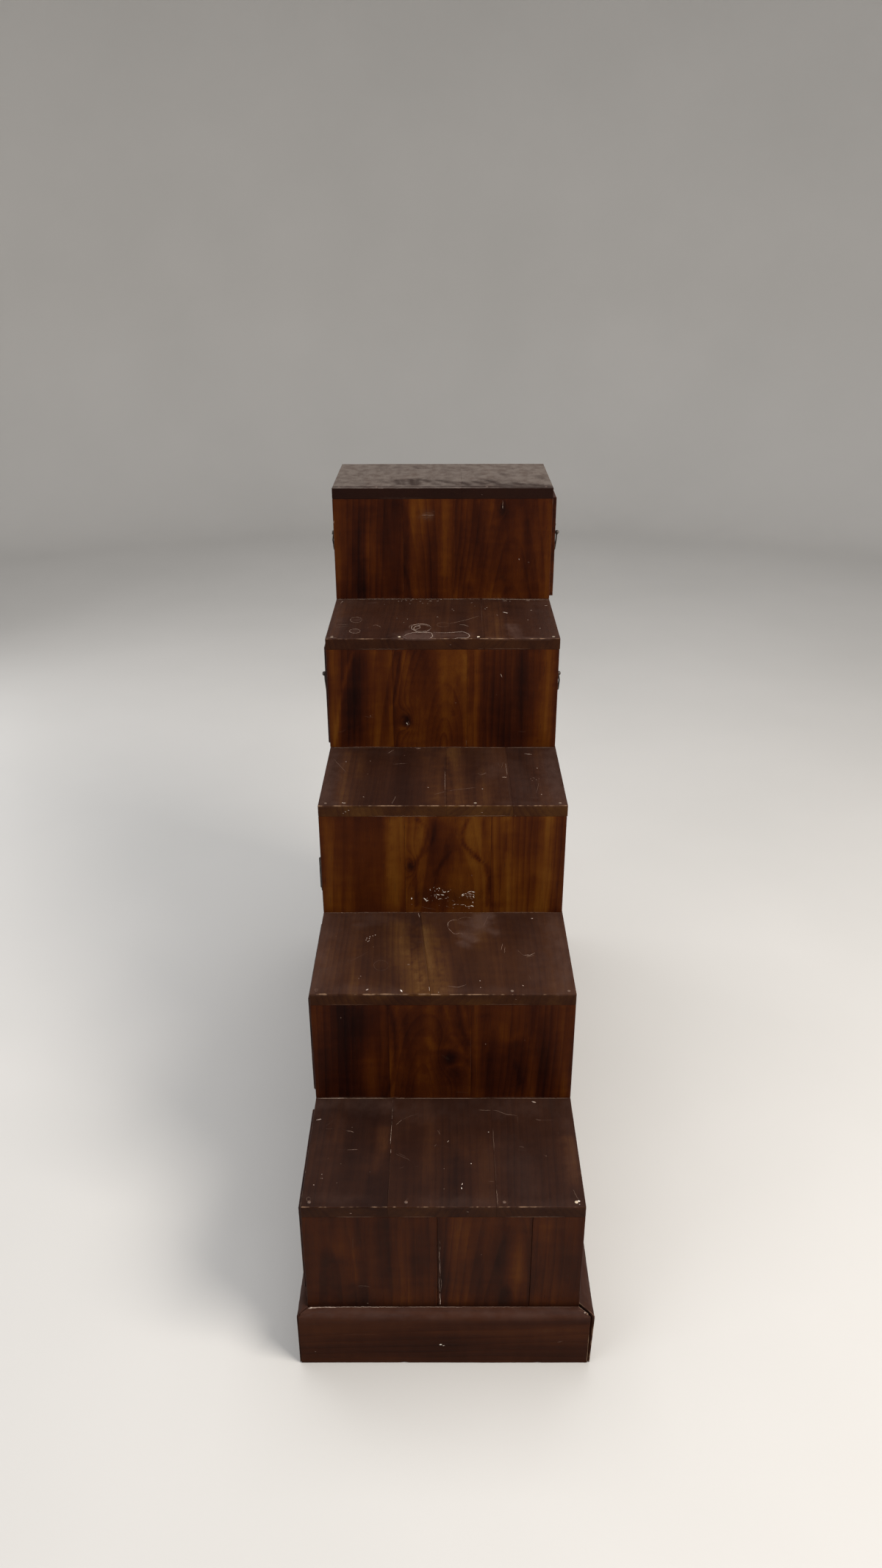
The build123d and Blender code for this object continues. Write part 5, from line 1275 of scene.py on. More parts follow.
def wood(name, colours, base=0.46, tone_gain=0.52, ring=0.09, period=9.0, fibre=0.12, streak=0.055, blotch=0.07,
         ripple=0.09, rough=0.46, coat=0.0, coat_rough=0.28, pale=(0.19, 0.115, 0.070), dust_sheen_colour=(0.085, 0.066, 0.062),
         dust_sheen_share=0.62, bump=0.30, warp=0.012, grain_axis=None, specular=0.08, saw=0.0,
         outside=None):
    n = Nodes(name)
    if grain_axis is None:
        tree = n.attribute("tree")
        knot = n.split(n.attribute("knot"))
        tone, wear, mark = n.split(n.attribute("look"))
        haze, stain_and_shade, number = n.split(n.attribute("look2"))
    else:                                   # a CAD node: its own object coordinates, fibres along one axis
        at = n.split(n.new("ShaderNodeTexCoord").outputs["Object"])
        order = {"x": (1, 2, 0), "y": (0, 2, 1), "z": (0, 1, 2)}[grain_axis]
        tree = n.join(n.math("ADD", at[order[0]], 0.09), n.math("ADD", at[order[1]], -0.06), at[order[2]])
        knot, tone, wear, mark, haze, stain_and_shade, number = None, 0.0, 0.0, 0.0, 0.0, 0.0, 3.0
    shift = n.join(n.math("MULTIPLY", number, 0.1731), n.math("MULTIPLY", number, 0.3113),
                   n.math("MULTIPLY", number, 0.0571))
    P = n.vec("ADD", tree, shift)

    def field(fx, fz, **kw):
        return n.noise(n.scale(P, (fx, fx, fz)), **kw)

    wobble = n.vec("SUBTRACT", field(7.0, 2.4, detail=2.0, colour=True), (0.5, 0.5, 0.5))
    fine = n.vec("SUBTRACT", field(38.0, 7.0, detail=2.0, colour=True), (0.5, 0.5, 0.5))
    T = n.vec("ADD", n.vec("ADD", tree, n.scale(wobble, (warp * 2, warp * 2, 0.0))),
              n.scale(fine, (0.0036, 0.0036, 0.0)))
    x, y, z = n.split(T)
    R = n.math("SQRT", n.add(n.mul(x, x), n.mul(y, y), 1e-7))
    core = None
    if knot is not None:
        kk = n.add(n.mul(knot[0], knot[0]), n.mul(knot[1], knot[1]))
        bell = n.math("POWER", 2.71828, n.math("MULTIPLY", kk, -1.0))
        R = n.add(R, n.mul(bell, knot[2]))
        core = n.mul(n.math("POWER", 2.71828, n.math("MULTIPLY", kk, -5.0)), n.step(knot[2], 0.0, 0.006))
    R = n.math("MULTIPLY", R, 1000.0 / period)
    strength = n.noise(n.join(n.math("MULTIPLY", R, 0.37), n.math("MULTIPLY", number, 1.7), n.math("MULTIPLY", z, 1.3)),
                       detail=1.0)
    ring_value = n.ramp(n.math("FRACT", R), [(0.0, 0.0), (0.30, 0.12), (0.66, 0.62), (0.84, 1.0), (0.93, 0.72),
                                             (1.0, 0.0)])
    ring_on = n.mul(ring_value, n.step(strength, 0.30, 0.68, (0.25, 1.5)))
    F = field(560.0, 9.0, detail=3.0, roughness=0.62)
    M = field(150.0, 2.6, detail=2.0, roughness=0.55)
    B = field(20.0, 4.6, detail=2.0)
    Q = field(22.0, 75.0, detail=2.0)
    value = n.add(base, n.math("MULTIPLY", tone, tone_gain), n.centred(B, 2.0 * blotch), n.centred(M, 2.0 * streak),
                  n.centred(F, 1.3 * fibre), n.centred(Q, 2.0 * ripple), n.math("MULTIPLY", ring_on, -ring),
                  0.35 * ring)
    if core is not None:
        value = n.add(value, n.math("MULTIPLY", core, -0.42))
    colour = n.ramp(value, colours)
    skin = None
    if outside:                              # dark polish on what shows at the two sides, bare wood behind
        ox = n.math("ABSOLUTE", n.split(n.new("ShaderNodeTexCoord").outputs["Object"])[0])
        skin = n.step(n.add(ox, n.centred(field(60.0, 60.0, detail=2.0), 0.004)), 0.1935, 0.1975)
        colour = n.mix(skin, colour, n.ramp(value, outside))
    pores = n.step(field(900.0, 26.0, detail=1.0), 0.66, 0.74)
    colour = n.mix(n.math("MULTIPLY", pores, 0.45), colour, (0.012, 0.0045, 0.003))
    # dust and clouded polish, and painted sheen: a grey film over the colour stands for the pale reflection on the
    # treads
    cloud = n.noise(n.scale(P, (60.0, 60.0, 42.0)), detail=3.0, roughness=0.62)
    dust_and_sheen_mask = n.math("MULTIPLY", haze, n.step(cloud, 0.28, 0.72, (0.55, 1.12)), clamp=True)
    colour = n.mix(n.math("MULTIPLY", dust_and_sheen_mask, dust_sheen_share), colour, dust_sheen_colour)
    # dark stains, and painted shade at the foot of riser 1
    colour = n.mix(n.math("MULTIPLY", stain_and_shade, 0.86), colour, (0.0090, 0.0026, 0.0015))
    # worn edges down to bare wood, and pale scuffs
    bare_noise = n.noise(n.scale(P, (260.0, 260.0, 90.0)), detail=3.0, roughness=0.65)
    bare = n.step(n.add(wear, n.centred(bare_noise, 0.5)), 0.42, 0.90)
    colour = n.mix(n.math("MULTIPLY", bare, 0.78), colour, pale)
    scuff = n.ramp(mark, [(0.0, (0.13, 0.075, 0.052)), (0.3, (0.22, 0.145, 0.105)), (0.6, (0.38, 0.30, 0.25)),
                          (1.0, (0.85, 0.80, 0.70))]) \
        if grain_axis is None else (0.3, 0.2, 0.15)
    if grain_axis is None:
        colour = n.mix(n.step(mark, 0.02, 0.55), colour, scuff)
    roughness = n.add(rough, n.centred(F, 0.16), n.centred(cloud, 0.10), n.math("MULTIPLY", dust_and_sheen_mask, 0.24),
                      n.math("MULTIPLY", bare, 0.22), n.math("MULTIPLY", mark, 0.25))
    if skin is not None:
        roughness = n.add(roughness, n.math("MULTIPLY", skin, -0.22))
    roughness = n.math("MINIMUM", n.math("MAXIMUM", roughness, 0.16), 0.95)
    height = n.add(n.math("MULTIPLY", F, 0.55), n.math("MULTIPLY", M, 0.5), n.math("MULTIPLY", ring_value, -0.28),
                   n.math("MULTIPLY", pores, -0.5), n.math("MULTIPLY", bare_noise, n.math("MULTIPLY", bare, 0.8)))
    if saw:                                  # saw marks across the fibres of unplaned boards
        marks = n.noise(n.scale(P, (3.0, 3.0, 420.0)), detail=1.0)
        height = n.add(height, n.math("MULTIPLY", marks, saw))
    normal = n.bump(height, bump, 0.0007)
    p = n.principled(Base_Color=colour, Roughness=roughness, Normal=normal)
    p.inputs["IOR"].default_value = 1.5
    p.inputs["Specular IOR Level"].default_value = specular
    p.inputs["Coat Weight"].default_value = coat
    p.inputs["Coat Roughness"].default_value = coat_rough
    p.inputs["Coat IOR"].default_value = 1.5
    return n.mat


RISER_COLOURS = [(0.00, (0.0050, 0.0013, 0.0009)), (0.22, (0.0115, 0.0024, 0.0011)), (0.42, (0.0240, 0.0047, 0.0013)),
                 (0.60, (0.0410, 0.0088, 0.0015)), (0.78, (0.0660, 0.0178, 0.0020)), (1.00, (0.1000, 0.0350, 0.0040))]
TREAD_COLOURS = [(0.00, (0.0060, 0.0020, 0.0013)), (0.26, (0.0110, 0.0036, 0.0020)), (0.48, (0.0200, 0.0064, 0.0029)),
                 (0.66, (0.0310, 0.0104, 0.0038)), (0.84, (0.0500, 0.0195, 0.0052)), (1.00, (0.0750, 0.0340, 0.0100))]
PLINTH_COLOURS = [(0.00, (0.0070, 0.0022, 0.0012)), (0.30, (0.0160, 0.0046, 0.0021)), (0.52, (0.0270, 0.0075, 0.0030)),
                  (0.72, (0.0410, 0.0120, 0.0042)), (1.00, (0.0760, 0.0290, 0.0100))]
INNER_COLOURS = [(0.00, (0.060, 0.0300, 0.0160)), (0.30, (0.120, 0.0660, 0.0360)), (0.55, (0.200, 0.1200, 0.0680)),
                 (0.80, (0.290, 0.1850, 0.1100)), (1.00, (0.370, 0.2500, 0.1600))]

M_RISER = wood("wood_riser", RISER_COLOURS, specular=0.05, dust_sheen_colour=(0.072, 0.044, 0.025))
# tread finishes: the grey film colour is dust and painted sheen, with the real specular kept low
M_TREAD = wood("wood_tread", TREAD_COLOURS, tone_gain=0.34, ring=0.07, streak=0.06, blotch=0.10, rough=0.47, specular=0.05,
               dust_sheen_colour=(0.068, 0.038, 0.029), dust_sheen_share=0.52)
# top tread: its taupe-grey film is painted reflection of the pale wall, over some dust
M_TOP = wood("wood_top_tread", TREAD_COLOURS, tone_gain=0.34, ring=0.04, streak=0.08, blotch=0.16, rough=0.55, specular=0.06,
             dust_sheen_colour=(0.100, 0.080, 0.067), dust_sheen_share=0.95)
M_PLINTH = wood("wood_plinth", PLINTH_COLOURS, tone_gain=0.4, ring=0.07, streak=0.09, rough=0.46, specular=0.03,
                dust_sheen_colour=(0.075, 0.052, 0.046))
M_SIDE = wood("wood_side", RISER_COLOURS, ring=0.09, period=7.0, streak=0.16, rough=0.42)

RAW = dict(ring=0.20, period=5.0, fibre=0.2, streak=0.2, blotch=0.2, rough=0.66, coat=0.0, bump=0.45, saw=0.6,
           pale=(0.42, 0.30, 0.20))
M_RAW = wood("wood_drawer_inside", INNER_COLOURS, **RAW)
M_CASE = wood("wood_case", INNER_COLOURS, outside=RISER_COLOURS, **{**RAW, "base": 0.34})
M_CASE_Y = wood("wood_case_boards", INNER_COLOURS, outside=RISER_COLOURS, grain_axis="y", **{**RAW, "base": 0.34})
M_BACK = wood("wood_back", PLINTH_COLOURS, base=0.52, ring=0.14, period=6.5, fibre=0.16, streak=0.2, rough=0.6,
              bump=0.45, saw=0.35)
M_BLOCK = wood("wood_blocks", INNER_COLOURS, grain_axis="z", **{**RAW, "base": 0.32, "saw": 0.8})


def iron_material(cad=False):
    n = Nodes("pin_iron" if cad else "forged_iron")
    if cad:
        wear, number = 0.3, 2.0
    else:
        wear = n.split(n.attribute("look"))[1]
        number = n.split(n.attribute("look2"))[2]
    at = n.vec("ADD", n.new("ShaderNodeTexCoord").outputs["Object"], n.join(n.math("MULTIPLY", number, 0.37), 0.0, 0.0))
    big = n.noise(n.scale(at, (140.0, 140.0, 140.0)), detail=3.0, roughness=0.6)
    small = n.noise(n.scale(at, (620.0, 620.0, 620.0)), detail=3.0, roughness=0.65)
    colour = n.ramp(n.add(n.math("MULTIPLY", big, 0.6), n.math("MULTIPLY", small, 0.4)),
                    [(0.30, (0.016, 0.0130, 0.0108)), (0.50, (0.040, 0.0325, 0.0265)), (0.72, (0.076, 0.0620, 0.0500))])
    rust = n.step(n.add(n.noise(n.scale(at, (95.0, 95.0, 95.0)), detail=4.0, roughness=0.7), n.centred(small, 0.25)),
                  0.56, 0.70)
    colour = n.mix(n.math("MULTIPLY", rust, 0.55), colour, (0.075, 0.030, 0.014))
    bright = n.step(n.add(wear, n.centred(small, 0.45), n.centred(big, 0.35)), 0.45, 0.95)
    colour = n.mix(bright, colour, (0.33, 0.30, 0.27))
    rough = n.add(0.52, n.centred(small, 0.22), n.math("MULTIPLY", rust, 0.22), n.math("MULTIPLY", bright, -0.18))
    height = n.add(n.math("MULTIPLY", big, 0.7), n.math("MULTIPLY", small, 0.35), n.math("MULTIPLY", rust, 0.35))
    p = n.principled(Base_Color=colour, Roughness=rough, Normal=n.bump(height, 0.5, 0.0006))
    p.inputs["Metallic"].default_value = 0.82
    p.inputs["IOR"].default_value = 1.8
    return n.mat


def peg_material():
    n = Nodes("peg_end_grain")
    tone, wear, mark = n.split(n.attribute("look"))
    tree = n.attribute("tree")
    x, y, z = n.split(tree)
    R = n.math("MULTIPLY", n.math("SQRT", n.add(n.mul(x, x), n.mul(y, y))), 1000.0)
    rings = n.ramp(n.math("FRACT", n.add(R, n.centred(n.noise(n.scale(tree, (900.0, 900.0, 60.0)), detail=2.0), 0.8))),
                   [(0.0, 0.35), (0.6, 0.6), (0.9, 1.0), (1.0, 0.35)])
    dots = n.noise(n.scale(tree, (2600.0, 2600.0, 120.0)), detail=2.0)
    dark = n.mix(rings, (0.10, 0.052, 0.030), (0.050, 0.024, 0.014))
    pale = n.mix(rings, (0.74, 0.63, 0.47), (0.50, 0.38, 0.25))
    colour = n.mix(n.step(mark, 0.0, 1.0), dark, pale)
    colour = n.mix(n.math("MULTIPLY", n.step(dots, 0.55, 0.75), 0.5), colour, (0.03, 0.016, 0.010))
    rim = n.step(R, 2.15, 2.62)
    colour = n.mix(n.math("MULTIPLY", rim, 0.8), colour, (0.018, 0.009, 0.006))
    p = n.principled(Base_Color=colour, Roughness=n.add(0.55, n.centred(dots, 0.2)),
                     Normal=n.bump(n.add(dots, n.math("MULTIPLY", rings, 0.4)), 0.4, 0.0004))
    p.inputs["Specular IOR Level"].default_value = 0.4
    return n.mat


M_IRON = iron_material()
M_PIN = iron_material(cad=True)
M_PEG = peg_material()


# ---------------------------------------------------------------------------
# rows of boards
# ---------------------------------------------------------------------------
def row(build, joints, y0, y1, z0, z1, specs, mat=0, grain="y", face="z1", x0=-HW, x1=HW, gap=0.0, joint_edge=(0.4, 0.16),
        outer=(1.4, 0.35), edges=None, marks=None, seed=1, **common):
    """Boards side by side along X. Returns them, left to right."""
    ends = [(e, e) if not isinstance(e, tuple) else e for e in [x0] + list(joints) + [x1]]
    boards = []
    last = len(ends) - 2
    for k, (a, b) in enumerate(zip(ends, ends[1:])):
        spec = dict(specs[k]) if specs and k < len(specs) else {}
        left, right = (a[0] + (gap if k else 0), a[1] + (gap if k else 0)), (b[0] - (gap if k < last else 0), b[1] - (gap if k < last else 0))
        e = {}
        for side, is_outer in (("x0", k == 0), ("x1", k == last)):
            for other in ("y0", "y1", "z0", "z1"):
                e[side + other] = outer if is_outer else joint_edge
        e.update(edges or {})
        e.update(spec.pop("edges", {}))
        args = {"seed": seed * 7 + k, **common, **spec}
        skew = (left, right) if (left[0] != left[1] or right[0] != right[1]) else None
        board = Board((left[0], right[0], y0, y1, z0, z1), grain=grain, face=face, edges=e, skew=skew, **args)
        boards.append(board)
        board.add_to(build, mat, marks)
    if marks:
        add_marks(boards, build, marks, seed)
    return boards


def on_face(board, face):
    """The same board seen on another of its faces, for marks."""
    other = Board(board.box, grain=board.grain, face=face, r=board.r, worn=board.worn, edges=board.edges,
                  pith=board.pith, lean=board.lean, seed=board.seed, wave=0.0, skew=board.skew, mottle=board.mottle)
    other.values = board.values
    return other


# ---------------------------------------------------------------------------
# treads
# ---------------------------------------------------------------------------
# grey dust and painted sheen on a tread's top: rising towards the sides, the back and the front, over a base level
def side_haze(level_edges, level_back, reach=55.0, back_reach=70.0, y0=0.0, y1=0.0, z1=0.0, base=0.0, front=0.0):
    def f(p):
        e = np.minimum(p[:, 0] + HW, HW - p[:, 0])
        w = 12 * vnoise(np.stack([p[:, 0] / 40, p[:, 1] / 40, p[:, 2] * 0], 1), 77)
        out = base + level_edges * np.exp(-((e + w) / reach).clip(0) ** 1.5)
        out = out + level_back * np.exp(-(((y1 - p[:, 1]) + w) / back_reach).clip(0) ** 1.3)
        out = out + front * np.exp(-(((p[:, 1] - y0) + w) / 30).clip(0) ** 1.3)
        return np.where(p[:, 2] > z1 - 1.5, out, 0.0 * out)
    return f


TREAD_SPECS = [
    [dict(tone=-0.26, pith=(70, 60), streaks=[(-170, -160, 14, 0.15), (-120, -132, 18, -0.2)]),
     dict(tone=-0.16, pith=(-95, 45), streaks=[(-30, -36, 10, 0.22), (22, 15, 16, -0.18)]),
     dict(tone=-0.24, pith=(110, 50), streaks=[(120, 130, 16, 0.15)])],
    [dict(tone=0.30, pith=(105, 40), streaks=[(-140, -150, 18, 0.15), (-80, -72, 20, -0.15)],
          shape=lambda p: 1.0 * np.exp(-((p[:, 1] - RY[1]) / 70.0) ** 2)),
     dict(tone=0.42, pith=(-140, 55), streaks=[(60, 74, 16, 0.18), (140, 130, 18, -0.16)])],
    [dict(tone=-0.02, pith=(120, 40), streaks=[(-150, -140, 20, 0.14), (-60, -70, 16, -0.18)]),
     dict(tone=0.10, pith=(-80, 50), streaks=[(60, 55, 12, 0.15)]),
     dict(tone=-0.05, pith=(70, 50), streaks=[(165, 160, 12, 0.16)])],
    [dict(tone=-0.04, pith=(130, 60), streaks=[(-130, -120, 18, -0.16), (0, 12, 16, 0.14)]),
     dict(tone=0.02, pith=(-90, 40), streaks=[(140, 132, 16, -0.14)])],
    [dict(tone=0.0, pith=(120, 60)), dict(tone=0.05, pith=(-110, 50))],
]
# levels of dust and painted sheen for each tread; the top tread's high base level is painted reflection of the pale
# wall
TREAD_DUST_AND_SHEEN = [
    dict(level_edges=0.14, level_back=0.26, base=0.0),
    dict(level_edges=0.36, level_back=0.26, base=0.05, reach=36.0),
    dict(level_edges=0.32, level_back=0.20, base=0.02, reach=34.0),
    dict(level_edges=0.34, level_back=0.20, base=0.03, reach=34.0),
    dict(level_edges=0.10, level_back=0.10, base=0.92),
]


def front_chips(seed, n, size=(0.7, 1.7)):
    g = rng(seed)
    return [("y0z1", float(g.uniform(-195, 195)), float(g.uniform(*size)), float(g.uniform(1.4, 4.0))) for _ in range(n)]


def make_tread(i):
    b = Build()
    y0, y1 = RY[i], (RY[i + 1] + RISER_T if i < 4 else YB)
    limit = (RY[i + 1] - y0 if i < 4 else YB - y0) - 0.7
    gain = MARK_GAIN[i]
    marks = (y0, [(k, w, s * gain.get(k, 1.0), [(x, min(y, limit)) for x, y in pts]) for k, w, s, pts in MARKS[f"t{i + 1}"]]
             + [("s", w, s, [(a, limit + 0.1), (b, limit + 0.1)]) for a, b, w, s in JUNCTIONS[i]])
    boards = row(b, TREAD_JOINTS[i], y0, y1, TU[i], TZ[i], TREAD_SPECS[i], grain="y", face="z1", pitch=3.2,
                 pitch_other=5.0, seed=11 + i, marks=marks, r=0.7, worn=0.2, joint_edge=(0.45, 0.14), outer=(1.5, 0.42),
                 wave=0.22, haze_at=side_haze(y0=y0, y1=y1, z1=TZ[i], **TREAD_DUST_AND_SHEEN[i]), chips=front_chips(50 + i, 9),
                 edges={"y0z1": (1.3, EDGE_WEAR[i]), "y0z0": (0.8, 0.3), "y1z1": (0.8, 0.2)}, mottle=0.42,
                 stain_at=(lambda p: np.where((p[:, 1] < y0 + 0.6) & (p[:, 2] < TZ[i] - 0.2), 0.94, 0.0)) if i == 4 else None,
                 tone_at=lambda p: np.where(p[:, 1] < y0 + 0.6, BAND_TONE[i], 0.0))
    band = [on_face(k, "y0") for k in boards]
    add_marks(band, b, (0.0, BAND_MARKS[i]), 300 + i)
    return finish_piece(b, f"tread_{i + 1}", [M_TOP if i == 4 else M_TREAD])


MARK_GAIN = [dict(s=0.84, w=0.9), dict(s=1.05, w=0.9, h=1.35), dict(s=0.80, w=0.9, h=1.1), dict(s=1.35, h=1.3), {}]
BAND_TONE = [0.48, 0.12, 0.80, 0.30, 0.0]
EDGE_WEAR = [0.58, 0.68, 0.66, 0.62, 0.20]
JUNCTIONS = [
    [(-199, -150, 1.3, 0.9), (-152, -60, 0.9, 0.7), (-62, 60, 0.8, 0.6), (58, 150, 0.8, 0.55), (148, 199, 0.9, 0.6)],
    [(-199, -120, 1.0, 0.75), (-122, -10, 0.8, 0.6), (-12, 110, 0.8, 0.6), (108, 199, 0.8, 0.55)],
    [(-199, -140, 1.1, 0.75), (-142, -30, 0.9, 0.65), (-28, 80, 0.8, 0.6), (82, 199, 0.9, 0.6)],
    [(-199, -100, 1.0, 0.7), (-102, 20, 0.9, 0.65), (18, 120, 0.8, 0.6), (118, 199, 0.9, 0.6)],
    [],
]
BAND_MARKS = [
    [("s", 1.0, 0.55, [(-150, 284.3), (-96, 284.1)]), ("s", 0.9, 0.5, [(-60, 284.2), (-12, 284.3)]),
     ("s", 1.0, 0.6, [(88, 284.1), (170, 284.4)]), ("w", 1.4, 0.5, [(-131, 291), (-128, 291.4)]),
     ("w", 1.3, 0.5, [(33, 294), (36, 293.4)])],
    [("w", 2.0, 0.75, [(-42.4, 489.2), (-39.0, 489.8)]), ("s", 0.8, 0.45, [(40, 483.6), (120, 483.9)]),
     ("s", 0.8, 0.4, [(-180, 483.4), (-120, 483.6)]), ("w", 1.2, 0.45, [(96, 493.2), (98, 493.0)])],
    [("w", 1.5, 0.8, [(-157, 692.5), (-154.4, 692.0)]), ("w", 1.3, 0.7, [(-151.8, 694.6), (-149.6, 694.8)]),
     ("w", 1.2, 0.65, [(-160.4, 689.2), (-158.6, 689.4)]), ("s", 0.9, 0.6, [(-120, 684.2), (-10, 684.0)]),
     ("s", 0.9, 0.55, [(20, 684.2), (118, 684.4)]), ("w", 1.3, 0.5, [(61, 690.8), (64, 690.2)])],
    [("s", 0.8, 0.5, [(-150, 886.4), (-60, 886.2)]), ("w", 1.2, 0.5, [(12, 893.8), (14.2, 894.2)]),
     ("s", 0.8, 0.45, [(60, 886.3), (150, 886.5)])],
    [("s", 0.8, 0.35, [(-120, 1092.5), (-30, 1092.4)]), ("w", 1.2, 0.4, [(70, 1099.0), (72.4, 1098.6)]),
     ],
]


# ---------------------------------------------------------------------------
# risers
# ---------------------------------------------------------------------------
RISER_HAZE = [0.10, 0.0, 0.0, 0.0, 0.0]
RISER_SPECS = [
    # riser 1
    [dict(tone=-0.04, pith=(-60, 75), lean=(0.02, 0.03), streaks=[(-170, -176, 12, 0.07), (-120, -112, 16, -0.08), (-60, -52, 14, 0.06)]),
     dict(tone=0.10, pith=(40, 60), lean=(0.03, 0.05), streaks=[(30, 24, 12, 0.08), (84, 90, 12, -0.07)]),
     dict(tone=0.02, pith=(-80, 60), streaks=[(150, 156, 10, 0.09)])],
    # riser 2
    [dict(tone=-0.20, pith=(60, 40), streaks=[(-192, -190, 8, 0.08), (-150, -160, 22, -0.06), (-112, -104, 9, 0.06)]),
     dict(tone=0.14, pith=(-10, 26), lean=(0.05, 0.28), knot=(10.0, 381.9, 20.0, 30.0, 30.0),
          streaks=[(-76, -72, 6, 0.14), (-62, -66, 5, 0.10), (26, 32, 8, -0.05)]),
     dict(tone=0.04, pith=(110, 50), streaks=[(51, 49, 4, 0.17), (62, 66, 5, 0.14), (110, 122, 18, -0.08), (186, 184, 9, 0.09)])],
    # riser 3
    [dict(tone=0.26, pith=(20, 60), streaks=[(-194, -192, 8, 0.13), (-130, -136, 24, -0.06), (-72, -70, 9, 0.12)]),
     dict(tone=0.48, pith=(10, 55), lean=(0.03, 0.10), knot=(-53.1, 592.0, 11.0, 22.0, 22.0),
          streaks=[(-44, -30, 10, 0.12), (60, 48, 13, 0.12), (8, 6, 26, -0.05)]),
     dict(tone=0.34, pith=(-120, 50), streaks=[(113, 110, 8, 0.13), (149, 151, 10, -0.12), (172, 174, 8, 0.14), (90, 92, 6, -0.04)])],
    # riser 4
    [dict(tone=0.16, pith=(60, 50), streaks=[(-194, -192, 9, 0.17), (-141, -146, 15, -0.17), (-104, -100, 9, 0.06)]),
     dict(tone=0.14, pith=(30, 24), lean=(0.05, 0.3), knot=(-63.1, 753.2, 14.0, 22.0, 26.0),
          streaks=[(-40, -46, 14, 0.05), (20, 26, 12, 0.06)]),
     dict(tone=0.06, pith=(-120, 60), streaks=[(54, 58, 8, 0.10), (120, 128, 24, -0.13), (182, 180, 7, 0.18)])],
    # riser 5
    [dict(tone=-0.02, pith=(90, 60), streaks=[(-194, -196, 10, 0.16), (-150, -172, 10, -0.12), (-92, -96, 14, -0.12), (-128, -120, 10, 0.06)]),
     dict(tone=0.18, pith=(-50, 46), lean=(0.04, 0.1), streaks=[(0, -2, 7, 0.09), (-40, -46, 14, 0.05), (-66, -64, 6, -0.08)]),
     dict(tone=0.16, pith=(20, 50), lean=(0.02, 0.12), knot=(109.0, 1076.0, 7.0, 14.0, 14.0),
          streaks=[(43, 45, 6, 0.14), (150, 160, 16, -0.06), (194, 193, 7, 0.14), (80, 76, 10, -0.04)])],
]
RISER_MARKS = [
    # riser 1: the dark band along its foot, just above the plinth, is painted shade
    [("w", 1.2, 0.4, [(54, 210), (55.4, 210.6)]), ("d", 8, 0.7, [(-198, 104), (-100, 105), (0, 104), (100, 105), (198, 104)]),
     ("d", 3, 0.7, [(124.7, 104), (124.7, 282)])],
    [("w", 1.8, 0.55, [(-155.0, 459), (-153.6, 459)]), ("w", 1.7, 0.55, [(64.4, 409), (65.8, 409)]),
     ("s", 0.8, 0.5, [(-180, 303.9), (-70, 303.8)]), ("s", 0.7, 0.4, [(60, 303.8), (160, 304.0)]),
     ("d", 8, 0.5, [(10, 381.9)])],
    [("s", 0.7, 0.4, [(-150, 502.9), (-20, 502.8)]),
     ("d", 7, 0.7, [(-53.1, 592)]), ("s", 0.7, 0.4, [(90, 502.8), (170, 502.9)]),
     ("d", 16, 0.35, [(-36, 534), (-10, 536), (20, 530), (44, 528)])],
    [("w", 1.8, 0.9, [(-63.6, 750.4), (-62.9, 748.0), (-61.8, 746.8)]), ("d", 8, 0.85, [(-63.1, 753.2)]),
     ("w", 1.5, 0.6, [(100.2, 838.1), (101.4, 838.1)]), ("w", 1.4, 0.55, [(22.0, 787.8), (23.0, 787.8)]),
     ("w", 1.5, 0.55, [(-127.5, 763.1), (-126.3, 763.1)]), ("s", 0.8, 0.5, [(-170, 703.8), (-90, 703.9)]),
     ("s", 0.7, 0.4, [(-30, 703.9), (60, 703.8)]), ("d", 26, 0.25, [(118, 720), (126, 870)])],
    [("s", 1.8, 0.6, [(-39, 1061.7), (-28, 1061.9), (-15, 1061.7)]), ("s", 1.6, 0.8, [(109, 1079.5), (109.2, 1073)]),
     ("d", 5, 0.85, [(106, 1070), (109, 1064), (112, 1070)]), ("d", 5, 0.7, [(110.4, 946.7)]),
     ("w", 1.5, 0.55, [(140.4, 980), (141.6, 980)]), ("w", 1.5, 0.55, [(158.2, 974.4), (159.4, 974.4)]),
     ("s", 0.7, 0.45, [(-150, 905.8), (-60, 905.9)]), ("s", 0.7, 0.4, [(30, 905.8), (140, 905.9)])],
]


def make_riser(i):
    b = Build()
    z0 = PLINTH_H if i == 0 else TZ[i - 1]
    row(b, RISER_JOINTS[i], RY[i], RY[i] + RISER_T, z0, TU[i], RISER_SPECS[i], grain="z", face="y0", pitch=4.0,
        x1=HW - (0.9 if i in (2, 3) else 0.0), haze=RISER_HAZE[i],
        pitch_other=6.0, seed=31 + i, marks=(0.0, RISER_MARKS[i] + MARKS[f"r{i + 1}"]), r=0.5, worn=0.10, wave=0.25,
        joint_edge=(0.5 if i else 0.6, 0.10), outer=(1.6, 0.34), gap=0.02 if i else 0.22,
        edges={"y0z0": (0.5, 0.34), "y0z1": (0.4, 0.05)}, mottle=0.5)
    return finish_piece(b, f"riser_{i + 1}", [M_RISER])


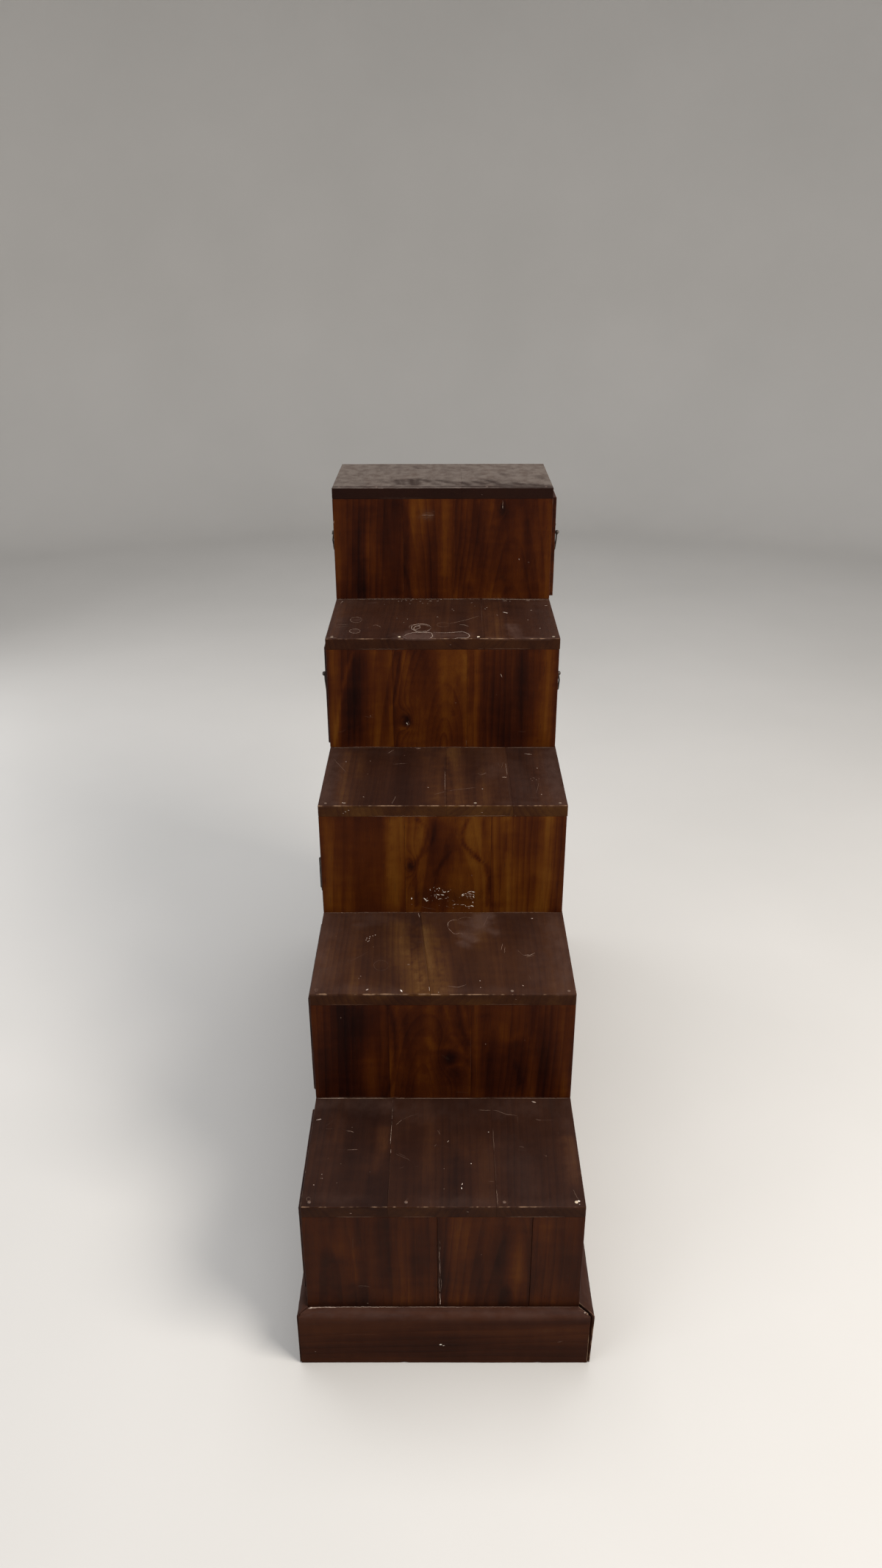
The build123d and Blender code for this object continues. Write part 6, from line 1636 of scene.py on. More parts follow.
# ---------------------------------------------------------------------------
# plinth: four boards, mitred at the corners
# ---------------------------------------------------------------------------
def make_plinth():
    arris = (PLINTH_ARRIS, 0.22)

    # painted highlight: a grey film along the top 11 mm of each plinth board, where the arris catches the light
    def haze(p):
        return 0.42 * np.exp(-((PLINTH_H - p[:, 2]) / 11.0).clip(0) ** 2) + 0.0

    def mitre_x(q):
        depth = np.minimum(np.abs(np.abs(q[:, 1]) - PY), PLINTH_T)
        q[:, 0] = q[:, 0] * (PX - depth) / PX
        return q

    def mitre_front(q):
        q = mitre_x(q)
        q[:, 0] += 1.4
        return q

    def mitre_y(q):
        depth = np.abs(np.abs(q[:, 0]) - PX)
        q[:, 1] *= (PY - np.minimum(depth, PLINTH_T)) / PY
        return q

    lean, turn = math.radians(1.5), math.asin(4.3 / (2 * PY))

    def splayed(q):
        q = mitre_y(q)
        x, y, z = q[:, 0] - PX, q[:, 1] - PY, q[:, 2] * (PLINTH_H - 0.6) / PLINTH_H
        x, z = x * math.cos(lean) + z * math.sin(lean), z * math.cos(lean) - x * math.sin(lean)
        q[:, 0] = PX + x * math.cos(turn) - y * math.sin(turn)
        q[:, 1] = PY + x * math.sin(turn) + y * math.cos(turn)
        q[:, 2] = z
        return q

    common = dict(pitch=4.5, pitch_other=6.0, r=0.9, worn=0.2, haze_at=haze, wave=0.3, mottle=0.45, tone=0.28)
    for name, box, face, seed in (("plinth_front", (-PX, PX, -PY, -PY + PLINTH_T, 0, PLINTH_H), "y0", 61),
                                  ("plinth_back", (-PX, PX, PY - PLINTH_T, PY, 0, PLINTH_H), "y1", 62)):
        b = Build()
        board = Board(box, grain="x", face=face, seed=seed, post=mitre_front if face == "y0" else mitre_x, pith=(55, 70), lean=(0.01, 0.02),
                      streaks=[(30, 36, 10, -0.14), (74, 66, 10, 0.12)],
                      edges={face + "z1": arris, "x0" + face: (1.4, 0.35), "x1" + face: (1.6, 0.95), face + "z0": (1.4, 0.2),
                             "x0z1": (2.0, 0.35), "x1z1": (2.4, 0.95)},
                      chips=[("y0z0", -60, 1.8, 5), ("y0z0", 140, 1.4, 4)] if face == "y0" else [], **common)
        board.add_to(b)
        if face == "y0":
            add_marks([board], b, (0.0, PLINTH_MARKS), 61)
            top = on_face(board, "z1")
            top.post = mitre_front
            add_marks([top], b, (0.0, PLINTH_TOP_MARKS), 65)
        finish_piece(b, name, [M_PLINTH])
    for name, box, face, seed, post in (
            ("plinth_left", (-PX, -PX + PLINTH_T, -PY, PY, 0, PLINTH_H), "x0", 63, mitre_y),
            ("plinth_right", (PX - PLINTH_T, PX, -PY, PY, 0, PLINTH_H), "x1", 64, splayed)):
        b = Build()
        Board(box, grain="y", face=face, seed=seed, post=post, pith=(50, 70), lean=(0.008, 0.02),
              streaks=[(28, 38, 10, -0.14), (78, 66, 10, 0.12)],
              edges={face + "z1": arris, face + "y0": (1.6, 0.35 if face == "x0" else 0.9), face + "y1": (1.6, 0.35), face + "z0": (1.4, 0.2),
                     "y0z1": (2.4, 0.3 if face == "x0" else 0.9), "y1z1": (2.0, 0.3)},
              **common).add_to(b)
        finish_piece(b, name, [M_PLINTH])


PLINTH_TOP_MARKS = [("s", 1.7, 1.1, [(-214, -569.8), (-196, -569.6), (-160, -569.3)]), ("s", 1.0, 1.1, [(-176, -569.1), (-64, -569.1)]),
                    ("s", 1.7, 1.1, [(-214.4, -571.6), (-208, -571.2), (-200, -570.6)]), ("w", 2.2, 0.9, [(-211, -570.6), (-207, -570.4)]),
                    ("s", 0.9, 0.9, [(-68, -569.1), (42, -569.0)]), ("s", 0.8, 0.7, [(38, -569.1), (128, -569.0)]),
                    ("s", 0.8, 0.5, [(124, -569.1), (209, -569.0)]),
                    ("s", 1.5, 0.75, [(213.2, -582.4), (213.6, -578), (213.2, -573), (213.4, -569)]),
                    ("w", 2.6, 0.62, [(209.6, -579.6), (212.4, -577.4)]), ("s", 1.0, 0.5, [(206, -574), (211, -577)])]
PLINTH_MARKS = [("w", 3.2, 1.2, [(-7.4, 40.0), (-3.6, 40.6)]), ("w", 1.6, 0.9, [(-3.0, 37.6), (0.4, 38.2)]), ("w", 1.8, 0.6, [(-192.9, 25.2), (-191.9, 25.2)]),
                ("s", 0.8, 0.6, [(168, 45), (171, 46.9), (176, 48.4)]), ("s", 0.7, 0.3, [(-55, 78.4), (-49, 79.0)]),
                ("s", 0.6, 0.3, [(-150, 62), (-120, 63), (-96, 61.6)]), ("s", 0.6, 0.25, [(60, 30), (96, 28.6)])]


# ---------------------------------------------------------------------------
# the carcass behind the steps
# ---------------------------------------------------------------------------
def inner_row(name, joints, y0, y1, z0, z1, grain, face, seed, x0=-HW, x1=HW, mats=None, pitch=8.0, **kw):
    b = Build()
    row(b, joints, y0, y1, z0, z1, None, grain=grain, face=face, pitch=pitch, pitch_other=pitch, seed=seed, x0=x0, x1=x1,
        r=0.6, worn=0.2, joint_edge=(0.35, 0.1), outer=(1.1, 0.32), wave=0.2, mottle=0.4, **kw)
    return finish_piece(b, name, mats or [M_CASE])


def make_carcass():
    b = Build()
    row(b, [-64.0, 71.0], YBI, YB, PLINTH_H, TU[4],
        [dict(tone=-0.05, pith=(60, 40)), dict(tone=0.0, pith=(10, 20), lean=(0.02, 0.12)), dict(tone=-0.08, pith=(-50, 50))],
        grain="z", face="y1", pitch=6.0, pitch_other=8.0, seed=71, r=0.7, worn=0.16, wave=0.5, outer=(1.2, 0.4),
        joint_edge=(0.9, 0.2), mottle=0.5, haze=0.18)
    finish_piece(b, "rear_panel", [M_BACK])
    inner_row("partition_1", [20.0], RY[1], RY[1] + RISER_T, Z_FLOOR, TU[0], "z", "y0", 81)
    inner_row("partition_2", [-35.0], RY[2], RY[2] + RISER_T, TZ[0], TU[1], "z", "y0", 82)
    inner_row("partition_3", [5.0], RY[3], RY[3] + RISER_T, TZ[0], TU[2], "z", "y0", 83, x0=-181.4, x1=182.0)
    inner_row("partition_4", [30.0], RY[4], RY[4] + RISER_T, TZ[2], TU[3], "z", "y0", 84)
    inner_row("dust_board_2", [48.0], RY[3] + RISER_T, YBI, TU[2], TZ[2], "y", "z1", 85)
    inner_row("dust_board_3", [-40.0], RY[4] + RISER_T, YBI, TU[3], TZ[3], "y", "z1", 86)
    b = Build()
    for k, (y0, y1) in enumerate(((-103.5, 105.5), (123.5, YBI))):
        row(b, [-20.0 + 50 * k], y0, y1, 486.0, 500.0, None, grain="y", face="z1", pitch=8.0, pitch_other=8.0,
            seed=87 + k, x0=-173.4, x1=182.0, r=0.7, worn=0.2, wave=0.2, edges={"x0z1": (1.5, 0.4)} if k > 3 else None)
    finish_piece(b, "cupboard_shelves", [M_CASE])


def framed(b, y0, y1, z0, z1, xa, xb, side, rail, seed, through="stile", pegs=True):
    """Stiles and rails of one panelled frame; side is -1 for the left of the chest."""
    face = "x0" if side < 0 else "x1"
    outer = {f"{face}z0": (1.1, 0.34), f"{face}z1": (1.1, 0.34), f"{face}y0": (1.1, 0.34), f"{face}y1": (1.1, 0.34)}
    if side > 0:
        outer = {f"{face}z0": (1.1, 0.34), f"{face}z1": (1.1, 0.34), f"{face}y0": (1.1, 0.34), f"{face}y1": (1.1, 0.34)}
    kw = dict(face=face, pitch=4.0, pitch_other=6.0, r=0.6, worn=0.2, wave=0.16, mottle=0.4, edges=outer)
    Board((xa, xb, y0, y0 + rail, z0, z1), grain="z", seed=seed, tone=0.0, pith=(60, 40), **kw).add_to(b)
    Board((xa, xb, y1 - rail, y1, z0, z1), grain="z", seed=seed + 1, tone=-0.06, pith=(-70, 50), **kw).add_to(b)
    Board((xa, xb, y0 + rail, y1 - rail, z0, z0 + rail), grain="y", seed=seed + 2, tone=0.04, pith=(50, 60), **kw).add_to(b)
    Board((xa, xb, y0 + rail, y1 - rail, z1 - rail, z1), grain="y", seed=seed + 3, tone=-0.03, pith=(-60, 60), **kw).add_to(b)
    if pegs:
        s = -1.0 if side < 0 else 1.0
        x = xa if side < 0 else xb
        for yy in (y0 + rail * 0.5, y1 - rail * 0.5):
            for zz in (z0 + rail * 0.5, z1 - rail * 0.5):
                turned(b, np.array([x - s * 1.0, yy, zz]), (s, 0, 0), [(0, 0), (2.4, 0), (2.4, 1.0), (2.0, 1.22), (0, 1.3)],
                       segments=14, mat=1, wear=0.0, seed=int(yy + zz))


def panel_shape(y0, y1, z0, z1, margin=15.0, depth=1.6):
    """A raised field: level in the middle, falling away to the edges."""
    def f(p):
        d = np.minimum(np.minimum(p[:, 1] - y0, y1 - p[:, 1]), np.minimum(p[:, 2] - z0, z1 - p[:, 2]))
        t = np.clip(d / margin, 0, 1)
        return -depth * (1 - t * t * (3 - 2 * t))
    return f


def panel(b, y0, y1, z0, z1, xa, xb, side, seed, knot=None, tone=0.05):
    face = "x0" if side < 0 else "x1"
    Board((xa, xb, y0 - 0.0, y1 + 0.0, z0, z1), grain="z", face=face, pitch=4.0, pitch_other=6.0, r=0.4, worn=0.0,
          seed=seed, tone=tone, pith=(8, 16), lean=(0.03, 0.16), knot=knot, wave=0.25, mottle=0.5,
          shape=panel_shape(y0, y1, z0, z1)).add_to(b)


def make_sides():
    b = Build()
    y0, y1, z0, z1, m = -103.5, 552.5, 303.0, 683.0, 224.5
    edge = {"x1z0": (1.1, 0.3), "x1z1": (1.1, 0.3), "x1y0": (1.1, 0.3), "x1y1": (1.1, 0.3)}
    kw = dict(face="x1", pitch=4.5, pitch_other=7.0, r=0.6, worn=0.2, wave=0.16, mottle=0.4, edges=edge)
    for k, (a, c) in enumerate(((y0, y0 + 44), (m - 22, m + 22), (y1 - 44, y1))):
        Board((182, 200, a, c, z0, z1), grain="z", seed=101 + k, pith=(60 - 40 * k, 45), tone=0.03 * k - 0.04, **kw).add_to(b)
    for k, (a, c) in enumerate(((y0 + 44, m - 22), (m + 22, y1 - 44))):
        Board((182, 200, a, c, z0, z0 + 44), grain="y", seed=105 + k, pith=(50, 60), **kw).add_to(b)
        Board((182, 200, a, c, z1 - 44, z1), grain="y", seed=107 + k, pith=(-50, 60), **kw).add_to(b)
        panel(b, a, c, z0 + 44, z1 - 44, 185, 195, 1, 109 + k, tone=0.08 - 0.06 * k)
        for yy in (a - 22, c + 22):
            for zz in (z0 + 22, z1 - 22):
                turned(b, np.array([199.0, yy, zz]), (1, 0, 0), [(0, 0), (2.4, 0), (2.4, 1.0), (2.0, 1.22), (0, 1.3)],
                       segments=14, mat=1, seed=int(yy + zz))
    finish_piece(b, "side_panel_upper", [M_SIDE, M_PEG])
    b = Build()
    for k, (a, c) in enumerate(((-329.5, 96.0), (96.0, 552.5))):
        Board((186, 199, a, c, 121, 283), grain="y", face="x1", pitch=4.5, pitch_other=7.0, seed=111 + k, r=0.8, worn=0.3,
              wave=0.3, pith=(12, 20), lean=(0.02, 0.08), tone=0.04 - 0.08 * k, mottle=0.5).add_to(b)
    finish_piece(b, "side_panel_lower", [M_SIDE])


def make_doors():
    for k, (name, ya, yb) in enumerate((("door_front", -102.3, 223.8), ("door_rear", 225.2, 551.3))):
        za, zb = 303.8, 681.6
        b = Build()
        framed(b, ya, yb, za, zb, -200.0, -182.0, -1, 42.0, 121 + 5 * k)
        finish_piece(b, f"{name}_frame", [M_SIDE, M_PEG])
        b = Build()
        panel(b, ya + 42, yb - 42, za + 42, zb - 42, -196.0, -186.0, -1, 131 + k, tone=0.08 - 0.05 * k,
              knot=(ya + 210.0, 560.0, 13.0, 24.0, 22.0) if k == 0 else None)
        finish_piece(b, f"{name}_panel", [M_SIDE])


def make_sliders():
    for k, (name, x0, ya, yb, yg) in enumerate((("sliding_door_front", -193.5, -329.0, 125.5, -299.5),
                                                ("sliding_door_rear", -179.5, 97.5, 552.0, 522.5))):
        za, zb = 117.4, 289.4

        def shape(p, yg=yg, ya=ya, yb=yb):
            field = np.minimum(np.minimum(p[:, 1] - ya - 20, yb - 20 - p[:, 1]), np.minimum(p[:, 2] - 143, 264 - p[:, 2]))
            out = -1.5 * np.clip(field / 2.0, 0, 1) * np.clip((field + 0.01) * 100, 0, 1)
            grip = np.minimum(8.0 - np.abs(p[:, 1] - yg), 28.0 - np.abs(p[:, 2] - 202.0))
            return np.where(grip > -6, np.minimum(out * np.clip(-grip / 6, 0, 1), -3.5 * np.clip(grip / 1.6, 0, 1)), out)

        b = Build()
        board = Board((x0, x0 + 10, ya, yb, za, zb), grain="y", face="x0", pitch=2.6, pitch_other=6.0, seed=141 + k,
                      r=0.8, worn=0.3, wave=0.12, pith=(14, 22), lean=(0.02, 0.1), shape=shape, tone=0.04 - 0.06 * k,
                      mottle=0.5)
        board.add_to(b)
        finish_piece(b, name, [M_SIDE])


# ---------------------------------------------------------------------------
# drawers and their pulls
# ---------------------------------------------------------------------------
DRAWERS = {  # opening y0, y1, z0, z1, how far it stands out at the right, height of its pulls over the middle, ends with a pull
    "drawer_1": (-550.5, -347.5, 121.0, 283.0, -4.0, 12.0, "right"),
    "drawer_2": (-329.5, -121.5, 303.0, 482.0, -3.0, 13.0, "right"),
    "drawer_3": (123.5, 335.5, 703.0, 885.0, -2.6, 14.0, "left right"),
    "drawer_4": (353.5, 552.5, 703.0, 885.0, 1.0, 13.0, "left right"),
    "drawer_5": (353.5, 552.5, 905.0, 1091.0, 4.8, 12.0, "left right"),
}
DRAWER_REACH = {"drawer_5": 203.4}             # half length; 202 unless given
BAIL_SET = {"drawer_3_bail_left": (-0.5, -1.8), "drawer_3_bail_right": (2.4, 1.4),
            "drawer_5_bail_left": (2.4, 0.6), "drawer_5_bail_right": (-0.6, -2.4)}


def make_drawer(name, k):
    a, c, z0, z1, off, lift, ends = DRAWERS[name]
    y0, y1, za, zb = a + 1.2, c - 1.2, z0 + 0.4, z1 - 1.4
    reach = DRAWER_REACH.get(name, 202.0)
    b = Build()
    for side, xa, xb in ((-1, -reach + off, -reach + 18 + off), (1, reach - 18 + off, reach + off)):
        face = "x0" if side < 0 else "x1"
        e = {f"{face}y0": (1.5, 0.45), f"{face}y1": (1.5, 0.45), f"{face}z0": (1.4, 0.4), f"{face}z1": (1.5, 0.5)}
        if name == "drawer_2" and side < 0:
            e[f"{face}z0"] = (4.8, 0.3)
        Board((xa, xb, y0, y1, za, zb), grain="y", face=face, pitch=4.0, pitch_other=5.0, seed=151 + 5 * k + side, r=0.7,
              worn=0.25, edges=e, wave=0.2, pith=(6 - 20 * side, 18), lean=(0.03, 0.2 * side), tone=0.08 * side - 0.02,
              mottle=0.55, streaks=[((za + zb) / 2 - 40, (za + zb) / 2 - 30, 12, 0.2), ((za + zb) / 2 + 30, (za + zb) / 2 + 44, 14, -0.2)]
              ).add_to(b, 0)
    xl, xr = -reach + 18 + off, reach - 18 + off
    for j, (ya, yb) in enumerate(((y0 + 0.8, y0 + 10.8), (y1 - 10.8, y1 - 0.8))):
        Board((xl, xr, ya, yb, za, zb - 7.6), grain="x", face="y0" if j == 0 else "y1", pitch=8.0, pitch_other=8.0,
              seed=171 + 5 * k + j, r=0.8, worn=0.1, wave=0.2, pith=(30, 40), mottle=0.4).add_to(b, 1)
    Board((xl, xr, y0 + 10.8, y1 - 10.8, za + 3.6, za + 9.6), grain="x", face="z1", pitch=8.0, pitch_other=8.0,
          seed=181 + k, r=0.4, worn=0.0, wave=0.2, pith=(60, 40), mottle=0.4).add_to(b, 1)
    finish_piece(b, name, [M_SIDE, M_RAW])

    yc, zc = (y0 + y1) / 2, (z0 + z1) / 2 + lift
    posts = Build()
    for side, end in ((-1, "left"), (1, "right")):
        if end not in ends:
            continue
        xf = side * reach + off
        for dy in (-32.0, 32.0):
            make_post(posts, xf, yc + dy, zc, side, seed=int(200 + 10 * k + dy + side))
        bail = Build()
        make_bail(bail, xf, yc, zc, side, *BAIL_SET.get(f"{name}_bail_{end}", (1.0, -0.6)), seed=220 + 3 * k + side)
        finish_piece(bail, f"{name}_bail_{end}", [M_IRON])
    finish_piece(posts, f"{name}_posts", [M_IRON])


def make_post(b, xf, y, z, s, seed):
    # petalled rosette
    turned(b, np.array([xf - s * 0.4, y, z]), (s, 0, 0),
           [(0, 0), (7.0, 0.0), (7.1, 0.55), (6.7, 1.1), (5.4, 1.75), (4.2, 1.62), (3.4, 1.9), (0, 2.0)],
           segments=48, petals=8, petal_depth=0.16, wear_fn=lambda h: 0.15 + 0.35 * (h > 1.4), seed=seed, noise=0.04)
    # stem and ball head
    prof = [(0, 0.0), (3.3, 0.0), (3.2, 1.9), (2.6, 2.5), (2.4, 4.2), (2.6, 5.8)]
    for a in np.radians([-50, -38, -22, -6, 10, 26, 42, 58, 72, 84]):
        prof.append((4.2 * math.cos(a), 9.6 + 4.1 * math.sin(a)))
    prof.append((0, 9.6 + 4.15))
    turned(b, np.array([xf, y, z]), (s, 0, 0), prof, segments=28,
           wear_fn=lambda h: np.clip((h - 7.0) / 6.0, 0, 1) * 0.62 + 0.1, seed=seed, noise=0.07)


def make_bail(b, xf, yc, zc, s, bow, foot, seed):
    h, leg, drop = 32.0, 32.0 - 4.2 - 2.2, 36.5
    xo = xf + s * 9.6
    pts = [(xo, yc - h + 0.6, zc), (xo, yc - leg, zc), (xo + s * bow, yc - leg - 1, zc - 15), (xo + s * foot, yc - leg + 5, zc - drop),
           (xo + s * foot, yc + leg - 5, zc - drop), (xo + s * bow, yc + leg + 1, zc - 15), (xo, yc + leg, zc), (xo, yc + h - 0.6, zc)]
    path = fillet_path(pts, [2.6, 9.0, 7.0, 7.0, 9.0, 2.6], arc_steps=8, run_step=2.4)
    d = np.concatenate([[0], np.cumsum(np.linalg.norm(np.diff(path, axis=0), axis=1))])
    t = d / d[-1]
    rad = 1.42 + 0.62 * np.exp(-((t - 0.5) / 0.17) ** 2)
    rad = np.where((t < 0.045) | (t > 0.955), 1.38, rad)
    collar = np.exp(-((t - 0.075) / 0.012) ** 2) + np.exp(-((t - 0.925) / 0.012) ** 2)
    rad = rad + 0.35 * collar
    wear = 0.34 + 0.34 * np.exp(-((t - 0.5) / 0.2) ** 2) + 0.1 * np.sin(t * 60)
    swept(b, path, rad, sides=14, wear=wear, seed=seed, noise=0.05)


# ---------------------------------------------------------------------------
# hinges and ring pulls
# ---------------------------------------------------------------------------
def outline_plate(b, pts, x, s, thick, seed, wear=0.3, inset=0.45):
    """A flat forged plate: pts is its outline (y, z) round a middle it can be seen from."""
    pts = np.asarray(pts, float)
    mid = pts.mean(0)
    shrink = lambda k: mid + (pts - mid) * (1 - k / np.linalg.norm(pts - mid, axis=1))[:, None]
    rings = [(0.0, pts), (thick * 0.62, pts), (thick * 0.9, shrink(inset * 0.5)), (thick, shrink(inset * 1.3)),
             (thick * 1.02, shrink(inset * 6))]
    n = len(pts)
    co = np.concatenate([np.column_stack([np.full(n, x + s * h), q]) for h, q in rings])
    co = np.concatenate([co, [[x, *mid], [x + s * thick * 1.03, *mid]]])
    idx = np.arange(len(rings) * n).reshape(len(rings), n)
    nxt = np.roll(idx, -1, 1)
    quads = np.stack([idx[:-1], nxt[:-1], nxt[1:], idx[1:]], -1).reshape(-1, 4)
    c0, c1 = len(rings) * n, len(rings) * n + 1
    tris = np.concatenate([np.stack([np.full(n, c0), nxt[0], idx[0]], 1), np.stack([np.full(n, c1), idx[-1], nxt[-1]], 1)])
    a, e, g = co[quads[0][0]], co[quads[0][1]], co[quads[0][2]]
    out = np.cross(e - a, g - a) @ (np.array([x, *pts[0]]) - np.array([x, *mid]))
    if out < 0:
        quads, tris = quads[:, ::-1], tris[:, ::-1]
    look = np.zeros((len(co), 3))
    look[:, 1] = wear * 0.5
    look[2 * n:4 * n, 1] = wear * 1.6
    co = co + 0.05 * np.stack([vnoise(co / 4.0, seed), vnoise(co / 4.0, seed + 1), vnoise(co / 4.0, seed + 2)], 1)
    b.add(co, [quads, tris], 0, look=look, look2=(0, 0, seed % 97))


def stud(b, x, y, z, s, seed, r=1.9):
    turned(b, np.array([x - s * 0.2, y, z]), (s, 0, 0),
           [(0, 0), (r, 0), (r * 1.02, 0.35), (r * 0.86, 0.8), (r * 0.5, 1.15), (0, 1.3)], segments=16,
           wear_fn=lambda h: 0.25 + 0.45 * (h > 0.8), seed=seed, noise=0.05)


def leaf_outline(y_in, y_out, z0, z1):
    """Straight at the knuckles, a shallow three-lobed edge away from them."""
    n = 22
    z = np.linspace(z0, z1, n)
    t = (z - z0) / (z1 - z0)
    lobe = np.abs(np.sin(3 * np.pi * t)) ** 0.6
    d = y_out - y_in
    far = y_in + d * (0.72 + 0.28 * lobe)
    near = [(y_in, zz) for zz in np.linspace(z1, z0, 12)]
    return [(yy, zz) for yy, zz in zip(far, z)] + near


def knuckle(b, y, za, zb, seed, r=2.2):
    turned(b, np.array([-202.6, y, za]), (0, 0, 1), [(0, 0), (r - 0.25, 0), (r, 0.3), (r, (zb - za) / 2), (r, zb - za - 0.3),
                                                    (r - 0.25, zb - za), (0, zb - za)],
           segments=22, wear=0.42, seed=seed, noise=0.03)


def make_hinges():
    fixed, front, rear = Build(), Build(), Build()
    for k, z0 in enumerate((389.0, 541.0)):
        h3 = 56.0 / 3
        for y_axis, sgn, y_case, moving in ((-102.9, 1, -103.5, front), (551.9, -1, 552.5, rear)):
            yo, yi = y_case - sgn * 15.0, y_axis - sgn * 2.55
            outline_plate(fixed, leaf_outline(yi, yo, z0, z0 + 56), -200.0, -1, 1.4, 301 + k)
            for lo, hi in ((z0, z0 + h3 - 0.3), (z0 + 2 * h3 + 0.3, z0 + 56)):
                plate(fixed, (-201.4, -200.4, min(y_axis, y_axis - sgn * 2.8), max(y_axis, y_axis - sgn * 2.8), lo, hi), r=0.2,
                      pitch=4, seed=305, wear=0.4)
                knuckle(fixed, y_axis, lo, hi, 311 + k)
            yi2, yo2 = y_axis + sgn * 2.55, y_axis + sgn * 17.2
            outline_plate(moving, leaf_outline(yi2, yo2, z0, z0 + 56), -200.0, -1, 1.4, 321 + k)
            plate(moving, (-201.4, -200.4, min(y_axis, y_axis + sgn * 2.8), max(y_axis, y_axis + sgn * 2.8), z0 + h3, z0 + 2 * h3),
                  r=0.2, pitch=4, seed=325, wear=0.4)
            knuckle(moving, y_axis, z0 + h3, z0 + 2 * h3, 331 + k)
            for zz in (9.5, 28.0, 46.5):
                stud(fixed, -201.2, y_axis - sgn * 9.4, z0 + zz, -1, 341 + int(zz))
                stud(moving, -201.2, y_axis + sgn * 10.6, z0 + zz, -1, 351 + int(zz))
    finish_piece(fixed, "hinge_fixed_leaves", [M_IRON])
    for name, b, y0 in (("door_front", front, 203.5), ("door_rear", rear, 245.5)):
        turned(b, np.array([-199.8, y0, 512.0]), (-1, 0, 0),
               [(0, 0), (12.6, 0.0), (12.8, 0.6), (12.2, 1.15), (10.4, 1.4), (9.6, 1.15), (7.4, 1.2), (6.6, 1.55), (4.4, 1.75), (0, 1.8)],
               segments=72, petals=12, petal_depth=0.07, wear_fn=lambda h: 0.12 + 0.4 * (h > 1.3), seed=361, noise=0.05)
        # shank and eye
        plate(b, (-203.4, -200.0, y0 - 1.3, y0 + 1.3, 512 - 2.0, 512 + 2.0), r=0.5, pitch=1.2, seed=363, wear=0.5)
        th = np.linspace(0, 2 * np.pi, 28, endpoint=False)
        eye = np.stack([-206 + 3.32 * np.cos(th), np.full(28, y0), 512 + 3.32 * np.sin(th)], 1)
        swept(b, eye, 0.88, sides=12, closed=True, wear=0.5, seed=365, flatten=1.0, noise=0.03)
        for a in (45, 135, 225, 315):
            stud(b, -200.9, y0 + 9.0 * math.cos(math.radians(a)), 512 + 9.0 * math.sin(math.radians(a)), -1, 367 + a, r=1.2)
        finish_piece(b, f"{name}_iron", [M_IRON])
        r = Build()
        th = np.linspace(0, 2 * np.pi, 64, endpoint=False)
        path = np.stack([np.full(64, -206.0), y0 + 15 * np.sin(th), 497 + 15 * np.cos(th)], 1)
        swept(r, path, 1.62 + 0.12 * np.cos(th + np.pi), sides=14, closed=True, wear=0.42 + 0.2 * np.cos(th + np.pi), seed=371, noise=0.05)
        finish_piece(r, f"{name}_ring", [M_IRON])


def make_pegs():
    b = Build()
    g = rng(5)
    for i in range(5):
        for j, x in enumerate(PEG_X[i]):
            up = g.uniform(0.10, 0.45)
            n0 = b.n
            o = np.array([x, RY[i] + RISER_T / 2, TZ[i] - 46.0])
            r = 2.6
            turned(b, o, (0, 0, 1), [(0, 0), (r - 0.3, 0), (r, 0.5), (r, 30), (r, 46 + up - 0.3), (r - 0.35, 46 + up), (0, 46 + up + 0.12)],
                   segments=20, wear=0.0, seed=401 + i, noise=0.05)
            # end grain: the peg's own place in the log, and how pale it is
            co = b.co[-1]
            b.attr["tree"][-1] = (co - o) * MM
            look = b.attr["look"][-1]
            look[:, 2] = PEG_PALE[i][j]
    return finish_piece(b, "tread_pegs", [M_PEG])


PEG_PALE = [[0.0, 0.05, 0.03, 0.65], [0.12, 0.7, 0.14, 0.1], [0.15, 0.15, 0.25, 0.15], [0.3, 0.7, 0.7, 0.3], [0.0, 0.05, 0.05, 0.0]]


# --------------------------------------------------------------------------- CAD nodes that stay: their shape is right, they get a finish, and the corner blocks and pins get softened edges
# CAD nodes that stay: their shape is right, they get a finish and softened edges
# ---------------------------------------------------------------------------
def keep(node, material, width=0.0006):
    ob = frame["nodes"][node]
    ob.data.materials.clear()
    ob.data.materials.append(material)
    weld = ob.modifiers.new("weld", "WELD")
    weld.merge_threshold = 0.00001
    if not width:
        return
    bevel = ob.modifiers.new("bevel", "BEVEL")
    bevel.width = width
    bevel.segments = 2
    bevel.limit_method = "ANGLE"
    bevel.angle_limit = math.radians(40)
    bevel.harden_normals = False


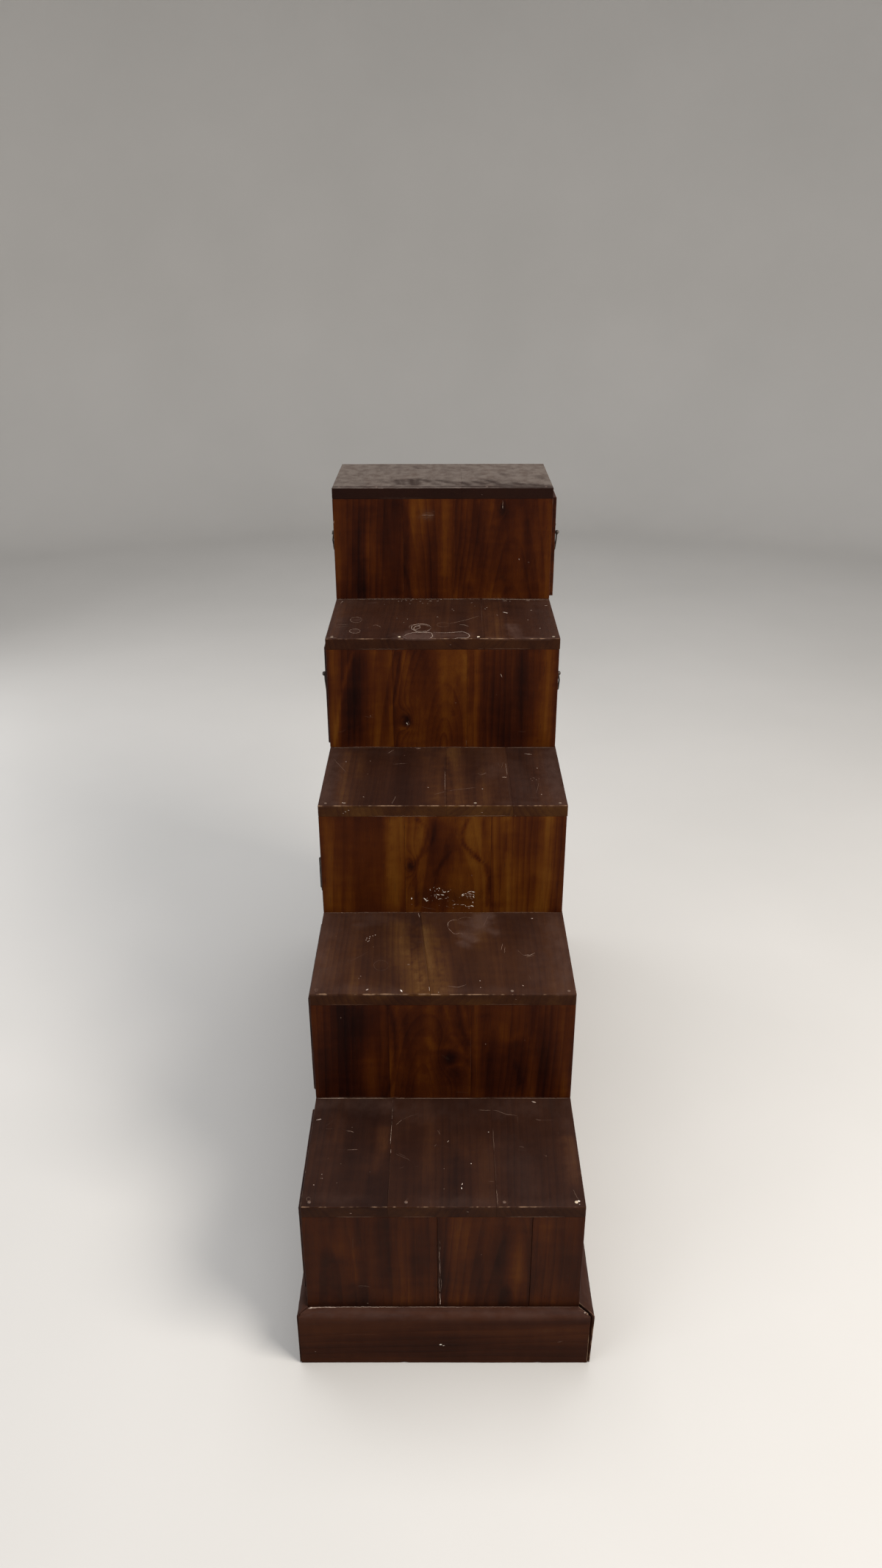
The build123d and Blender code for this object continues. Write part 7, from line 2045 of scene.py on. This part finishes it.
# ---------------------------------------------------------------------------
# studio: floor that rises into a wall all round, soft lights, camera
# ---------------------------------------------------------------------------
def make_stage():
    n_arc, segs = 14, 96
    prof = [(0.0, 0.0), (1.2, 0.0), (2.6, 0.0), (4.6, 0.0)]
    for k in range(1, n_arc + 1):
        a = math.pi / 2 * k / n_arc
        prof.append((4.6 + 1.2 * math.sin(a), 1.2 - 1.2 * math.cos(a)))
    prof += [(5.8, 2.6), (5.8, 4.6)]
    co, faces = [(0.0, 0.0, -0.0003)], []
    for r, z in prof[1:]:
        for k in range(segs):
            t = 2 * math.pi * k / segs
            co.append((r * math.cos(t), r * math.sin(t), z - 0.0003))
    for k in range(segs):
        faces.append((0, 1 + k, 1 + (k + 1) % segs))
    for m in range(len(prof) - 2):
        a0, b0 = 1 + m * segs, 1 + (m + 1) * segs
        for k in range(segs):
            faces.append((a0 + k, b0 + k, b0 + (k + 1) % segs, a0 + (k + 1) % segs))
    me = bpy.data.meshes.new("backdrop")
    me.from_pydata(co, [], faces)
    for p in me.polygons:
        p.use_smooth = True
    ob = bpy.data.objects.new("backdrop", me)
    bpy.context.scene.collection.objects.link(ob)
    n = Nodes("paper")
    soft = n.noise(n.new("ShaderNodeTexCoord").outputs["Object"], detail=3.0, scale=1.4)
    grain = n.noise(n.new("ShaderNodeTexCoord").outputs["Object"], detail=2.0, scale=160.0)
    col = n.mix(soft, (0.46, 0.445, 0.42), (0.52, 0.50, 0.475))
    n.principled(Base_Color=col, Roughness=n.add(0.78, n.centred(grain, 0.06)), Normal=n.bump(grain, 0.08, 0.0006))
    me.materials.append(n.mat)


def area_light(name, at, to, size, watts, colour, size_y=None):
    li = bpy.data.lights.new(name, "AREA")
    li.shape = "RECTANGLE"
    li.size, li.size_y = size, size_y or size
    li.energy = watts
    li.color = colour
    ob = bpy.data.objects.new(name, li)
    bpy.context.scene.collection.objects.link(ob)
    ob.location = at
    ob.rotation_euler = (Vector(to) - Vector(at)).to_track_quat("-Z", "Y").to_euler()
    return ob


def make_lights():
    area_light("key", (2.3, -1.7, 3.1), (0, -0.1, 0.5), 1.8, 180, (1.0, 0.955, 0.90), 1.4)
    area_light("fill", (-3.0, -2.4, 2.2), (0, 0, 0.6), 2.4, 50, (0.92, 0.95, 1.0), 1.8)
    area_light("rim", (-2.6, 1.5, 0.95), (-0.2, 0.1, 0.5), 1.6, 26, (0.95, 0.97, 1.0), 1.4)
    area_light("top", (0.0, 0.6, 4.0), (0, 0.0, 0.6), 2.8, 100, (0.97, 0.98, 1.0), 2.8)
    world = bpy.data.worlds.new("studio") if bpy.context.scene.world is None else bpy.context.scene.world
    bpy.context.scene.world = world
    world.use_nodes = True
    bg = world.node_tree.nodes.get("Background")
    bg.inputs[0].default_value = (0.80, 0.83, 0.88, 1)
    bg.inputs[1].default_value = 0.40
    bpy.context.scene.view_settings.view_transform = "Standard"
    bpy.context.scene.view_settings.look = "None"


def make_camera():
    cam = bpy.data.cameras.new("camera")
    cam.sensor_width = 36.0
    cam.sensor_fit = "AUTO"
    cam.lens = 25.94
    cam.clip_start, cam.clip_end = 0.05, 60
    ob = bpy.data.objects.new("camera", cam)
    bpy.context.scene.collection.objects.link(ob)
    th, ya, ro = math.radians(26.092), math.radians(-0.186), math.radians(0.154)
    fwd = Vector((math.sin(ya) * math.cos(th), math.cos(ya) * math.cos(th), -math.sin(th)))
    right = Vector((math.cos(ya), -math.sin(ya), 0))
    down = fwd.cross(right)
    r = math.cos(ro) * right + math.sin(ro) * down
    d = -math.sin(ro) * right + math.cos(ro) * down
    m = Matrix(((r.x, -d.x, -fwd.x, 0.0024), (r.y, -d.y, -fwd.y, -1.7246), (r.z, -d.z, -fwd.z, 1.5265), (0, 0, 0, 1)))
    ob.matrix_world = m
    bpy.context.scene.camera = ob


# ---------------------------------------------------------------------------
# make everything
# ---------------------------------------------------------------------------
make_camera()
for i in range(5):
    make_tread(i)
    make_riser(i)
make_plinth()
make_carcass()
make_sides()
make_doors()
make_sliders()
for k, name in enumerate(DRAWERS):
    make_drawer(name, k)
make_hinges()
make_pegs()
keep("bottom_board", M_CASE_Y, 0)
keep("dust_board_1", M_CASE_Y, 0)
keep("plinth_corner_blocks", M_BLOCK, 0.001)
keep("hinge_pins", M_PIN, 0.0002)
make_stage()
make_lights()
